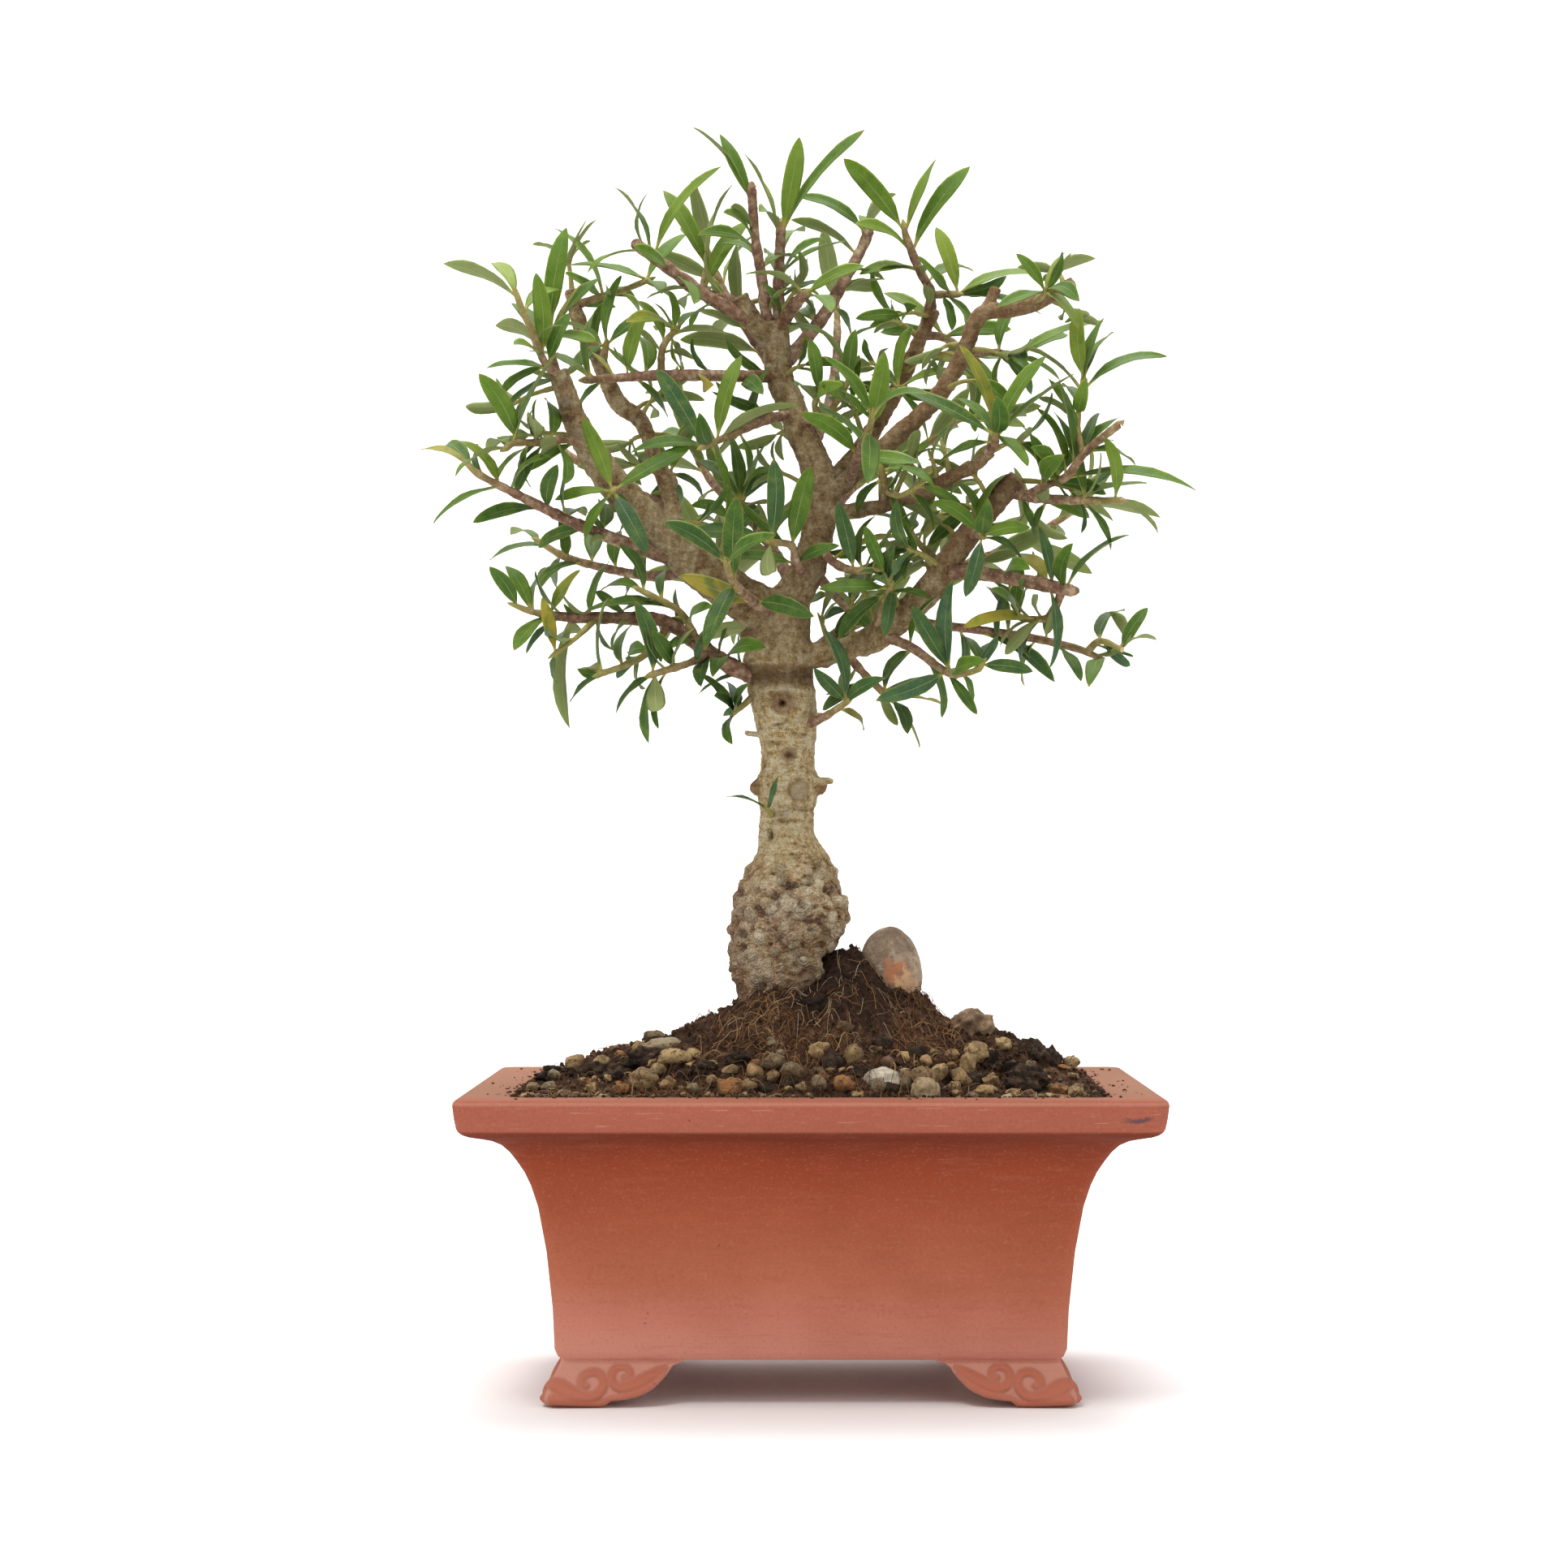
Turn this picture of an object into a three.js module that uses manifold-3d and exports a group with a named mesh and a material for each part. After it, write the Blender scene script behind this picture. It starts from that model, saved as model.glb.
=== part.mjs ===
// A narrow-leaved mock privet bonsai standing in its terracotta pot.
// Millimetres, +Z up, the front of the pot towards -Y, the table at z = 0.
import * as THREE from "three";
import { mergeVertices } from "three/addons/utils/BufferGeometryUtils.js";
import Module from "manifold-3d";

const wasm = await Module();
wasm.setup();

// clearance kept between two pieces that lie against each other
const clearance = 0.3;
// the soil keeps a little further off the trunk, which crosses it at a slant
const soilClearance = 0.4;
// corners closer than this are one corner
const sameCorner = 1e-4;
const cornerGrid = 1e-3;
const shortestEdge = 0.05;

// pot
const rimHalfWidth = 102.5;
const rimHalfDepth = 75;
const rimTop = 91.6;
const rimFlat = 15;
const footHeight = 13.3;
const floorTop = 21;
const drainHoleRadius = 7;
const drainHoleOffset = 36;

// mound of soil
const soilEdgeHeight = 89.6;
const moundRise = 38;
const moundHalfWidth = 87;
const moundHalfDepth = 59;

// leaves
const leafLength = 25;
const leafWidth = 6.6;
const leafThick = 0.9;
const rootDepth = 0.7;

// the tree is measured from the front: a point given as across, height and depth lies on the
// line of sight through the place that it covers on the upright plane through the pot's middle
const sightDistance = 978;
const sightHeight = 161.3;

// a number between 0 and 1 from a seeded run, the same each time
function seededRun(seed) {
  let state = seed >>> 0;
  return () => {
    state = (state + 0x6d2b79f5) >>> 0;
    let mixed = Math.imul(state ^ (state >>> 15), state | 1);
    mixed = (mixed + Math.imul(mixed ^ (mixed >>> 7), mixed | 61)) ^ mixed;
    return ((mixed ^ (mixed >>> 14)) >>> 0) / 4294967296;
  };
}

function seen([across, height, depth]) {
  const reach = 1 + depth / sightDistance;
  return new THREE.Vector3(across * reach, depth, sightHeight + (height - sightHeight) * reach);
}

// solids from corner points and faces, joined and cut
function solidFrom(points, faces) {
  const vertProperties = new Float32Array(points.flatMap((p) => [p.x, p.y, p.z]));
  return new wasm.Manifold(new wasm.Mesh({ numProp: 3, vertProperties, triVerts: new Uint32Array(faces) }));
}

function solidFromGeometry(geometry) {
  geometry.deleteAttribute("normal");
  geometry.deleteAttribute("uv");
  const merged = mergeVertices(geometry, sameCorner);
  const vertProperties = new Float32Array(merged.attributes.position.array);
  const triVerts = new Uint32Array(merged.index.array);
  return new wasm.Manifold(new wasm.Mesh({ numProp: 3, vertProperties, triVerts }));
}

function joined(solids) {
  return solids.reduce((whole, next) => whole.add(next));
}

// the largest body of a solid that a cut may have split
function mainBody(solid) {
  const bodies = solid.decompose();
  return bodies.reduce((best, next) => (next.volume() > best.volume() ? next : best));
}

// rings of points, all of one length, closed with a fan at both ends
function loft(rings) {
  const count = rings[0].length;
  const faces = [];
  for (let r = 0; r + 1 < rings.length; r += 1) {
    for (let i = 0; i < count; i += 1) {
      const j = (i + 1) % count;
      const low = r * count;
      const high = low + count;
      faces.push(low + i, low + j, high + j);
      faces.push(low + i, high + j, high + i);
    }
  }
  const last = (rings.length - 1) * count;
  for (let i = 1; i + 1 < count; i += 1) {
    faces.push(0, i + 1, i);
    faces.push(last, last + i, last + i + 1);
  }
  return solidFrom(rings.flat(), faces);
}

// a stem along points that each carry a radius, with a flat cut at both ends
function stem(points, radii, sides, wobble = () => 1) {
  const rings = [];
  let normal = new THREE.Vector3(0, -1, 0);
  points.forEach((point, i) => {
    const before = points[Math.max(0, i - 1)];
    const after = points[Math.min(points.length - 1, i + 1)];
    const along = after.clone().sub(before).normalize();
    normal = normal.clone().sub(along.clone().multiplyScalar(normal.dot(along))).normalize();
    const side = along.clone().cross(normal);
    const ring = [];
    for (let k = 0; k < sides; k += 1) {
      const turn = (2 * Math.PI * k) / sides;
      const offset = normal.clone().multiplyScalar(Math.cos(turn)).addScaledVector(side, Math.sin(turn));
      ring.push(point.clone().addScaledVector(offset, radii[i] * wobble(offset, point)));
    }
    rings.push(ring);
  });
  return loft(rings);
}

// the places and radii of a measured path
function routeOf(path) {
  return { points: path.map(seen), radii: path.map((place) => place[3]) };
}

// the pot: outline heights and half widths from the feet to the rim
const potOutside = [
  [footHeight, 74],
  [16.5, 75.4],
  [28, 75.9],
  [45.3, 77.6],
  [58.8, 79.9],
  [65.2, 81.8],
  [72.6, 85.5],
  [77.6, 89.5],
  [79.9, 95],
  [81.8, 100.4],
  [83.4, 101.5],
  [90.4, 102.5],
  [rimTop, 101.5],
];
const potInside = [
  [floorTop, 66.5],
  [24, 68.5],
  [45, 71],
  [60, 73.5],
  [70, 77],
  [78, 82],
  [85, 86.5],
  [rimTop, rimHalfWidth - rimFlat],
];

function roundedRing(halfWidth, halfDepth, corner, height) {
  const ring = [];
  const stepsEach = 2;
  const quarters = [[1, 1], [-1, 1], [-1, -1], [1, -1]];
  quarters.forEach(([sx, sy], quarter) => {
    for (let i = 0; i <= stepsEach; i += 1) {
      const turn = ((quarter + i / stepsEach) * Math.PI) / 2;
      const x = sx * (halfWidth - corner) + corner * Math.cos(turn);
      const y = sy * (halfDepth - corner) + corner * Math.sin(turn);
      ring.push(new THREE.Vector3(x, y, height));
    }
  });
  return ring;
}

function potRings(outline, corner, inset = 0, lift = 0) {
  const depthLess = rimHalfWidth - rimHalfDepth;
  return outline.map(([z, half]) => (
    roundedRing(half - inset, half - inset - depthLess, corner, z + lift)
  ));
}

// a corner foot: a cloud bracket on the front and one on the side, toes turned out a little
function bracketOutline(length) {
  const shape = new THREE.Shape();
  const heel = 4.5;
  shape.moveTo(0, footHeight + heel);
  shape.lineTo(0, footHeight);
  shape.lineTo(-3.4, 4.6);
  shape.quadraticCurveTo(-5.6, 1.6, -2.2, 0);
  shape.lineTo(12.2, 0);
  shape.quadraticCurveTo(13, 2.4, 14.6, 2.6);
  shape.quadraticCurveTo(length * 0.72, 3.4, length * 0.86, 8.6);
  shape.quadraticCurveTo(length * 0.93, 12.4, length, footHeight);
  shape.lineTo(length, footHeight + heel);
  shape.closePath();
  return shape;
}

function bracket(length, depth) {
  const geometry = new THREE.ExtrudeGeometry(bracketOutline(length), {
    depth,
    steps: 1,
    bevelEnabled: false,
    curveSegments: 2,
  });
  geometry.rotateX(Math.PI / 2);
  const flare = 0.2;
  const position = geometry.attributes.position;
  for (let i = 0; i < position.count; i += 1) {
    const z = position.getZ(i);
    const out = position.getY(i) < -depth / 2 ? flare * Math.max(0, footHeight - z) : 0;
    position.setY(i, position.getY(i) - out);
  }
  return solidFromGeometry(geometry);
}

function potFeet() {
  const bodyHalfWidth = 73.4;
  const bodyHalfDepth = bodyHalfWidth - (rimHalfWidth - rimHalfDepth);
  const thick = 9;
  const frontLength = 34.5;
  const sideLength = 27;
  const front = bracket(frontLength, thick).translate([-bodyHalfWidth, -bodyHalfDepth + thick, 0]);
  const side = bracket(sideLength, thick)
    .mirror([0, 1, 0])
    .rotate([0, 0, 90])
    .translate([-bodyHalfWidth + thick, -bodyHalfDepth, 0]);
  const foot = front.add(side);
  const left = foot.add(foot.mirror([0, 1, 0]));
  return left.add(left.mirror([1, 0, 0]));
}

function pot() {
  const shell = loft(potRings(potOutside, 4));
  const mouth = [...potInside, [rimTop + 6, rimHalfWidth - rimFlat]];
  const inside = loft(potRings(mouth, 6));
  const hole = new THREE.CylinderGeometry(drainHoleRadius, drainHoleRadius, 30, 10).rotateX(Math.PI / 2);
  const drill = solidFromGeometry(hole).translate([0, 0, floorTop - 10]);
  const holes = drill.translate([drainHoleOffset, 0, 0]).add(drill.translate([-drainHoleOffset, 0, 0]));
  return shell.add(potFeet()).subtract(inside).subtract(holes);
}

// swellings of the soil: across, depth, rise, half breadths across and in depth. They are the root
// ball, the front of the trunk's foot, the right of the stone and both ends of the pot.
const swellings = [
  [13, -1, 11, 15, 13],
  [-2, -15, 7, 22, 13],
  [33, -1, 7, 7, 10],
  [62, 4, 8, 20, 26],
  [-66, 2, 4, 16, 26],
];

// soil height above the table
function soilHeight(x, y) {
  const out = Math.min(1, Math.hypot(x / moundHalfWidth, y / moundHalfDepth));
  const cone = moundRise * (1 - out) ** 1.3;
  const clods = 0.9 * Math.sin(x * 0.31 + 1.3) * Math.sin(y * 0.37 + 0.4)
    + 0.6 * Math.sin(x * 0.83 - y * 0.71) + 0.5 * Math.cos(x * 0.57 + y * 0.93 + 2);
  const swell = swellings.reduce((sum, [across, depth, rise, wide, deep]) => (
    sum + rise * Math.exp(-(((x - across) / wide) ** 2) - (((y - depth) / deep) ** 2))
  ), 0);
  return soilEdgeHeight + cone + swell + clods * Math.min(1, 3 * (1 - out) + 0.35);
}

function soilBlock() {
  const columns = 16;
  const rows = 11;
  const halfX = moundHalfWidth + 3;
  const halfY = moundHalfDepth + 3;
  const points = [];
  const faces = [];
  const bottomHeight = floorTop - 5;
  for (let layer = 0; layer < 2; layer += 1) {
    for (let row = 0; row <= rows; row += 1) {
      for (let column = 0; column <= columns; column += 1) {
        const x = -halfX + (2 * halfX * column) / columns;
        const y = -halfY + (2 * halfY * row) / rows;
        points.push(new THREE.Vector3(x, y, layer === 0 ? bottomHeight : soilHeight(x, y)));
      }
    }
  }
  const wide = columns + 1;
  const top = wide * (rows + 1);
  const quad = (a, b, c, d) => faces.push(a, b, c, a, c, d);
  for (let row = 0; row < rows; row += 1) {
    for (let column = 0; column < columns; column += 1) {
      const at = row * wide + column;
      quad(top + at, top + at + 1, top + at + wide + 1, top + at + wide);
      quad(at, at + wide, at + wide + 1, at + 1);
    }
  }
  for (let column = 0; column < columns; column += 1) {
    const far = rows * wide + column;
    quad(column, column + 1, top + column + 1, top + column);
    quad(far + 1, far, top + far, top + far + 1);
  }
  for (let row = 0; row < rows; row += 1) {
    const left = row * wide;
    const right = left + columns;
    quad(left + wide, left, top + left, top + left + wide);
    quad(right, right + wide, top + right + wide, top + right);
  }
  return solidFrom(points, faces);
}

// a stone with few sides: a squashed ball with its corners moved a little
function stoneSolid({ at, size, turn = 0, seed, detail = 1, rough = 0.12, grow = 0 }) {
  const random = seededRun(seed);
  const geometry = new THREE.IcosahedronGeometry(1, detail);
  geometry.deleteAttribute("normal");
  geometry.deleteAttribute("uv");
  const ball = mergeVertices(geometry, sameCorner);
  const position = ball.attributes.position;
  for (let i = 0; i < position.count; i += 1) {
    const swell = 1 + rough * (random() - 0.5);
    position.setXYZ(
      i,
      position.getX(i) * swell * size[0] * (1 + grow / size[0]),
      position.getY(i) * swell * size[1] * (1 + grow / size[1]),
      position.getZ(i) * swell * size[2] * (1 + grow / size[2]),
    );
  }
  ball.rotateX(0.3 * (random() - 0.5));
  ball.rotateZ(turn);
  ball.translate(at[0], at[1], at[2]);
  return solidFromGeometry(ball);
}

const besideTrunk = { at: [24.4, 3, 124], size: [10.2, 9.4, 15.6], seed: 11, detail: 1, rough: 0.08 };

// the four biggest pebbles lie loose in their own hollows: across, depth, half sizes, turn
const bigPebbles = {
  pebbleWhite: { place: [21, -44], size: [6.1, 4.6, 3.9], turn: 0.2, seed: 21 },
  pebbleTan: { place: [34, -49], size: [5.6, 4.6, 4.6], turn: 0.9, seed: 22 },
  pebbleGrey: { place: [49, -4], size: [7.2, 5.6, 5.2], turn: 0.4, seed: 23 },
  pebbleLong: { place: [-44, -14], size: [7.6, 4.2, 2.9], turn: 0.15, seed: 24 },
};

function pebbleStone({ place: [x, y], size, turn, seed }, grow = 0) {
  const sunk = 0.25;
  const at = [x, y, soilHeight(x, y) + size[2] * sunk];
  return stoneSolid({ at, size, turn, seed, rough: 0.3, grow });
}

// small gravel that sits fast in the soil, thickest along the front
function gravel() {
  const random = seededRun(5);
  const stones = [];
  const taken = Object.values(bigPebbles).map(({ place, size }) => [...place, size[0]]);
  taken.push([24, 3, 12], [-8, 0, 13]);
  let tries = 0;
  while (stones.length < 7 && tries < 400) {
    tries += 1;
    const x = (random() * 2 - 1) * (moundHalfWidth - 8);
    const y = -(moundHalfDepth - 7) + random() ** 1.7 * 2 * (moundHalfDepth - 9);
    const half = 2 + random() * 1.7;
    const free = taken.every(([cx, cy, r]) => Math.hypot(cx - x, cy - y) > r + half + 1.2);
    const inside = Math.hypot(x / moundHalfWidth, y / moundHalfDepth) < 0.97;
    if (free && inside) {
      taken.push([x, y, half]);
      const size = [half * 1.25, half, half * (0.7 + 0.3 * random())];
      const at = [x, y, soilHeight(x, y) + size[2] * 0.3];
      stones.push(stoneSolid({ at, size, turn: random() * 3, seed: tries, detail: 0, rough: 0.3 }));
    }
  }
  return joined(stones);
}

function soil(wood) {
  const opening = [...potInside, [rimTop + 60, rimHalfWidth - rimFlat]];
  const inside = loft(potRings(opening, 5.7, clearance, clearance));
  let body = soilBlock().intersect(inside).add(gravel());
  body = body.subtract(wood);
  body = body.subtract(stoneSolid({ ...besideTrunk, grow: clearance }));
  Object.values(bigPebbles).forEach((pebble) => {
    body = body.subtract(pebbleStone(pebble, clearance));
  });
  return mainBody(body);
}

// wood of the trunk and the thick limbs: across, height, depth, radius
const trunk = [
  [-10.5, 104, 0, 9.2],
  [-10, 112, 0, 11.4],
  [-9.8, 116, 0, 12.4],
  [-9.8, 121, 0, 13.2],
  [-9.9, 125, 0, 13.9],
  [-10.8, 132.5, 0, 14.4],
  [-9.3, 137.5, 0, 16.1],
  [-7, 142.5, 0, 17.8],
  [-6.2, 150, 0, 17],
  [-6, 155, 0, 15.3],
  [-5.8, 160, 0, 12.8],
  [-7, 163.8, 0, 9.7],
  [-7.5, 167.5, 0, 8.7],
  [-7.3, 175, 0, 8.4],
  [-7, 183.5, 0, 10],
  [-7, 188, 0, 8.5],
  [-7, 194, 0, 8.3],
  [-7.3, 200, 0, 9.2],
  [-8.2, 208, 0, 10],
  [-9.3, 214, 0, 10.3],
  [-9.7, 218, 0, 11.4],
  [-9.5, 221.5, 0, 10],
  [-9.3, 230, 0, 9],
  [-9.5, 236, 0, 9.6],
  [-9.6, 241, 0, 8],
];
const limbs = {
  leftArm: [
    [-9.8, 236, 0, 7], [-21, 240.5, -3, 6.9], [-32.2, 248.8, -6, 6.6], [-42.2, 257.5, -9, 6.4],
    [-49.8, 265, -11, 5.3], [-59.8, 275, -14, 5], [-67.2, 285, -17, 4.6], [-73.5, 297.5, -20, 3.6],
    [-77.8, 311, -22, 3.1],
  ],
  leftBack: [
    [-39, 255, -8, 2.6], [-41.5, 262.5, 0, 2.6], [-43.5, 272.5, 8, 2.5], [-48.2, 285, 14, 2.5],
    [-52.2, 295.5, 17, 2.6], [-59.5, 301, 20, 3], [-65.8, 315, 23, 2.6], [-71, 325, 25, 2.5],
    [-73.8, 335.8, 26, 2.4],
  ],
  leader: [
    [-9.6, 236, 0, 7], [-3.5, 245, 0, 5.8], [0.2, 252.5, 0, 5.3], [2.8, 265, 1, 5], [3.2, 275, 2, 5.4],
    [0.2, 285, 3, 4.8], [-3.5, 292.5, 4, 4.6], [-6, 300, 5, 4.4], [-9.2, 307.5, 6, 4.3],
    [-10.2, 315, 6, 4.4], [-10.8, 326, 6, 4],
  ],
  cutKnob: [[-11, 318, 6, 3.4], [-17.5, 326, 4, 3.1], [-22, 334, 3, 2.8]],
  rightBack: [
    [3, 271, 2, 3], [6.8, 277, 5, 3], [15.2, 286.2, 10, 2.8], [25.2, 302.5, 15, 2.6],
    [32.8, 318.8, 19, 2.4], [37.8, 329.5, 21, 2.2],
  ],
  rightFront: [
    [3, 269, 0, 3], [10.2, 276, -4, 2.9], [22.8, 287.5, -7, 2.8], [37.8, 301.2, -10, 2.7],
    [46.5, 315, -12, 2.6], [50.2, 325, -13, 2.5], [54, 329, -13.5, 2.4], [66.5, 330.5, -15, 2.3],
    [81.5, 338.2, -17, 2.2],
  ],
  rightMid: [
    [2.5, 266, 0, 2.6], [8, 267, -5, 2.5], [20.2, 268.8, -10, 2.4], [32.8, 272.5, -15, 2.3],
    [42.8, 277.8, -20, 2.2], [50.2, 281.5, -24, 2], [55.5, 286, -27, 1.9],
  ],
  rightArm: [
    [-7, 222, 0, 4.6], [0.8, 222.4, -3, 4.5], [12.8, 225, -7, 4.4], [25.2, 232.5, -11, 4.4],
    [37.8, 245, -14, 4.4], [42.8, 252.5, -16, 4.1], [50.2, 262.5, -17, 3.8], [57.8, 272, -18, 3.7],
    [64, 277.5, -18, 3.2],
  ],
};
// short pegs and the round bosses that cut twigs left on the trunk
const pegs = [
  [[-7, 197, -2, 1.2], [-20.5, 199.5, -4, 0.8]],
  [[-7, 183, -2, 1.3], [4.5, 184.5, -5, 1.2], [6.8, 184.3, -6, 0.8]],
  [[-7, 202, -2, 1.6], [1.5, 203, -6, 1.6], [3.2, 205, -8, 1.4]],
  [[52, 326, -13, 1.8], [57.2, 336.5, -13, 1.7]],
];
const bosses = [
  { at: [-8.6, 208.7, -8.6], radius: 3.4 },
  { at: [-4, 181.8, -7.6], radius: 3.2 },
  { at: [-16, 182.5, -2], radius: 2.8 },
  { at: [2.2, 183, -2], radius: 3 },
  { at: [-7, 192.5, -7.2], radius: 2.2 },
  { at: [-19, 228.5, -2], radius: 3 },
  { at: [4, 139, -4], radius: 4.4 },
  { at: [2, 146, -9], radius: 4.2 },
  { at: [-19, 141, -6], radius: 4.6 },
  { at: [-9, 138, -13.5], radius: 5 },
  { at: [-20, 125, -5], radius: 4.4 },
  { at: [-2, 128, -8], radius: 4.6 },
  { at: [-12, 152, -13], radius: 3.6 },
  { at: [8, 144, 4], radius: 4.2 },
];

// the swollen foot of the trunk is ribbed and knobbly, the rest nearly plain
function barkWobble(offset, point) {
  const swollen = Math.exp(-(((point.z - 142) / 24) ** 2));
  const around = Math.atan2(offset.y, offset.x);
  const ribs = 0.05 * Math.sin(around * 5 + point.z * 0.35);
  const knobs = 0.035 * Math.sin(around * 3 - point.z * 0.9);
  return 1 + swollen * (ribs + knobs);
}

const trunkSides = 12;
const limbSides = 6;
const twigSides = 4;

function treeWoodPieces(grow) {
  const widen = (radii) => radii.map((r) => r + grow);
  const pieces = [];
  const main = routeOf(trunk);
  pieces.push(stem(main.points, widen(main.radii), trunkSides, barkWobble));
  [...Object.values(limbs), ...pegs].forEach((path) => {
    const { points, radii } = routeOf(path);
    pieces.push(stem(points, widen(radii), limbSides));
  });
  bosses.forEach(({ at, radius }, i) => {
    const centre = seen(at);
    const size = [radius, radius, radius].map((r) => r + grow);
    pieces.push(stoneSolid({ at: centre.toArray(), size, seed: 40 + i, detail: 0, rough: 0.1 }));
  });
  return pieces;
}

function treeWood(grow) {
  return joined(treeWoodPieces(grow));
}

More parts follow.
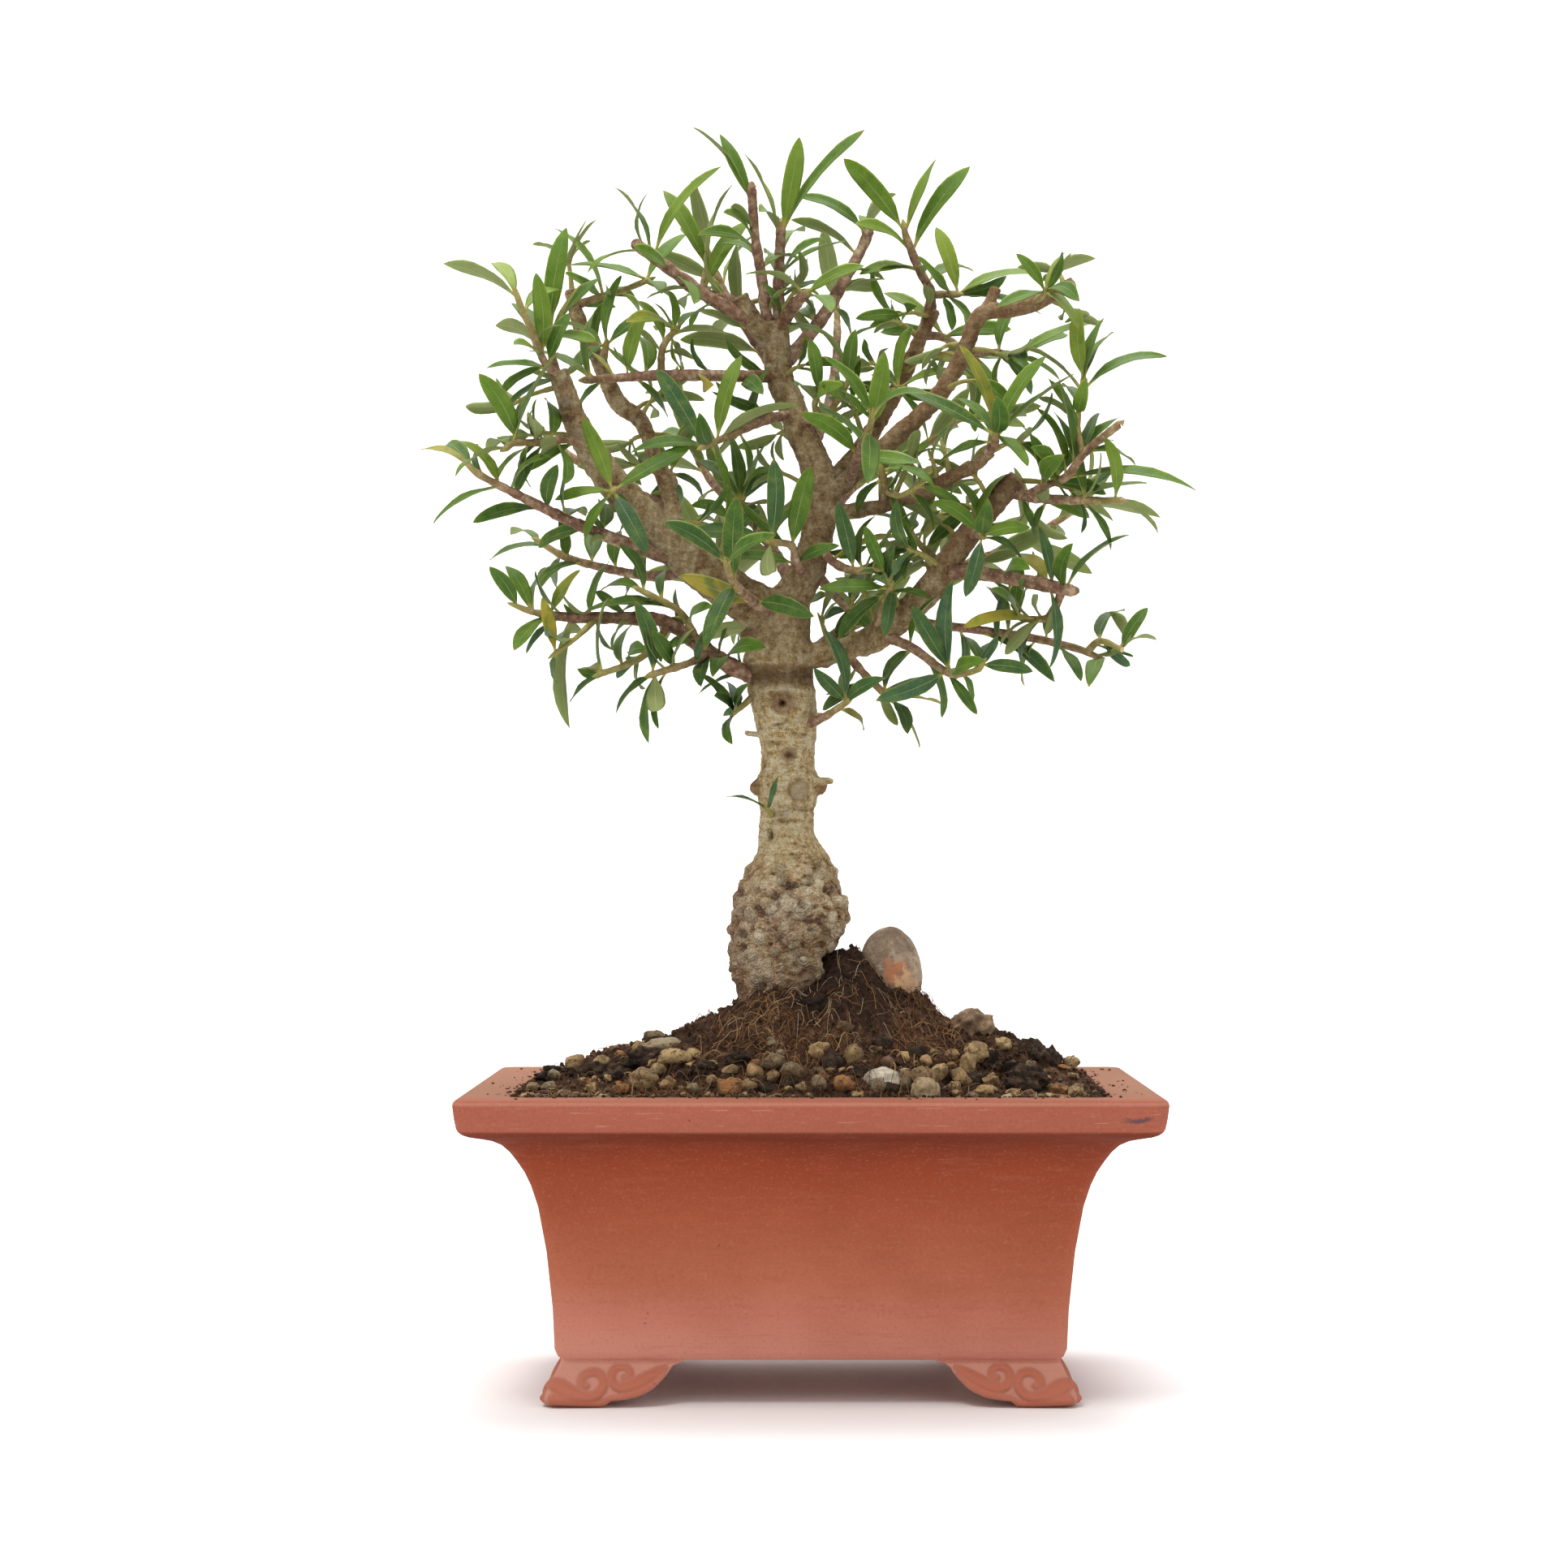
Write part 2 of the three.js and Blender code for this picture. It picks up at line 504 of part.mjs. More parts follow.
// leafy stems: each has branches, and each branch a path (across, height, depth, radius) and its
// leaves (place along the path, tip across, tip height, lean towards the back, how broad it shows;
// below 0 it shows its pale underside)
const leafyStems = {
  farLeftLow: [{
    path: [[-40, 252, -9, 2.2], [-60, 258.8, -17, 2], [-75, 265, -23, 1.7], [-90, 272.5, -29, 1.4],
      [-102, 278.8, -33, 1.1], [-106, 282.5, -34, 0.9]],
    leaves: [[4.9, -120, 287.5, 0.2, 0.45], [4.6, -112, 290.5, 0.7, 0.8], [3.5, -106.6, 289.8, -0.3, 0.85],
      [3.5, -117, 265.5, 0, 0.3], [3.6, -86.4, 287, 0.5, 0.3], [3.2, -83, 285.8, -0.6, 0.35],
      [2.4, -78, 282, -0.4, 0.95], [2.5, -104, 264, -0.3, 0.5], [2, -69, 267.2, 0.9, 0.5],
      [1.3, -64.9, 271, 0.9, 0.9], [1.6, -84, 256.5, 0.7, 0.7]],
  }],
  farLeftMid: [{
    path: [[-67.5, 287, -17, 1.5], [-75, 289.6, -24, 1.3], [-83, 288.8, -29, 1.2], [-91, 288.6, -33, 1.1],
      [-93.5, 287.2, -34, 1]],
    leaves: [[3.9, -109.4, 278.3, -0.3, -0.4], [2.9, -102.3, 309.8, -0.2, 0.95], [3, -76.9, 316, -0.2, 0.3],
      [3, -88.2, 308.6, 0.6, -0.45], [3.5, -100.3, 288, 0.8, 0.3], [2.2, -87, 297, -0.95, -0.8],
      [1.6, -81.5, 303.5, 0.6, 0.9], [1.1, -83.3, 286.4, -0.9, -0.7], [2.5, -88, 274.5, 0.4, 0.5],
      [1.4, -75.5, 276, -0.5, 0.45]],
  }],
  leftHigh: [{
    path: [[-77.5, 309, -22, 1.7], [-82, 313.5, -27, 1.3], [-85.5, 322, -30, 1.1], [-89, 330, -31, 1],
      [-90.8, 334.8, -31, 0.9]],
    leaves: [[3.9, -112.7, 344.8, 0.2, -0.4], [3.9, -97.2, 345, 0.8, 0.6], [1.3, -84.6, 341, -0.1, 1],
      [1.5, -107, 325.4, 0, 0.35], [1.7, -96.8, 325, 0.8, -0.5], [1.2, -92, 318.2, -0.9, 0.5],
      [0.7, -100, 312.3, 0, 0.4], [0.8, -97, 304, 0.3, 0.45], [0.8, -75.8, 329.6, -0.3, 0.8],
      [2.9, -77, 337, 0.7, 0.5]],
  }],
  leftTall: [{
    path: [[-77, 307, -21, 1.5], [-79.5, 315, -15, 1.2], [-80.7, 325.5, -10, 1]],
    leaves: [[1.9, -75.2, 355.2, 0, 1], [1.8, -68.9, 357.6, -0.3, 0.45], [1.6, -66, 319, -0.6, 0.4],
      [1.3, -71.5, 337.7, -0.8, 0.35], [1.1, -92, 332, 0.7, 0.7], [1.7, -64.5, 339, 0.4, 0.35]],
  }],
  leftLow: [{
    path: [[-36, 250, -4, 1.9], [-47, 247.5, 4, 1.7], [-60, 249.3, 9, 1.5], [-74.8, 253.2, 13, 1.2],
      [-84, 258.4, 16, 0.9]],
    leaves: [[3.9, -92.6, 262.6, 0.8, 0.5], [3.8, -99, 255, -0.3, 0.5], [3, -76.8, 267.4, -0.5, 0.9],
      [2.5, -67.5, 262, 0.9, 1], [2.7, -85, 245.4, 0, 0.35], [2, -59.6, 262.8, 0.5, 0.9],
      [1.8, -57.5, 238.5, 0.4, 0.6], [1.3, -50.5, 258.5, 0.6, 0.6], [3.2, -78, 244, 0.8, 0.5]],
  }],
  leftShelf: [{
    path: [[-15, 215.5, 0, 2.8], [-24, 219.5, -6, 2.5], [-32.5, 225, -11, 2.4], [-45, 233.6, -17, 2.2],
      [-57.5, 234.6, -22, 2], [-75, 235, -28, 1.6], [-85, 236.4, -32, 1.1], [-91, 238.5, -34, 0.8]],
    leaves: [[6.9, -99, 250.6, -0.2, 1], [6.2, -93.8, 252, 0.3, 0.95], [6.1, -82.7, 250.8, 0.6, 0.3],
      [6.2, -98.5, 227.6, 0.2, 0.25], [5.5, -91, 223.8, -0.6, 0.6], [5.5, -72.6, 250, -0.1, 0.85],
      [2.2, -26.2, 235, -0.4, 0.3], [1.4, -30.2, 219.6, -0.9, 0.7], [1.3, -15, 226.5, -0.7, 0.6],
      [1.7, -34, 214.5, -0.8, 0.8], [4.9, -75.8, 200.5, 0.1, -0.55], [4.6, -62, 252, 0.6, 0.6]],
  }, {
    path: [[-44, 232.6, -17, 1.3], [-49, 225, -22, 1.1], [-56, 220.6, -26, 1], [-65, 217.4, -30, 0.9]],
    leaves: [[2.9, -64.2, 241, -0.2, 0.3], [2.9, -69.4, 219.4, 0.9, 0.8], [2, -51.8, 225.4, -0.8, 0.4],
      [2.2, -55.6, 233, 0.8, 0.35], [1.6, -53.6, 212, 0.4, 0.5], [2.9, -74, 208.5, 0.3, 0.5]],
  }, {
    path: [[-32, 224, -11, 1.5], [-37, 221, -20, 1.2], [-42.6, 219.2, -26, 1.1], [-49, 217.2, -30, 1]],
    leaves: [[2.9, -53.6, 240, -0.2, 0.9], [2.9, -60.2, 205, 0.3, 0.5], [2.8, -51.4, 196.2, 0, 0.3],
      [2.8, -47.4, 206.8, -0.9, -1], [1.8, -49.3, 231, -0.5, 0.9], [2, -35.4, 232, -0.5, 0.35]],
  }, {
    path: [[-66, 234.6, -25, 1], [-72.5, 228.4, -32, 0.8], [-79, 223.6, -36, 0.7]],
    leaves: [[1.9, -83.3, 241, -0.3, 0.75], [1.9, -78.8, 214, 0.4, 0.4], [1.4, -73.4, 233.4, 0.9, 0.35],
      [1, -66, 222, 0.7, -0.8]],
  }, {
    path: [
      [-34.5, 226.6, -12, 1.3], [-37.4, 232.4, -19, 1.1], [-41.5, 237.6, -23, 1], [-52.6, 243.3, -28, 0.9],
    ],
    leaves: [[2.1, -69.3, 236.2, -0.1, 0.6], [2.9, -65.5, 246, 0.4, 0.5], [2.9, -58.5, 258, 0.2, 0.5],
      [1, -32, 238.4, -0.9, 0.5], [2.4, -45.4, 251, 0.8, 0.7], [1.5, -45.4, 230, 0.8, -0.4]],
  }],
  leftSprout: [{
    path: [[-16, 212.6, -1, 1.3], [-20.5, 208, -5, 1], [-23.4, 205.6, -8, 0.8]],
    leaves: [[1.9, -30.4, 210.8, -0.7, 0.8], [1.8, -26.5, 214.6, 0.7, 0.7], [1.6, -20.8, 214, -0.8, 0.45],
      [1.9, -25.7, 197, -0.4, 0.5], [1.9, -33.5, 217.5, -0.1, 0.8]],
  }],
  topLeftStub: [{
    path: [[-17, 325.5, 4, 2.4], [-32.2, 333.8, -1, 2], [-42.2, 341.2, -5, 1.9], [-53, 349.2, -8, 1.8]],
    leaves: [[2.6, -28.2, 374.4, 0, 0.55], [2.7, -59.4, 368, 0.5, 0.4], [2.2, -55, 349, -0.9, 0.6],
      [1.9, -36, 331, -0.8, 0.5]],
  }],
  topLeftKnob: [{
    path: [[-21, 331.5, 3, 1.7], [-28, 333.8, 9, 1.4], [-33, 336, 11, 1.2], [-31.6, 344, 12, 0.9]],
    leaves: [[2.9, -44.3, 367.4, -0.3, 0.75], [2, -48.8, 356, 0.3, -0.5], [2.1, -18.8, 358, 0.2, 0.95],
      [1.9, -41, 332.2, 0.8, 0.5], [1.8, -22, 340, 0.8, 0.5], [2.9, -25.5, 368.6, 0.6, 0.4]],
  }],
  topLeftTwig: [{
    path: [[-72.5, 331, 26, 1.5], [-64.8, 333.6, 22, 1.1], [-57, 336, 19, 1], [-50, 338.8, 16, 0.9]],
    leaves: [[1, -75.6, 341, -0.6, 0.7], [1.1, -77.5, 356.2, 0.1, 0.3], [2.9, -75.2, 344.4, -0.2, 0.5],
      [2.9, -46, 334, -0.9, 0.4], [2, -57, 351, 0.7, 0.7], [1.8, -51, 325, 0.5, 0.5],
      [2.9, -38.4, 352.5, 0.6, 0.5], [1.3, -66, 316.5, 0.5, 0.4]],
  }],
  topLeftStalk: [{
    path: [[-13.4, 326, 5, 2], [-15.2, 340, -1, 1.8], [-17.2, 352.5, -4, 1.6], [-18.2, 366.8, -6, 1.5]],
    leaves: [[2.8, -27.8, 384.2, 0.1, 0.9], [2.8, 0.2, 378.6, 0.1, 0.75], [2.8, -36, 385.8, 0.5, 0.3],
      [1.7, -33.7, 354.6, -0.6, 0.4], [1.9, -27.1, 359.5, -0.9, 0.3], [1.2, -4, 346, 0.7, 0.5]],
  }],
  topStalk: [{
    path: [[-10.2, 322, 6, 2.1], [-9.8, 340, 9, 1.8], [-9.2, 355.4, 10, 1.5]],
    leaves: [[1.95, -3.5, 382.7, -0.1, 1], [1.95, 17.2, 384.4, 0.3, 0.25], [1.95, -20.4, 377.5, 0.4, 0.35],
      [1.1, 10.4, 350.8, -0.4, 0.4], [1, -1, 353.5, -0.9, 0.35], [1, -14, 349, 0.9, 0.9],
      [1.9, -15, 362, -0.95, -0.6], [1.5, -3, 356, 0.9, 0.5]],
  }],
  topShort: [{
    path: [[-10, 324, 5, 2.2], [-4.6, 331.6, -6, 1.9], [-1.4, 334.5, -10, 1.7]],
    leaves: [[1.8, -19.4, 342.2, -0.1, -0.6], [1.9, 15.6, 344.8, -0.1, 0.7], [1.9, 6.4, 328.4, -0.9, 0.5]],
  }],
  topRightStalk: [{
    path: [[-7, 314, 7, 2.4], [2.8, 326.2, 11, 2.1], [9, 336.2, 14, 1.9], [15.2, 347.5, 17, 1.7],
      [17.8, 353.4, 18, 1.5]],
    leaves: [[3.9, -3.2, 366.1, 0, 0.55], [3.9, 24.8, 365, 0.9, -0.7], [1.9, 19.8, 337.4, 0.6, -0.6],
      [0.9, -3, 331.5, 0.9, 1], [2.9, -5.7, 358.2, 0.5, -0.35], [1.5, 12.5, 318, 0.7, 0.5]],
  }],
  rightCrown: [{
    path: [[36.5, 327.5, 21, 1.9], [36.8, 335, 20, 1.6], [33.2, 342.4, 19, 1.4], [29.4, 352, 18, 1.2],
      [28.8, 355, 18, 1]],
    leaves: [[3.9, 10.2, 376.2, 0.1, 0.85], [3.9, 39, 375.9, 0.1, 0.7], [2.6, 49.5, 373.4, 0.2, 0.55],
      [2.7, 13.8, 356.8, -0.6, 0.35], [2, 15, 340.4, -0.1, 0.45], [3.9, 23, 371, 0.95, 0.5],
      [1.4, 50.5, 344, 0.7, 0.6]],
  }, {
    path: [[36.9, 334, 20, 1.4], [41, 334.4, 12, 1.2], [45.4, 334.4, 6, 1.1]],
    leaves: [[1.9, 39.3, 355.6, 0.1, 0.85], [1.9, 60.3, 354.8, 0, 0.6], [1.9, 56.3, 349.6, 0.8, 0.8],
      [1.4, 32.9, 346, -0.6, 0.8], [1.9, 70, 341.4, -0.2, 0.6], [1.5, 71.2, 329.4, -0.1, 0.4],
      [1.2, 51, 322, -0.5, 0.6]],
  }],
  rightBackTwig: [{
    path: [[34, 321.5, 20, 1.6], [41, 321, 27, 1.3], [50, 315, 33, 1.1], [56, 309, 36, 0.9]],
    leaves: [[0.8, 21.7, 325, -0.7, 0.45], [1, 23, 336, 0.3, 0.35], [0.9, 61.9, 323, -0.3, 0.6],
      [2, 66.2, 314, 0.1, 0.6], [2, 56.8, 301, -0.4, 0.7], [3, 66, 294.5, 0.5, 0.7],
      [3, 71.5, 308, 0.4, 0.8], [1.8, 47, 331, 0.6, 0.6], [2.6, 50, 292, 0.5, 0.5],
      [1.3, 38.5, 306, 0.4, 0.5]],
  }],
  rightStub: [{
    path: [[68, 331.3, -15, 1.2], [71.6, 334.2, -22, 1], [72.2, 335.4, -25, 0.9]],
    leaves: [[1.9, 64.6, 347.4, -0.2, 0.7], [1.9, 82, 334, -0.9, 0.5], [1.9, 78.2, 347, 0.1, 0.4],
      [1.6, 57.5, 331.4, -0.5, 0.5], [1.9, 83, 325.8, -0.8, 0.6]],
  }],
  rightWhorl: [{
    path: [[54.5, 285.4, -26.5, 1.7], [56.6, 288.6, -32, 1.4], [57, 291, -35, 1.2]],
    leaves: [[1.9, 45.7, 318.8, 0, 0.45], [1.9, 73.2, 315.4, 0, 0.85], [1.9, 28.3, 304.6, 0.1, 0.65],
      [1.9, 57.2, 303, -0.9, 1], [1.8, 81.6, 309, -0.2, 0.4], [1.5, 45.3, 303.8, 0.7, 0.35],
      [1.4, 65.6, 299.4, 0.8, 0.6], [1.2, 38.5, 282, 0.5, 0.6], [1.9, 67, 283, -0.6, 0.7]],
  }],
  rightEnd: [{
    path: [[61.5, 274, -18, 2.1], [66, 272.4, -23, 1.8], [77, 271, -30, 1.4], [95.4, 270.9, -37, 1]],
    leaves: [[2.9, 91.8, 290.2, -0.3, 0.65], [2.9, 107, 261, 0.4, -0.4], [2.4, 76.8, 299, -0.1, 0.75],
      [2.4, 84.2, 254.5, -0.1, 0.85], [1.8, 93, 266.6, 0.7, -0.5], [2.2, 103.6, 275.1, 0.6, 0.25],
      [1.6, 68, 258, 0.6, 0.5]],
  }, {
    path: [[67, 272.4, -24, 1.5], [72.4, 275.6, -30, 1.3], [79, 278.4, -35, 1.3], [85, 286.2, -39, 1.3],
      [95.2, 294.5, -44, 1.2]],
    leaves: [[2, 120, 276.5, 0.1, 0.4], [1.3, 95.8, 297.3, 0.4, 0.7], [2, 71.6, 300, 0.2, 0.3],
      [1.1, 65.5, 294, 0.2, 0.6], [1, 75.8, 284, -0.95, 0.7], [1.6, 66, 286.4, -0.6, 0.5],
      [2.7, 86.4, 296, 0.7, 0.6], [3, 101, 283.5, 0.6, 0.5], [2.4, 75, 306.5, 0.4, 0.4]],
  }, {
    path: [[84, 284.8, -38, 1.1], [82.2, 294, -34, 1], [83.6, 305.6, -30, 0.9], [84, 308.8, -29, 0.8]],
    leaves: [[2.95, 82.7, 330.4, 0, 1], [2.95, 93.6, 322, 0.8, 0.55], [1.3, 84.6, 306.2, -0.6, 1],
      [1.95, 108.4, 318, 0.1, 0.25], [1.95, 66.4, 318.6, 0.3, 0.2], [0.7, 72.4, 307.8, 0.3, 0.5],
      [1.4, 78.4, 306.4, 0.9, 0.5], [2.1, 90.7, 326.8, 0.6, 0.4]],
  }],
  rightUpperTwig: [{
    path: [[47.5, 316, -12, 1.4], [56, 316.5, -6, 1.2], [64.8, 315.4, -2, 1]],
    leaves: [[1.9, 90.7, 326.4, 0, 0.5], [1.9, 76.5, 307, 0.3, 0.4], [1.4, 66, 313, -0.9, 0.6],
      [1.3, 58, 303, 0.2, 0.6], [1.2, 62, 331, 0.5, 0.6], [1.9, 79, 322.6, 0.8, 0.6]],
  }],
  rightShelf: [{
    path: [
      [38, 248.6, -14.5, 2.5], [50.2, 248.6, -20, 2.3], [65.2, 246.2, -26, 2.1], [79.8, 243.2, -31, 2],
    ],
    leaves: [[2.6, 71.8, 263, -0.3, 0.8], [2.6, 75.8, 220, -0.2, 0.7], [2.85, 79.4, 256, -0.9, 0.9],
      [2.9, 86.2, 262, 0.4, 0.9], [2.9, 97.8, 261.2, 0.3, 0.3], [2.3, 67.8, 253.4, 0.9, 0.4],
      [2.5, 62.8, 255.6, 0.8, 0.8], [1.6, 66.2, 250.6, -0.9, 0.6], [1.8, 58, 228.5, 0.5, 0.5]],
  }, {
    path: [[77.5, 243.6, -30, 1.4], [74, 235.6, -23, 1.2], [68.4, 234.2, -18, 1.1], [62, 235.4, -14, 0.9]],
    leaves: [[2.9, 63, 255, 0.2, 1], [1.9, 46.9, 232.8, 0.1, 0.6], [2.8, 56.8, 246, 0.6, 0.4],
      [2.6, 67.4, 243.6, 0.9, 0.6], [1, 83.8, 228, -0.1, 0.7], [2.9, 55, 242, -0.8, 0.5],
      [1.5, 63, 220.5, 0.5, 0.5]],
  }],
  rightLowShelf: [{
    path: [[29, 236, -12, 1.6], [36, 233, -9, 1.5], [50.2, 231.2, -5, 1.4], [67.8, 228.6, -8, 1.3],
      [82.8, 225, -12, 1.2], [90, 221.6, -14, 1.1]],
    leaves: [[2.2, 75.2, 214.8, -0.1, 0.45], [3.6, 83.4, 215.4, -0.6, 0.4], [4.8, 85.3, 216.5, -0.9, 0.8],
      [2.6, 56, 246, 0.5, 0.4], [3.1, 66, 214, 0.4, 0.5], [3.3, 76, 241, 0.5, 0.5],
      [1.7, 46, 215, 0.4, 0.5]],
  }, {
    path: [[85, 224, -12.5, 1.1], [89.2, 227.6, -18, 1], [95.8, 225, -24, 0.8]],
    leaves: [[1, 93, 243, -0.2, 1], [1.9, 103.8, 237.8, -0.1, 1], [1.9, 106.4, 229, 0.6, 0.3],
      [1, 84.4, 236, 0.8, 0.9], [1.9, 93.6, 236, 0.8, -0.5], [1.1, 82.5, 247.4, 0.6, 0.25],
      [0.9, 95.4, 239, 0.9, 0.5]],
  }],
  rightLowFront: [{
    path: [[21, 229.5, -10, 1.7], [31, 225.6, -20, 1.4], [42.6, 217.8, -30, 1.2], [51.2, 218.6, -35, 0.9],
      [52.6, 220.4, -36, 0.8]],
    leaves: [[1.9, 20.3, 209.3, -0.3, 1], [2, 30.8, 238.2, -0.1, 0.8], [2, 43, 246.6, 0, 0.9],
      [2.2, 50.8, 222.5, -0.9, 0.6], [3.9, 68.4, 218.2, -0.1, 1], [2.4, 49.9, 207.6, 0.3, 0.3],
      [3.9, 46.6, 229, 0.8, 0.7], [3.9, 57, 228, 0.8, 0.4], [1.4, 40.8, 204, 0.5, 0.3],
      [1, 22.5, 216, 0.6, 0.5], [0.9, 36.5, 241, 0.8, 0.5]],
  }],
  rightLowBack: [{
    path: [[11, 224.4, -6, 1.6], [15, 219, 2, 1.3], [22, 212, 9, 1.1], [25, 209.4, 12, 0.9]],
    leaves: [[2.9, 32.8, 194.5, 0.2, 0.3], [2.9, 30.4, 199.8, -0.5, 0.6], [2, 40, 216, 0.3, 0.5],
      [1.5, 3, 207, 0.5, 0.6], [2, 31, 226, 0.6, 0.5], [2.9, 40.8, 208, 0.5, 0.4]],
  }],
  trunkRightLow: [{
    path: [[-4, 201, -2, 1.8], [3.4, 203.8, -9, 1.4], [7.6, 206.4, -13, 1.1], [11.2, 208.9, -17, 1]],
    leaves: [[2.9, 1, 219.4, -0.3, 1], [2.9, 20.8, 216, -0.6, 0.9], [2.8, 6.5, 232, 0.3, 0.55],
      [2.9, 11.7, 222, 0.6, 0.5], [2.2, 18, 201.5, 0.5, 0.5]],
  }],
  innerRight: [{
    path: [[1, 250, 1, 1.7], [6, 243, 10, 1.4], [12, 237, 18, 1.2]],
    leaves: [[1.9, 3, 233, 0.3, 0.8], [1.9, 9, 225.5, 0.2, 0.8], [1.9, 20, 229, 0.3, 0.9],
      [1.9, 24, 241, 0.4, 0.8],
      [1.9, 12, 250.5, 0.7, 0.9], [1, -1.6, 238, 0.7, 0.6], [1.2, 22, 251, 0.5, 0.6],
      [1.9, 14, 229.5, 0.9, 1]],
  }],
  innerRightFront: [{
    path: [[20, 229, -9.5, 1.5], [22.4, 239, -17, 1.2], [24.6, 244, -20, 1]],
    leaves: [[1.9, 23, 229.2, -0.5, 1], [1.9, 2.6, 244.4, 0, 0.7], [1.9, 25.4, 257.4, -0.3, 0.65],
      [1.7, 36.4, 239.6, 0.2, 0.5], [1.5, 9, 228, 0.4, 0.6], [1.9, 35, 254, 0.5, 0.6]],
  }],
  frontMiddle: [{
    path: [[-1.5, 248, -3, 1.7], [-4.4, 251.4, -12, 1.5], [-6, 257, -17, 1.2], [-12.4, 258, -22, 1]],
    leaves: [[2.95, -11.4, 283.9, -0.1, 1], [2.95, -12.1, 247, -0.8, -1], [2.9, -0.4, 271.8, 0.5, 0.3],
      [2.95, -39.6, 261.6, 0, 0.75], [1.95, 0, 281, -0.1, 1], [1, 6.7, 258.4, -0.5, 0.6],
      [1, -26.4, 253, 0.1, 0.75]],
  }],
  frontRight: [{
    path: [[2, 257, 0, 1.6], [7.4, 251.6, -10, 1.4], [12.8, 249.4, -18, 1.2], [19.6, 249.4, -22, 1]],
    leaves: [[2, 8.3, 270.4, -0.2, 1], [2.9, 25.2, 262, 0.5, 0.8], [0.8, 30.1, 261.2, 0.1, -0.55],
      [2.9, 31, 268, 0.7, 0.3], [2.4, 17, 266, 0.8, 0.5], [2.9, 37, 262.6, -0.4, 0.4]],
  }],
  rightInner: [{
    path: [[37.6, 247, -14.5, 1.6], [38, 252.8, -8, 1.2], [34.4, 256.4, -5, 1], [30.8, 261.4, -2, 0.8]],
    leaves: [[1.8, 48.4, 269.8, -0.2, 0.85], [1.9, 40.9, 267, 0.8, -0.5], [2.9, 27.3, 266.8, 0.9, 0.4],
      [2.9, 36, 270, 0.8, 0.3], [2.2, 22, 251, 0.5, 0.5], [2.9, 20, 268, 0.2, 0.5]],
  }],
  rightWhorlLow: [{
    path: [[49, 260.6, -17, 1.7], [51, 260.6, -24, 1.4], [52.8, 259.8, -28, 1.2]],
    leaves: [[1.9, 38.3, 271.4, -0.1, 0.85], [1.9, 67.4, 262.8, -0.3, 0.9], [1.9, 47.4, 241.4, -0.1, 0.95],
      [1.9, 54.2, 270.5, -0.9, 1], [1.9, 66.2, 252, 0.4, 0.5], [1.4, 46.7, 277, 0.4, 0.4],
      [1.4, 58.5, 280.5, 0.3, 0.6]],
  }],
  innerLeftMid: [{
    path: [[-5, 297.5, 4, 1.8], [-14, 295.6, -8, 1.5], [-27, 290, -19, 1.2], [-33, 287.4, -23, 1]],
    leaves: [[2.95, -47.5, 311.4, -0.1, 1], [2.2, -22.8, 316.4, -0.1, 0.85], [2.1, -3.8, 301.2, -0.4, -0.7],
      [2.9, -55.4, 285.4, 0.1, 0.7], [2.9, -33.5, 261, -0.1, 1], [2.6, -24, 266.5, 0.4, 0.5],
      [2.6, -34, 296.5, -0.9, 1], [1.3, -12, 313, 0.6, 0.5], [1.6, -19, 275, 0.5, 0.5]],
  }],
  leftArmWhorl: [{
    path: [[-58.6, 273, -14, 1.7], [-60.4, 274, -22, 1.4], [-61, 273.8, -25, 1.1]],
    leaves: [[1.9, -70.2, 296.4, -0.3, 1], [1.9, -79.2, 271.6, -0.2, 0.5], [1.9, -49.8, 255.8, -0.4, 0.95],
      [1.9, -37.2, 286.8, 0, 0.65], [1.6, -55, 263, 0.4, 0.4], [1.8, -70, 259, 0.2, 0.4]],
  }],
  leftBeam: [{
    path: [[-11, 309, 6, 2.1], [-21, 309.2, -2, 1.9], [-44.8, 309.5, -6, 1.7], [-57, 308.8, -8, 1.5],
      [-69, 308, -9, 1.2]],
    leaves: [[3.3, -69.5, 318, 0.3, 0.5], [2.95, -50.5, 329.4, -0.2, 0.95], [2.5, -52, 322.8, 0.8, 0.8],
      [1.4, -32.2, 305, -0.9, -0.8], [0.9, -14.8, 303.5, -0.9, 1], [3.9, -86.5, 318.5, 0.6, 0.5],
      [2.7, -44, 296.5, 0.5, 0.6], [3.6, -74.5, 294, 0.5, 0.5], [3.9, -67, 329.5, 0.7, 0.5]],
  }, {
    path: [[-46, 309.4, -6, 1.2], [-45.6, 318, -3, 1.1], [-41.2, 323.8, -1, 0.9]],
    leaves: [[1.9, -47.2, 322.4, 0.9, 0.3], [1.5, -40.4, 311, 0.8, 0.4], [1.9, -44.2, 335.6, -0.3, 0.8],
      [1.9, -33.2, 330, 0.7, 0.35], [1.9, -26.8, 321.8, 0.5, 0.35], [1.2, -53.5, 332, 0.3, 0.4],
      [1.9, -56, 325, -0.6, 0.4]],
  }],
  leftBackTwig: [{
    path: [[-64.5, 312, 22.5, 1.6], [-63.6, 316, 15, 1.2], [-63, 319, 11, 1]],
    leaves: [[1.9, -74.6, 310.8, -0.6, 0.5], [1.9, -58, 340, 0.2, 0.4], [1.9, -48, 329, 0.2, 0.5],
      [1.7, -52, 306, 0.2, 0.6], [1.5, -79, 327, 0.3, 0.5]],
  }],
  innerLeftBack: [{
    path: [[-24, 242, -4, 1.5], [-28, 253, 6, 1.3], [-25.6, 262.5, 11, 1.2], [-21, 271.4, 15, 1]],
    leaves: [[2.9, -24, 292, 0.2, 0.85], [2.9, -10.4, 281, 0.2, 0.7], [2.9, -13.4, 288, 0.6, 0.6],
      [2.7, -27.4, 280, 0.9, 0.9], [2, -14.6, 266.6, 0.4, 0.6], [2.2, -36.5, 271, 0.2, 0.7],
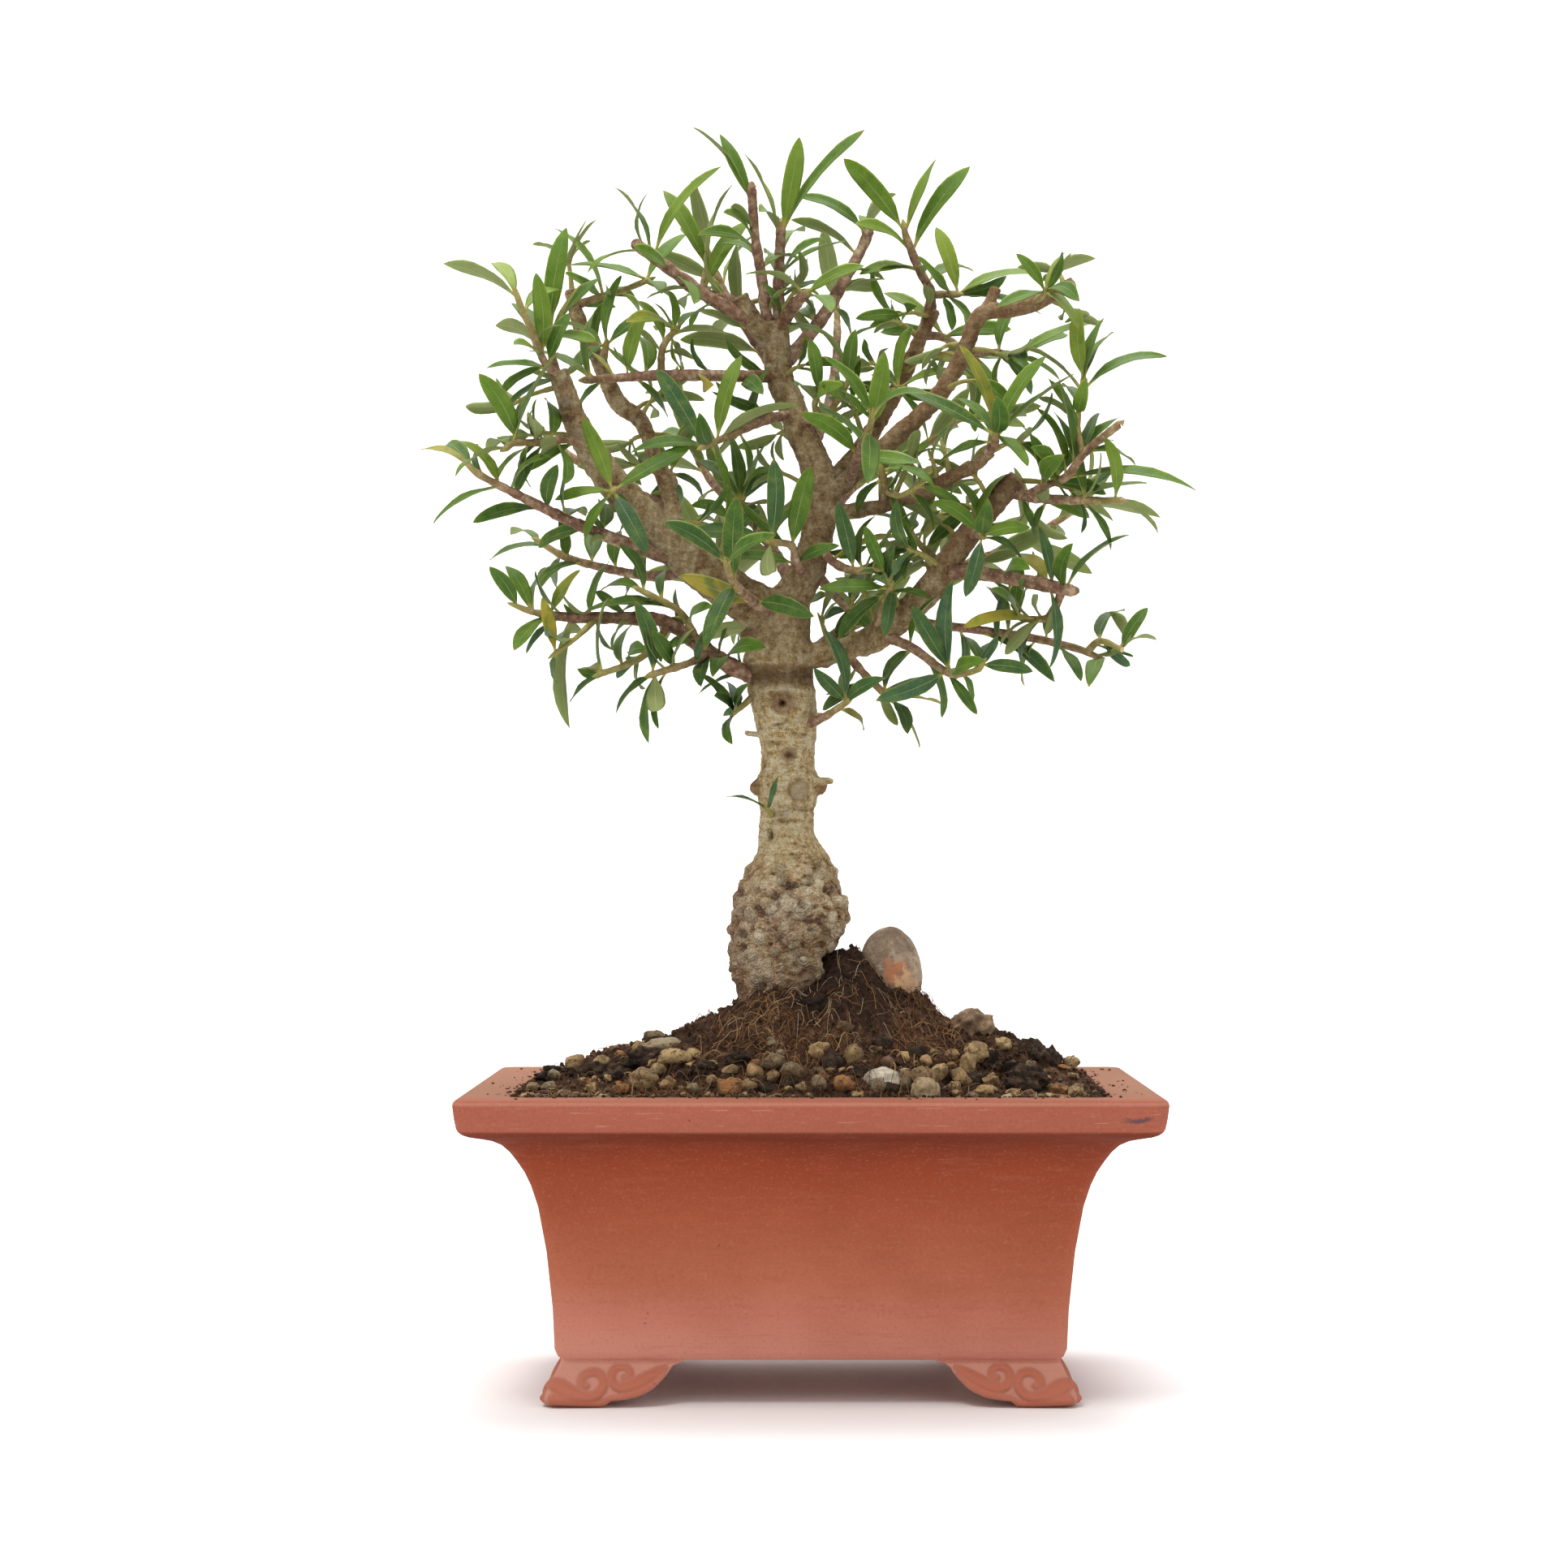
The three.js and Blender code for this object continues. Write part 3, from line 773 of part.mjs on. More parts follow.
      [1.4, -24.2, 250.4, -0.9, 0.7], [1.3, -38, 247, 0.5, 0.6], [2.9, -34, 285, 0.5, 0.5],
      [2.9, -16, 260.5, 0.7, 0.7]],
  }],
  leftBackInner: [{
    path: [[-44, 274, 8, 1.5], [-42, 276.5, 17, 1.2], [-43.5, 279.5, 24, 1]],
    leaves: [[1.9, -52.4, 262, 0.3, 0.6], [1.9, -31, 270.4, 0.4, 0.6], [1.9, -55, 295, 0.4, 0.7],
      [1.9, -36, 297, 0.4, 0.8], [1.9, -62, 283, 0.4, 0.6], [1.4, -41, 264.5, 0.7, 0.5]],
  }],
  leaderRight: [{
    path: [[-5, 296, 5, 1.6], [3.2, 296.2, -4, 1.3], [7.7, 300.8, -8, 1.1], [12.1, 308.6, -11, 0.9]],
    leaves: [[2.95, 13.7, 323, -0.3, 1], [2.9, 0.6, 325.4, 0.1, -0.6], [2.9, 16.6, 314.5, 0.9, 0.35],
      [2.9, 18.4, 303, 0.9, 0.3], [2.4, 6, 307, -0.9, 0.6], [1.4, 16.4, 290, 0.3, 0.5]],
  }, {
    path: [[2.4, 296, -4, 1.1], [1.2, 300.4, -10, 1], [2.8, 304.2, -13, 0.8]],
    leaves: [[1.9, 1, 321, 0, 0.85], [1.9, 7.4, 319.5, 0.8, 0.6], [1.9, 11.4, 303, -0.8, 0.6],
      [1.2, -4.8, 306.5, -0.9, -0.7], [1.4, 4.4, 293.2, -0.9, -0.8]],
  }],
  rightBackFan: [{
    path: [[26, 303.5, 15.5, 1.5], [26.6, 304.6, 8, 1.2], [27, 305.6, 3, 1]],
    leaves: [[1.9, 9.6, 299, -0.2, 0.45], [1.9, 49.4, 311, 0, 0.4], [1.7, 18.2, 312, 0.6, 0.85],
      [1.7, 13.7, 295.4, 0.5, 0.4], [1.5, 38, 290, 0.4, 0.6], [1.6, 30.5, 325.5, 0.5, 0.6]],
  }],
  rightMidTwig: [{
    path: [[22.6, 269.6, -11, 1.5], [22.8, 275.4, -17, 1.2], [21.8, 280.4, -21, 1]],
    leaves: [[1.95, 3.2, 300.4, -0.1, 0.6], [1.9, 31.5, 296, 0.1, 0.9], [1.7, 12.1, 278.2, 0.5, -0.4],
      [1.5, 33.4, 286, 0.4, 0.8], [1.9, 38, 277, -0.6, 0.5], [1.4, 12, 267, 0.5, 0.5]],
  }, {
    path: [[22.7, 274, -15.5, 1.1], [27.6, 272.4, -22, 0.9], [33.6, 275.8, -26, 0.8]],
    leaves: [[1.9, 40.8, 281.4, 0.6, 0.4], [1.9, 30.4, 287, 0.6, 0.3], [1.4, 38, 262, 0.3, 0.5],
      [1.9, 47, 268.5, 0.1, 0.6]],
  }],
  trunkSprout: [{
    path: [[-12, 173.6, -5, 1], [-12.6, 174.6, -9.5, 0.8], [-13.2, 175.6, -11.5, 0.7]],
    leaves: [[1.9, -25.6, 180.4, -0.2, 0.4], [1.9, -10.8, 186, -0.3, 0.7], [1.8, -8.6, 174.6, -0.4, 0.6]],
  }],
};

// leafy stems behind and beside the ones above, with leaves in crossed pairs by rule
const pairedStems = {
  backLow: {
    path: [[-8, 224, 5, 2.2], [-14, 232, 26, 1.8], [-24, 242, 44, 1.4], [-30, 252, 58, 1]],
    pairs: 4,
    seed: 3,
  },
  backLowRight: {
    path: [[0, 224, 2, 2.2], [14, 233, 24, 1.8], [30, 240, 44, 1.4], [40, 250, 58, 1]],
    pairs: 4,
    seed: 4,
  },
  backMidLeft: {
    path: [[-5, 244, 3, 2.1], [-16, 262, 28, 1.8], [-30, 276, 48, 1.4], [-38, 290, 60, 1]],
    pairs: 4,
    seed: 5,
  },
  backMidRight: {
    path: [[2, 262, 3, 2], [14, 276, 28, 1.7], [32, 286, 48, 1.4], [46, 296, 60, 1]],
    pairs: 4,
    seed: 6,
  },
  backHigh: {
    path: [[0, 286, 4, 2], [6, 302, 26, 1.7], [8, 318, 42, 1.3], [8, 332, 52, 1]],
    pairs: 4,
    seed: 7,
  },
  backHighLeft: {
    path: [[-6, 303, 7, 1.9], [-16, 318, 26, 1.6], [-26, 334, 38, 1.3], [-32, 348, 44, 1]],
    pairs: 4,
    seed: 8,
  },
  sideRightBack: {
    path: [[38, 246, -12, 2], [56, 254, 8, 1.7], [72, 262, 26, 1.3], [84, 270, 36, 1]],
    pairs: 4,
    seed: 9,
  },
  sideLeftBack: {
    path: [[-42, 268, 6, 1.8], [-60, 276, 28, 1.5], [-76, 286, 42, 1.2], [-86, 296, 48, 1]],
    pairs: 4,
    seed: 10,
  },
  frontLow: {
    path: [[-12, 236, -3, 1.9], [-18, 240, -30, 1.6], [-24, 246, -50, 1.2], [-26, 252, -60, 1]],
    pairs: 3,
    seed: 12,
  },
  frontHigh: {
    path: [[12, 277, -5, 1.7], [15, 286, -30, 1.4], [18, 293, -48, 1.1], [19, 298, -56, 0.9]],
    pairs: 3,
    seed: 13,
  },
};

// a leaf: a folded blade on a short stalk, arched back a little, from a root point to its tip
function leafBlade(root, tip, normal, width, grow = 0) {
  const span = tip.clone().sub(root);
  const length = span.length();
  const along = span.clone().normalize();
  const side = along.clone().cross(normal).normalize();
  const bow = 0.07 * length;
  const stations = [
    [0.36, 1],
    [0.72, 0.74],
  ];
  const point = (t, across, up) => root.clone()
    .addScaledVector(span, t)
    .addScaledVector(normal, 4 * bow * t * (1 - t) + up)
    .addScaledVector(side, across);
  const rings = stations.map(([t, broad]) => {
    const half = (broad * width) / 2 + grow;
    const up = leafThick / 2 + grow;
    return [point(t, half, up), point(t, -half, up), point(t, 0, -up)];
  });
  const points = [point(0, 0, 0), ...rings.flat(), point(1 + grow / length, 0, 0)];
  const tipIndex = points.length - 1;
  const faces = [];
  for (let k = 0; k < 3; k += 1) {
    const next = (k + 1) % 3;
    faces.push(0, 1 + k, 1 + next);
    faces.push(4 + k, tipIndex, 4 + next);
    faces.push(1 + k, 4 + k, 4 + next);
    faces.push(1 + k, 4 + next, 1 + next);
  }
  return solidFrom(points, faces);
}

// the way a leaf faces when it is turned from the viewer by so much that it shows only part of
// its breadth
function seenNormal(root, tip, face) {
  const along = tip.clone().sub(root).normalize();
  const toViewer = new THREE.Vector3(-root.x, -sightDistance - root.y, sightHeight - root.z).normalize();
  const front = toViewer.clone().addScaledVector(along, -toViewer.dot(along)).normalize();
  const edge = along.clone().cross(front).normalize();
  const upward = edge.z >= 0 ? 1 : -1;
  const turn = Math.acos(Math.min(1, Math.abs(face)));
  const across = edge.multiplyScalar(upward * Math.sin(turn));
  return front.multiplyScalar(Math.cos(turn) * Math.sign(face)).add(across);
}

// the root of a leaf is sunk in the side of its stem that looks towards the tip
function leafRoot({ points, radii }, along, tip) {
  const low = Math.min(Math.floor(along), points.length - 2);
  const axisPoint = points[low].clone().lerp(points[low + 1], along - low);
  const forward = points[low + 1].clone().sub(points[low]).normalize();
  const out = tip.clone().sub(axisPoint);
  out.addScaledVector(forward, -out.dot(forward)).normalize();
  const radius = radii[low] + (radii[low + 1] - radii[low]) * (along - low);
  return axisPoint.addScaledVector(out, rootDepth * radius);
}

function tracedLeaves(route, leaves) {
  return leaves.map(([along, across, height, lean, face]) => {
    const root = leafRoot(route, along, seen([across, height, route.points[0].y]));
    const flat = seen([across, height, root.y]);
    const missing = Math.sqrt(Math.max(0, leafLength ** 2 - flat.distanceToSquared(root)));
    const tip = seen([across, height, root.y + lean * missing]);
    return { root, tip, normalAt: (bentTip) => seenNormal(root, bentTip, face) };
  });
}

// opposite leaves in pairs, each pair turned a quarter from the one before
function pairedLeaves(route, pairs, random) {
  const { points } = route;
  const leaves = [];
  const last = points.length - 1;
  for (let pair = 0; pair < pairs; pair += 1) {
    const along = (0.3 + (0.69 * pair) / (pairs - 1)) * last;
    const low = Math.min(Math.floor(along), last - 1);
    const forward = points[low + 1].clone().sub(points[low]).normalize();
    const level = forward.clone().cross(new THREE.Vector3(0, 0, 1)).normalize();
    const upright = level.clone().cross(forward).normalize();
    const quarter = (pair % 2) * 0.5 * Math.PI + 0.4 + 0.5 * (random() - 0.5);
    const axis = level.clone().multiplyScalar(Math.cos(quarter));
    axis.addScaledVector(upright, Math.sin(quarter));
    [1, -1].forEach((hand) => {
      const open = (pair === pairs - 1 ? 0.6 : 0.95) + 0.3 * (random() - 0.5);
      const length = leafLength * (0.88 + 0.22 * random());
      const way = forward.clone().multiplyScalar(Math.cos(open));
      way.addScaledVector(axis, hand * Math.sin(open));
      const centre = points[low].clone().lerp(points[low + 1], along - low);
      const root = leafRoot(route, along, centre.clone().add(way));
      const tip = root.clone().addScaledVector(way, length);
      const normalAt = (bentTip) => {
        const bentWay = bentTip.clone().sub(root).normalize();
        return forward.clone().addScaledVector(bentWay, -forward.dot(bentWay)).normalize();
      };
      leaves.push({ root, tip, normalAt });
    });
  }
  return leaves;
}

// ways to bend a leaf clear of what it would cross: towards the back, across and up
const bends = [
  [0, 0, 0], [3, 0, 0], [-3, 0, 0], [6, 0, 0], [-6, 0, 0], [0, 2.5, 1], [0, -2.5, -1], [9, 0, 0],
  [-9, 0, 0], [5, 2, -2], [-5, -2, 2], [13, 0, 0], [-13, 0, 0], [8, 4, 3], [-8, -4, 3],
  [8, -4, -3], [-8, 4, -3], [18, 0, 0], [-18, 0, 0],
];

function pieceOf(node, solid) {
  return { node, solid, box: solid.boundingBox() };
}

function near(box, other) {
  return [0, 1, 2].every((k) => box.min[k] <= other.max[k] && other.min[k] <= box.max[k]);
}

function crosses(solid, pieces) {
  const box = solid.boundingBox();
  return pieces.some((piece) => near(box, piece.box) && !solid.intersect(piece.solid).isEmpty());
}

function nameSeed(name) {
  return [...name].reduce((sum, letter) => (sum * 31 + letter.charCodeAt(0)) % 65521, 7);
}

// the leafy stems one by one; a leaf is kept in the first pose that clears all that stands already
function leafyStemSolids(woodPieces, standing) {
  const plans = Object.entries(leafyStems).map(([node, branches]) => {
    const random = seededRun(nameSeed(node));
    const routes = branches.map(({ path }) => routeOf(path));
    const leaves = branches.flatMap((branch, i) => tracedLeaves(routes[i], branch.leaves));
    return { node, routes, leaves, random };
  });
  Object.entries(pairedStems).forEach(([node, { path, pairs, seed }]) => {
    const random = seededRun(seed);
    const route = routeOf(path);
    plans.push({ node, routes: [route], leaves: pairedLeaves(route, pairs, random), random });
  });
  const placed = [...woodPieces, ...standing];
  plans.forEach((plan) => {
    plan.stems = plan.routes.map(({ points, radii }) => stem(points, radii, twigSides));
    plan.stems.forEach((solid) => placed.push(pieceOf(plan.node, solid)));
  });
  const grownWood = treeWood(clearance);
  return plans.map(({ node, leaves, stems, random }) => {
    const blades = [];
    leaves.forEach(({ root, tip, normalAt }) => {
      const reach = Math.min(1.06, 0.35 + (0.65 * tip.distanceTo(root)) / leafLength);
      const width = leafWidth * (0.92 + 0.16 * random()) * reach;
      const bend = bends.find(([back, across, up]) => {
        const bentTip = tip.clone().add(new THREE.Vector3(across, back, up));
        const normal = normalAt(bentTip);
        const whole = leafBlade(root, bentTip, normal, width, clearance);
        const outer = leafBlade(root.clone().lerp(bentTip, 0.22), bentTip, normal, width, clearance);
        const others = placed.filter((piece) => piece.node !== node);
        const own = placed.filter((piece) => piece.node === node);
        return !crosses(whole, others) && !crosses(outer, own);
      });
      if (bend) {
        const bentTip = tip.clone().add(new THREE.Vector3(bend[1], bend[0], bend[2]));
        const blade = leafBlade(root, bentTip, normalAt(bentTip), width);
        blades.push(blade);
        placed.push(pieceOf(node, blade));
      }
    });
    const wood = mainBody(joined(stems).subtract(grownWood));
    return { node, solid: mainBody(joined([wood, ...blades])), asked: leaves.length, kept: blades.length };
  });
}

const colours = {
  terracotta: "#b26a50",
  soil: "#3a2a22",
  bark: "#a48d68",
  stone: "#8d7f70",
  pebblePale: "#cfc8bd",
  pebbleTan: "#b8895f",
  pebbleGrey: "#a3937c",
  leaf: "#4f8a45",
};
const materials = Object.fromEntries(Object.entries(colours).map(([name, colour]) => (
  [name, new THREE.MeshStandardMaterial({ name, color: colour, roughness: name === "leaf" ? 0.45 : 0.85 })]
)));

const bonsai = new THREE.Group();
bonsai.name = "mockPrivetBonsai";

function geometryOf(solid) {
  const mesh = solid.getMesh();
  const geometry = new THREE.BufferGeometry();
  geometry.setAttribute("position", new THREE.BufferAttribute(new Float32Array(mesh.vertProperties), 3));
  geometry.setIndex(new THREE.BufferAttribute(new Uint32Array(mesh.triVerts), 1));
  return geometry;
}

// corners that nearly touch are made one, and the crumbs that this leaves loose are dropped
function settled(solid) {
  let body = mainBody(solid.simplify(shortestEdge));
  for (let round = 0; round < 3; round += 1) {
    const geometry = geometryOf(body);
    const position = geometry.attributes.position;
    position.array.forEach((value, i) => {
      position.array[i] = Math.round(value / cornerGrid) * cornerGrid;
    });
    body = mainBody(solidFromGeometry(mergeVertices(geometry, cornerGrid)));
  }
  return body;
}

function addPart(name, solid, material) {
  const geometry = geometryOf(settled(solid));
  geometry.computeVertexNormals();
  const part = new THREE.Mesh(geometry, materials[material]);
  part.name = name;
  bonsai.add(part);
}

const woodPieces = treeWoodPieces(0).map((solid) => pieceOf("tree", solid));
const woodSolid = joined(woodPieces.map((piece) => piece.solid));
const soilSolid = soil(treeWood(soilClearance));
const stoneBeside = stoneSolid(besideTrunk).subtract(treeWood(clearance));
addPart("pot", pot(), "terracotta");
addPart("soil", soilSolid, "soil");
addPart("tree", woodSolid, "bark");
addPart("stoneBesideTrunk", mainBody(stoneBeside), "stone");
addPart("pebbleWhite", pebbleStone(bigPebbles.pebbleWhite), "pebblePale");
addPart("pebbleTan", pebbleStone(bigPebbles.pebbleTan), "pebbleTan");
addPart("pebbleGrey", pebbleStone(bigPebbles.pebbleGrey), "pebbleGrey");
addPart("pebbleLong", pebbleStone(bigPebbles.pebbleLong), "pebblePale");
leafyStemSolids(woodPieces, [pieceOf("soil", soilSolid)]).forEach(({ node, solid }) => {
  addPart(`leafy${node[0].toUpperCase()}${node.slice(1)}`, solid, "leaf");
});

export default bonsai;
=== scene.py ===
# A narrow-leaved mock privet bonsai in its clay pot, dressed over its solid model.
import math
import bmesh
import bpy
import numpy as np
from mathutils import Matrix, Vector, kdtree, noise


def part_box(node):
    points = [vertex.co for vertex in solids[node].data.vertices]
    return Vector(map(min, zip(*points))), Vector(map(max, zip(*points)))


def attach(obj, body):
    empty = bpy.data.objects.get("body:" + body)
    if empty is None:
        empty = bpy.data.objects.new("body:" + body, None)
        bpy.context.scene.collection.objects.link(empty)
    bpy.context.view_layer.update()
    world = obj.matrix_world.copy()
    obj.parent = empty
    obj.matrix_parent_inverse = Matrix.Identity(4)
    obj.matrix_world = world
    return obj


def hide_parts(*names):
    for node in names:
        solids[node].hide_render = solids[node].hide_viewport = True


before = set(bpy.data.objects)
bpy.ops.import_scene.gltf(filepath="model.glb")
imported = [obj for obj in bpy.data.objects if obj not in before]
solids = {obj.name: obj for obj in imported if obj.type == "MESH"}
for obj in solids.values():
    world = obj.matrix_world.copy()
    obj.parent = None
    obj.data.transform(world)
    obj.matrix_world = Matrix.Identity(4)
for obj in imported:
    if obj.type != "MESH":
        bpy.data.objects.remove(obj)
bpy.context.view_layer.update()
mm = 0.001
up = Vector((0, 0, 1))
print("frame loaded:", len(solids), "solids")

# the photographer's eye: level, straight in front of the trunk
view = {"distance": 978.0, "height": 161.3, "lens": 72.9, "shiftX": -0.01708, "shiftY": 0.04607}


def seen(place):
    # a place measured as across, height and depth, moved onto its line of sight
    across, height, depth = place[:3]
    reach = 1 + depth / view["distance"]
    return Vector((across * reach, depth, view["height"] + (height - view["height"]) * reach))


def seededRun(seed):
    # the same run of numbers that placed the leaves of the solid model
    state = [seed & 0xFFFFFFFF]

    def draw():
        state[0] = (state[0] + 0x6D2B79F5) & 0xFFFFFFFF
        mixed = ((state[0] ^ (state[0] >> 15)) * (state[0] | 1)) & 0xFFFFFFFF
        mixed = ((mixed + ((mixed ^ (mixed >> 7)) * (mixed | 61))) & 0xFFFFFFFF) ^ mixed
        return (mixed ^ (mixed >> 14)) / 4294967296
    return draw


# small helpers for node trees, used by the shapes and the materials alike; they add to the tree at hand
atHand = {"tree": None}


def addNode(kind, inputs=None, **settings):
    tree = atHand["tree"]
    made = tree.nodes.new(kind)
    for key, value in settings.items():
        setattr(made, key, value)
    for key, value in (inputs or {}).items():
        if isinstance(value, bpy.types.NodeSocket):
            tree.links.new(value, made.inputs[key])
        else:
            made.inputs[key].default_value = value
    return made


def valueOf(kind, inputs=None, **settings):
    return addNode(kind, inputs, **settings).outputs[0]


def calc(operation, *values):
    return valueOf("ShaderNodeMath", dict(enumerate(values)), operation=operation)


def chained(operation):
    def run(value, *others):
        for other in others:
            value = calc(operation, value, other)
        return value
    return run


times, plus, minus = chained("MULTIPLY"), chained("ADD"), chained("SUBTRACT")


def vec(operation, a, b):
    # with two vectors, or with a vector and a number for SCALE
    other = "Scale" if operation == "SCALE" else 1
    made = addNode("ShaderNodeVectorMath", {0: a, other: b}, operation=operation)
    return made.outputs["Value" if operation == "DISTANCE" else "Vector"]


def ease(value, low, high, toLow=0, toHigh=1):
    return valueOf("ShaderNodeMapRange", {0: value, 1: low, 2: high, 3: toLow, 4: toHigh},
                   interpolation_type="SMOOTHSTEP")


def between(value, low, lowFull, highFull, high):
    # 1 where a value lies between two others, easing off on both sides
    return times(ease(value, low, lowFull), ease(value, high, highFull))


def awayFrom(value, middle):
    return calc("ABSOLUTE", minus(value, middle))


def summed(*terms):
    # adds up values, each with its own weight
    return plus(*[times(value, weight) for value, weight in terms])


def curveOf(value, points):
    made = addNode("ShaderNodeFloatCurve", {1: value})
    line = made.mapping.curves[0]
    line.points[0].location = points[0]
    line.points[1].location = points[-1]
    for place in points[1:-1]:
        line.points.new(*place)
    made.mapping.update()
    return made.outputs[0]


def partsOf(place):
    # across, depth and height of a place
    return addNode("ShaderNodeSeparateXYZ", {0: place}).outputs


def noiseOf(place, scale, detail=4, roughness=0.55, distortion=0):
    return valueOf("ShaderNodeTexNoise", {"Vector": place, "Scale": scale, "Detail": detail, "Roughness": roughness,
                                          "Distortion": distortion})


def cellsOf(place, scale, output=0):
    return addNode("ShaderNodeTexVoronoi", {"Vector": place, "Scale": scale}).outputs[output]


def warpedBy(place):
    # pushes places about a little, so that cells and lines in the bark don't look drawn
    shift = addNode("ShaderNodeTexNoise", {"Vector": place, "Scale": 200, "Detail": 3}).outputs[1]
    return vec("ADD", place, vec("SCALE", shift, 0.0026))


def stretched(place, scale):
    return valueOf("ShaderNodeMapping", {"Vector": place, "Scale": scale})


def factorOf(name):
    return addNode("ShaderNodeAttribute", attribute_name=name).outputs["Fac"]


# geometry trees: a shape, named sizes and a material go in, a shape comes out
def newShapeTree(name, sizes):
    tree = atHand["tree"] = bpy.data.node_groups.new(name, "GeometryNodeTree")
    tree.interface.new_socket(name="Geometry", in_out="OUTPUT", socket_type="NodeSocketGeometry")
    kinds = {"Geometry": "Geometry"}
    for label, value in sizes.items():
        kinds[label] = {int: "Int", float: "Float"}.get(type(value), "Collection")
    kinds["Material"] = "Material"
    for label, kind in kinds.items():
        socket = tree.interface.new_socket(name=label, in_out="INPUT", socket_type="NodeSocket" + kind)
        if kind in ("Int", "Float"):
            socket.default_value = sizes[label]
    return addNode("NodeGroupInput").outputs


def finishTree(given, shape, softly=True):
    # ends a geometry tree in one plain shape that wears the given material
    if softly:
        shape = valueOf("GeometryNodeSetShadeSmooth", {"Geometry": shape})
    real = valueOf("GeometryNodeRealizeInstances", {0: shape})
    skin = valueOf("GeometryNodeSetMaterial", {"Geometry": real, "Material": given["Material"]})
    addNode("NodeGroupOutput", {0: skin})
    return atHand["tree"]


def stored(name, kind="FLOAT"):
    return valueOf("GeometryNodeInputNamedAttribute", {0: name}, data_type=kind)


def store(shape, name, value):
    return valueOf("GeometryNodeStoreNamedAttribute", {"Geometry": shape, "Name": name, "Value": value},
                   data_type="FLOAT", domain="POINT")


# meshes and objects
def applyModifiers(piece):
    # keeps what the modifiers of a piece make as its plain mesh
    bpy.context.view_layer.update()
    shown = piece.evaluated_get(bpy.context.evaluated_depsgraph_get())
    mesh = bpy.data.meshes.new_from_object(shown)
    piece.modifiers.clear()
    piece.data = mesh


def grow(piece, tree, sizes, material):
    # runs a geometry tree on a piece and keeps the result as a plain mesh; sizes are whole numbers or
    # decimal ones, as the tree's own are
    modifier = piece.modifiers.new(tree.name, "NODES")
    modifier.node_group = tree
    values = {**sizes, "Material": material}
    for socket in tree.interface.items_tree:
        if socket.in_out == "INPUT" and socket.name in values:
            modifier[socket.identifier] = values[socket.name]
    applyModifiers(piece)
    if not piece.data.materials:
        piece.data.materials.append(material)
    return piece


def fuse(piece, voxel, rounds):
    # one closed skin over all that a piece holds, calmed a little
    skin = piece.modifiers.new("fuse", "REMESH")
    skin.mode = "VOXEL"
    skin.voxel_size = voxel
    calm = piece.modifiers.new("calm", "SMOOTH")
    calm.factor = 0.5
    calm.iterations = rounds
    applyModifiers(piece)


def placed(name, data):
    piece = bpy.data.objects.new(name, data)
    bpy.context.scene.collection.objects.link(piece)
    return piece


def meshFrom(name, shape):
    # a new mesh from a finished shape in hand, which is let go
    mesh = bpy.data.meshes.new(name)
    shape.to_mesh(mesh)
    shape.free()
    return mesh


def meshPiece(name, points, edges=(), faces=()):
    # a new object from points in metres
    mesh = bpy.data.meshes.new(name)
    mesh.from_pydata([tuple(p) for p in points], list(edges), list(faces))
    mesh.update()
    return placed(name, mesh)


def mergePieces(first, others):
    # puts the meshes of the others into the first one and drops them
    shape = bmesh.new()
    shape.from_mesh(first.data)
    for other in others:
        shape.from_mesh(other.data)
        bpy.data.objects.remove(other)
    shape.to_mesh(first.data)
    shape.free()
    return first


def putOn(piece, label, values, kind="FLOAT"):
    # a named number or vector for each point of a piece
    layer = piece.data.attributes.new(label, kind, "POINT")
    row = np.array(values, np.int32 if kind == "INT" else np.float32)
    layer.data.foreach_set("vector" if kind == "FLOAT_VECTOR" else "value", row.ravel())


def readPlaces(rows, name="co"):
    # the places of all points as one table, three numbers to a row
    table = np.empty(len(rows) * 3, np.float32)
    rows.foreach_get(name, table)
    return table.reshape(-1, 3)


def smooth(piece):
    piece.data.polygons.foreach_set("use_smooth", [True] * len(piece.data.polygons))
    piece.data.update()


# materials
def skinOf(material):
    return material.node_tree.nodes["Principled BSDF"].inputs


def newMaterial(name, roughness, specular):
    # a material and the place that its patterns are laid out on
    material = bpy.data.materials.new(name)
    material.use_nodes = True
    atHand["tree"] = material.node_tree
    skin = skinOf(material)
    skin["Roughness"].default_value = roughness
    skin["Specular IOR Level"].default_value = specular
    return material, addNode("ShaderNodeTexCoord").outputs["Object"]


def dressed(material, base, height, strength, distance):
    # gives a material its colour and its fine relief
    bump = valueOf("ShaderNodeBump", {"Height": height, "Strength": strength, "Distance": distance})
    for label, value in (("Base Color", base), ("Normal", bump)):
        material.node_tree.links.new(value, skinOf(material)[label])
    return material


def colour(text):
    # a colour as it looks on a screen, such as "a8563f", as linear light
    parts = [int(text[i:i + 2], 16) / 255 for i in (0, 2, 4)]
    return tuple(p / 12.92 if p <= 0.04045 else ((p + 0.055) / 1.055) ** 2.4 for p in parts) + (1.0,)


def mixColour(factor, a, b):
    return addNode("ShaderNodeMix", {0: factor, 6: a, 7: b}, data_type="RGBA").outputs[2]


def coated(base, *coats):
    # lays colours over one another: each with where it shows, or with a value, the two places that
    # the value runs between and how strong the colour gets there, or with a value and its share
    for shade, value, *span in coats:
        if len(span) == 3:
            value = ease(value, span[0], span[1], 0, span[2])
        elif span:
            value = times(value, span[0])
        base = mixColour(value, base, colour(shade))
    return base


def rampOf(value, *stops, constant=False):
    # a run of colours, each given as place and shade; the first two are the ends
    made = addNode("ShaderNodeValToRGB", {0: value})
    ramp = made.color_ramp
    ramp.interpolation = "CONSTANT" if constant else "LINEAR"
    for k, (at, shade) in enumerate(stops):
        stop = ramp.elements[k] if k < 2 else ramp.elements.new(at)
        stop.position = at
        stop.color = colour(shade)
    return made.outputs[0]


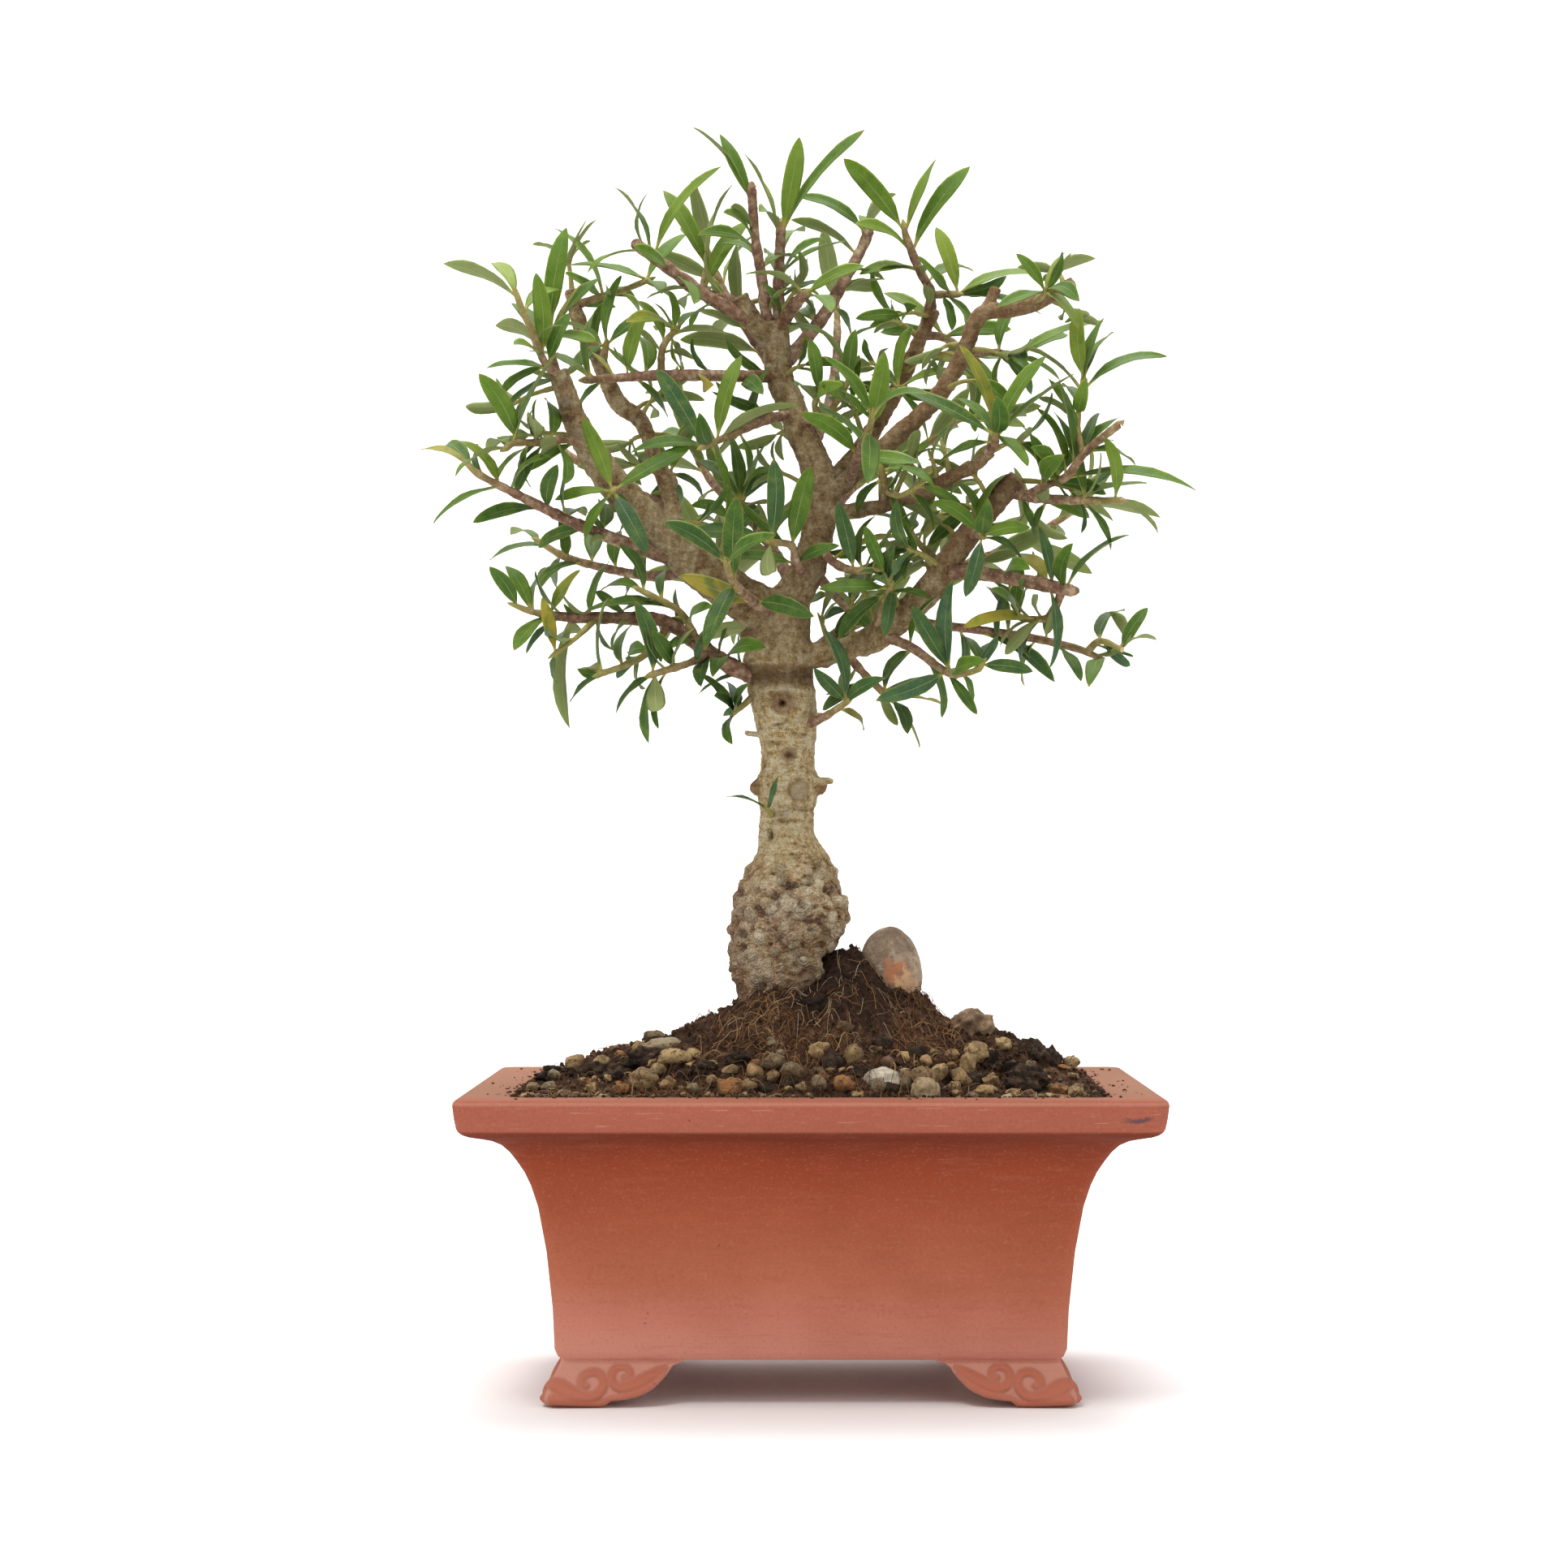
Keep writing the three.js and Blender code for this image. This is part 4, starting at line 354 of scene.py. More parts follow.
def leafMaterial():
    # upper side green with a thin pale midrib and faint side veins, underside and stalk paler
    material, place = newMaterial("leafSkin", 0.5, 0.14)
    along, across, rise, tint, age = [factorOf(name) for name in ("along", "across", "rise", "tint", "age")]
    mottle = noiseOf(place, 260, 4, 0.65)
    broad = noiseOf(place, 55, 2)
    patchy = ease(noiseOf(place, 150, 3, distortion=0.6), 0.35, 0.6, 0.3, 1)
    side = calc("ABSOLUTE", across)
    veins = ease(calc("SINE", minus(times(along, 120), times(side, 11))), 0.7, 1, 0, 0.1)
    rib = ease(side, 0.01, 0.06, 1, 0)
    below = ease(rise, -0.25, 0.05, 1, 0)
    base = rampOf(tint, (0, "3d5a49"), (1, "98a03c"), (0.2, "3a5528"), (0.42, "486622"), (0.62, "577524"),
                  (0.82, "6e852e"))
    base = coated(
        base, ("7d8f3e", mottle, 0.42, 0.75, 0.35), ("314722", mottle, 0.5, 0.25, 0.4),
        ("3c5627", broad, 0.45, 0.7, 0.3), ("b39a38", times(age, patchy)), ("8ea052", veins),
        ("a8ab5e", side, 0.84, 1, 0.5), ("aab57c", times(rib, ease(along, 0.3, 1, 0.55, 0.12))))
    under = coated(colour("7e8854"), ("a9ab7c", rib, 0.7), ("8f9562", mottle, 0.35, 0.7, 0.4), ("bda557", age, 0.5))
    tip = times(ease(along, 0.93, 1), ease(broad, 0.4, 0.6, 0, 0.8))
    base = coated(mixColour(below, base, under), ("aaa452", ease(along, 0.04, 0.14, 0.85, 0)), ("8a6a36", tip))
    rough = valueOf("ShaderNodeMix", {0: below, 2: ease(mottle, 0.3, 0.8, 0.42, 0.6), 3: 0.7})
    skin = skinOf(material)
    material.node_tree.links.new(rough, skin["Roughness"])
    skin["Subsurface Weight"].default_value = 0.1
    skin["Subsurface Radius"].default_value = (0.6, 1, 0.1)
    skin["Subsurface Scale"].default_value = 0.0012
    return dressed(material, base, summed((rib, -0.8), (veins, -2), (noiseOf(place, 700, 3), 0.6)), 0.4, 0.0003)


def twigMaterial():
    # thin red-brown bark with pale lenticels, greener at the young end, cream where it was cut
    material, place = newMaterial("twigBark", 0.75, 0.25)
    grain = noiseOf(place, 420, 6, 0.65)
    tone = times(summed((grain, 1.5), (noiseOf(place, 90, 3), 0.8)), 0.43)
    spots = ease(cellsOf(place, 620), 0.08, 0.2, 0.6, 0)
    base = rampOf(tone, (0.32, "4c382b"), (0.62, "bba88a"), (0.42, "705240"), (0.49, "876750"), (0.55, "9d8169"))
    base = coated(base, ("9a974c", factorOf("young"), 0.75), ("d3c2a2", spots), ("cdb890", factorOf("cut"), 0.9))
    return dressed(material, base, summed((grain, 1), (spots, 0.5)), 0.8, 0.0008)


def barkMaterial():
    # beige bark with level scars and yellowish streaks; on the swollen foot brown-grey knobs with
    # rings round them; grey-brown and patchy up in the limbs
    material, place = newMaterial("trunkBark", 0.88, 0.2)
    across, _, height = partsOf(place)
    relief = factorOf("relief")
    fine = noiseOf(place, 520, 8, 0.75)
    grit = noiseOf(place, 1500, 5, 0.65)
    broad = noiseOf(place, 45, 4, 0.6, 0.4)
    rings = noiseOf(stretched(place, (1, 1, 4)), 150, 6, 0.7, 0.5)
    streaks = noiseOf(stretched(place, (3, 3, 1)), 110, 5, 0.65)
    warped = warpedBy(place)
    knobs = cellsOf(warped, 210)
    knobTone = partsOf(cellsOf(warped, 210, 1))[0]
    circles = calc("SINE", times(knobs, 34))
    crease = awayFrom(noiseOf(warped, 330, 5, 0.6, 0.8), 0.5)
    furrow = awayFrom(noiseOf(stretched(place, (0.8, 0.8, 2.2)), 260, 5, 0.6, 0.6), 0.5)
    # one tone from 0 to 1 that all three barks read; it is a little lighter on raised relief and scar rims, a painted
    # highlight, and a little darker in their hollows, painted shade
    shared = summed((fine, 0.95), (grit, 0.5), (relief, 0.1), (factorOf("pressed"), 0.1))
    trunkTone = minus(summed((shared, 1.65), (rings, -0.8), (streaks, 0.75), (broad, 0.6)), 0.93)
    footTone = minus(summed((shared, 1.45), (circles, 0.06), (knobTone, 0.3), (broad, 0.8)), 1)
    limbTone = minus(summed((shared, 1), (rings, 0.4), (streaks, 0.8), (broad, 0.8)), 1.23)
    trunkBase = rampOf(trunkTone, (0.12, "6b4d2d"), (0.9, "f5e9c8"), (0.32, "a88756"), (0.48, "cfb17a"),
                       (0.62, "dfcb9f"), (0.74, "ebdcb6"))
    footBase = rampOf(footTone, (0.12, "54372a"), (0.9, "f7e8c9"), (0.32, "9c7253"), (0.48, "cca57b"),
                      (0.62, "e0c095"), (0.76, "eed7ae"))
    limbBase = rampOf(limbTone, (0.12, "433322"), (0.9, "e4dcc4"), (0.32, "775e40"), (0.48, "9c825c"),
                      (0.62, "b6a07a"), (0.76, "cdbc98"))
    centre = vec("DISTANCE", place, (-0.008, -0.017, 0.143))
    footBase = coated(
        footBase, ("988783", centre, 0.013, 0.004, 0.24), ("8e6250", across, -0.015, -0.024, 0.55),
        ("85573e", height, 0.137, 0.119, 0.6), ("d3b98a", height, 0.15, 0.163, 0.45),
        ("8f6b56", knobs, 0.2, 0.05, 0.35), ("ecd9ae", crease, 0.03, 0, 0.6), ("5e3f2e", furrow, 0.04, 0, 0.55))
    trunkBase = coated(trunkBase, ("84653f", furrow, 0.022, 0, 0.45), ("f3e6c4", crease, 0.02, 0, 0.5))
    reddish = times(ease(across, 0.008, 0.03, 0, 0.35), ease(height, 0.24, 0.262))
    limbBase = coated(limbBase, ("bdb199", noiseOf(place, 160, 5, 0.7), 0.55, 0.68, 0.4), ("94694c", reddish))
    onTrunk = ease(plus(height, times(broad, 0.012)), 0.157, 0.17)
    base = mixColour(ease(height, 0.2, 0.242), mixColour(onTrunk, footBase, trunkBase), limbBase)
    # painted shadow that the fold's overhang casts on the band of trunk under it, broken up by noise
    shadowUnderFold = times(between(height, 0.2125, 0.2155, 0.219, 0.2205), ease(broad, 0.3, 0.7, 0.4, 0.9))
    # painted shadow under the fold, painted shade in the hollows of the relief, the knots' own colour, the scars' dark
    # middles (painted shade in dented scars) and the pale cuts
    base = coated(
        base, ("694a2f", shadowUnderFold), ("5a4234", relief, -0.3, -1.2, 0.5), ("84563c", factorOf("knot"), 0.5),
        ("2e221b", factorOf("scarDarkAndShade")), ("bfa77e", factorOf("cut"), 0.8))
    ringed = times(summed((circles, 0.4), (knobs, -1.2)), ease(height, 0.166, 0.154))
    wrinkles = times(summed((furrow, 2), (crease, -1)), ease(height, 0.225, 0.21))
    bumps = summed((fine, 1), (rings, 0.8), (ringed, 0.8), (grit, 0.5), (wrinkles, 1))
    return dressed(material, base, bumps, 1, 0.0014)


def potMaterial():
    # unglazed red-brown clay: dusty on the rim's top, darker up towards the rim with painted shade under it, paler and
    # pinker near the feet with painted bounce light;
    # the raised scrolls are rubbed, the ground between them is dusty, and the grooves round them carry painted shade
    material, place = newMaterial("terracotta", 0.85, 0.12)
    across, depth, height = partsOf(place)
    broad = noiseOf(place, 11, 3, 0.5, 0.3)
    brushed = noiseOf(stretched(place, (1, 1, 9)), 60, 5, 0.65, 0.3)
    fine = noiseOf(place, 1100, 4, 0.7)
    level = plus(height, times(minus(broad, 0.5), 0.02))
    # the clay grows darker with height up to the rim, painted shade under the rim's overhang, and paler lower down,
    # painted bounce light
    base = rampOf(times(level, 10), (0.1, "cf907d"), (0.915, "6f2f1c"), (0.2, "c8826f"), (0.36, "b4694f"),
                  (0.55, "a3563a"), (0.7, "8f4128"), (0.79, "6f2f1c"))
    rimDust = times(ease(height, 0.0908, 0.0914), ease(depth, -0.068, -0.058, 0.2, 0.8))
    footDust = times(factorOf("field"), ease(height, 0.003, 0.011, 0.15, 0.5))
    specks = times(ease(cellsOf(place, 230), 0.04, 0.09, 0.6, 0), ease(noiseOf(place, 90, 2), 0.58, 0.66))
    # pale scratches along the rim, and the stained crack in its front
    scratches = ease(noiseOf(stretched(place, (1, 1, 22)), 55, 3, 0.6), 0.64, 0.68, 0, 0.34)
    onBand = between(height, 0.083, 0.0845, 0.0895, 0.0905)
    edgeLight = between(height, 0.0898, 0.0906, 0.0908, 0.0914)
    shadeUnder = between(height, 0.0785, 0.081, 0.0822, 0.083)
    wavy = plus(height, times(noiseOf(place, 150, 4), 0.004))
    stain = times(ease(awayFrom(wavy, 0.0882), 0.0002, 0.0008, 1, 0),
                  between(across, 0.0875, 0.0925, 0.0955, 0.0985), ease(depth, -0.07, -0.072))
    # the grooves round the raised scrolls get painted shade
    base = coated(
        base, ("a25c49", ease(height, 0.0818, 0.083)), ("8f4a36", broad, 0.4, 0.65, 0.25),
        ("8e4b39", brushed, 0.52, 0.7, 0.16), ("c08470", brushed, 0.46, 0.32, 0.07), ("8e6851", rimDust),
        ("c98f79", fine, 0.53, 0.68, 0.15), ("7a3a28", fine, 0.47, 0.32, 0.2), ("cf9a86", footDust),
        ("ae6046", factorOf("raised"), 0.7), ("8b4733", factorOf("grooveShade"), 0.5), ("4f2c22", specks),
        ("d6aa9b", times(scratches, onBand)), ("d9a896", edgeLight, 0.2), ("5f2c1e", shadeUnder, 0.35),
        ("4a3f48", stain, 0.75))
    return dressed(material, base, summed((fine, 0.08), (brushed, 0.7), (stain, -0.8)), 0.35, 0.0006)


def soilMaterial(name, *stops):
    # dark crumbly earth with thin fibres in it, darkest where peat shows beside the trunk
    material, place = newMaterial(name, 0.95, 0.15)
    crumbly = noiseOf(place, 420, 7, 0.75)
    fibres = noiseOf(stretched(place, (1, 6, 1)), 300, 4, 0.7, 1.2)
    tone = minus(summed((crumbly, 2), (noiseOf(place, 60, 4, 0.6), 0.9)), 0.95)
    peat = vec("DISTANCE", place, (0.009, -0.01, 0.124))
    base = coated(rampOf(tone, *stops), ("85603f", fibres, 0.56, 0.68, 0.5), ("2a211c", peat, 0.024, 0.014, 0.6))
    return dressed(material, base, crumbly, 0.9, 0.0014)


def stoneMaterial(name, main, other, patches=(), bands=0, scale=90):
    # mottled stone with dark veins and dirt, banded if asked, with patches round given places
    material, place = newMaterial(name, 0.75, 0.3)
    broad = noiseOf(place, scale, 4, 0.6, 0.5)
    fine = noiseOf(place, scale * 9, 6, 0.7)
    veins = awayFrom(noiseOf(place, scale * 2.5, 5, 0.6, 0.8), 0.5)
    base = coated(
        mixColour(ease(broad, 0.4, 0.6), colour(main), colour(other)), ("d8c9b2", fine, 0.53, 0.7, 0.4),
        ("574638", fine, 0.48, 0.32, 0.6), ("5c4a3c", veins, 0.025, 0, 0.4),
        ("6b5440", noiseOf(place, scale * 1.6, 5, 0.7), 0.48, 0.62, 0.7))
    if bands:
        lines = calc("SINE", times(plus(partsOf(place)[2], times(broad, 0.002)), bands))
        base = coated(base, ("9a9085", lines, 0.3, 0.9, 0.5))
    ragged = noiseOf(place, 320, 4, 0.65)
    for patch, patchAt in patches:
        soft = summed((vec("DISTANCE", place, patchAt), 1), (ragged, 0.016))
        base = coated(base, (patch, soft, 0.0145, 0.0105, 0.85))
    return dressed(material, base, summed((fine, 1), (broad, 1)), 0.5, 0.0008)


def gravelMaterial():
    # each stone has one shade of its own, with pale dust, dark pits and dirt
    material, place = newMaterial("gravelSkin", 0.8, 0.3)
    base = rampOf(factorOf("shade"), (0, "af9166"), (0.93, "d6c9ac"), (0.16, "bd9a6b"), (0.32, "8f7c5e"),
                  (0.46, "b37c4a"), (0.58, "c5a676"), (0.7, "846850"), (0.8, "66503d"), (0.87, "9a886a"),
                  constant=True)
    fine = noiseOf(place, 800, 6, 0.7)
    dirt = noiseOf(place, 380, 6, 0.75, 0.6)
    base = coated(
        base, ("cbbd9c", fine, 0.52, 0.7, 0.45), ("4a3b2c", fine, 0.48, 0.3, 0.6),
        ("6b5236", noiseOf(place, 220, 3), 0.46, 0.6, 0.6), ("4c3824", dirt, 0.52, 0.6, 0.8))
    return dressed(material, base, summed((fine, 1), (dirt, 1)), 0.9, 0.0012)


def rootMaterial():
    # each fibre has a shade of its own, from dark brown to straw
    material, place = newMaterial("rootSkin", 0.85, 0.2)
    grain = noiseOf(place, 500, 4)
    base = rampOf(factorOf("young"), (0, "33261e"), (1, "c4b496"), (0.35, "60432f"), (0.55, "855c3c"), (0.75, "ac8656"))
    return dressed(material, coated(base, ("5c3d2a", grain, 0.45, 0.7, 0.5)), grain, 0.4, 0.0004)


# measured places in millimetres: across, height and depth, and the radius of the wood there
trunkPath = [(-10.5, 104, 0, 9.2), (-10, 112, 0, 11.4), (-9.8, 116, 0, 12.4), (-9.8, 121, 0, 13.2),
             (-9.9, 125, 0, 13.9), (-10.8, 132.5, 0, 14.4), (-9.3, 137.5, 0, 16.1), (-7, 142.5, 0, 17.8),
             (-6.4, 150, 0, 16.4), (-6.2, 155, 0, 14.6), (-6.4, 160, 0, 12.2), (-6.9, 163.8, 0, 9.8),
             (-7.5, 167.5, 0, 8.7), (-7.3, 175, 0, 8.4), (-7, 183.5, 0, 10), (-7, 188, 0, 8.5), (-7, 194, 0, 8.3),
             (-7.3, 200, 0, 9.2), (-8.2, 208, 0, 10), (-9.3, 214, 0, 10.3), (-9.7, 218, 0, 11.4), (-9.5, 221.5, 0, 10),
             (-9.3, 230, 0, 9), (-9.5, 236, 0, 9.6), (-9.6, 241, 0, 8)]
limbPaths = {
    "leftArm": [(-9.8, 236, 0, 7), (-21, 240.5, -3, 6.9), (-32.2, 248.8, -6, 6.6), (-42.2, 257.5, -9, 6.4),
        (-49.8, 265, -11, 5.3), (-59.8, 275, -14, 5), (-67.2, 285, -17, 4.6), (-73.5, 297.5, -20, 3.6),
        (-77.8, 311, -22, 3.1)],
    "leftBack": [(-39, 255, -8, 2.6), (-41.5, 262.5, 0, 2.6), (-43.5, 272.5, 8, 2.5), (-48.2, 285, 14, 2.5),
        (-52.2, 295.5, 17, 2.6), (-59.5, 301, 20, 3), (-65.8, 315, 23, 2.6), (-71, 325, 25, 2.5),
        (-73.8, 335.8, 26, 2.4)],
    "leader": [(-9.6, 236, 0, 7), (-3.5, 245, 0, 5.8), (0.2, 252.5, 0, 5.3), (2.8, 265, 1, 5), (3.2, 275, 2, 5.4),
        (0.2, 285, 3, 4.8), (-3.5, 292.5, 4, 4.6), (-6, 300, 5, 4.4), (-9.2, 307.5, 6, 4.3), (-10.2, 315, 6, 4.4),
        (-10.8, 326, 6, 4)],
    "cutKnob": [(-11, 318, 6, 3.4), (-17.5, 326, 4, 3.1), (-22, 334, 3, 2.8)],
    "rightBack": [(3, 271, 2, 3), (6.8, 277, 5, 3), (15.2, 286.2, 10, 2.8), (25.2, 302.5, 15, 2.6),
        (32.8, 318.8, 19, 2.4), (37.8, 329.5, 21, 2.2)],
    "rightFront": [(3, 269, 0, 3), (10.2, 276, -4, 2.9), (22.8, 287.5, -7, 2.8), (37.8, 301.2, -10, 2.7),
        (46.5, 315, -12, 2.6), (50.2, 325, -13, 2.5), (54, 329, -13.5, 2.4), (66.5, 330.5, -15, 2.3),
        (81.5, 338.2, -17, 2.2)],
    "rightMid": [(2.5, 266, 0, 2.6), (8, 267, -5, 2.5), (20.2, 268.8, -10, 2.4), (32.8, 272.5, -15, 2.3),
        (42.8, 277.8, -20, 2.2), (50.2, 281.5, -24, 2), (55.5, 286, -27, 1.9)],
    "rightArm": [(-7, 222, 0, 4.6), (0.8, 222.4, -3, 4.5), (12.8, 225, -7, 4.4), (25.2, 232.5, -11, 4.4),
        (37.8, 245, -14, 4.4), (42.8, 252.5, -16, 4.1), (50.2, 262.5, -17, 3.8), (57.8, 272, -18, 3.7),
        (64, 277.5, -18, 3.2)],
}
pegPaths = [
    [(-7, 197, -2, 1.2), (-20.5, 199.5, -4, 0.8)],
    [(-7, 183, -2, 1.3), (4.5, 184.5, -5, 1.2), (6.8, 184.3, -6, 0.8)],
    [(-7, 202, -2, 1.6), (1.5, 203, -6, 1.6), (3.2, 205, -8, 1.4)],
    [(52, 326, -13, 1.8), (57.2, 336.5, -13, 1.7)],
]
# round swellings of the trunk and the limbs; the first six are knots
bosses = [(-8.6, 208.7, -8.6, 3.4), (-4, 181.8, -7.6, 3.2), (-16, 182.5, -2, 2.8), (2.2, 183, -2, 3),
          (-7, 192.5, -7.2, 2.2), (-19, 228.5, -2, 3), (4, 139, -4, 4.4), (2, 146, -9, 4.2), (-19, 141, -6, 4.6),
          (-9, 138, -13.5, 5), (-20, 125, -5, 4.4), (-2, 128, -8, 4.6), (-12, 152, -13, 3.6), (8, 144, 4, 4.2)]
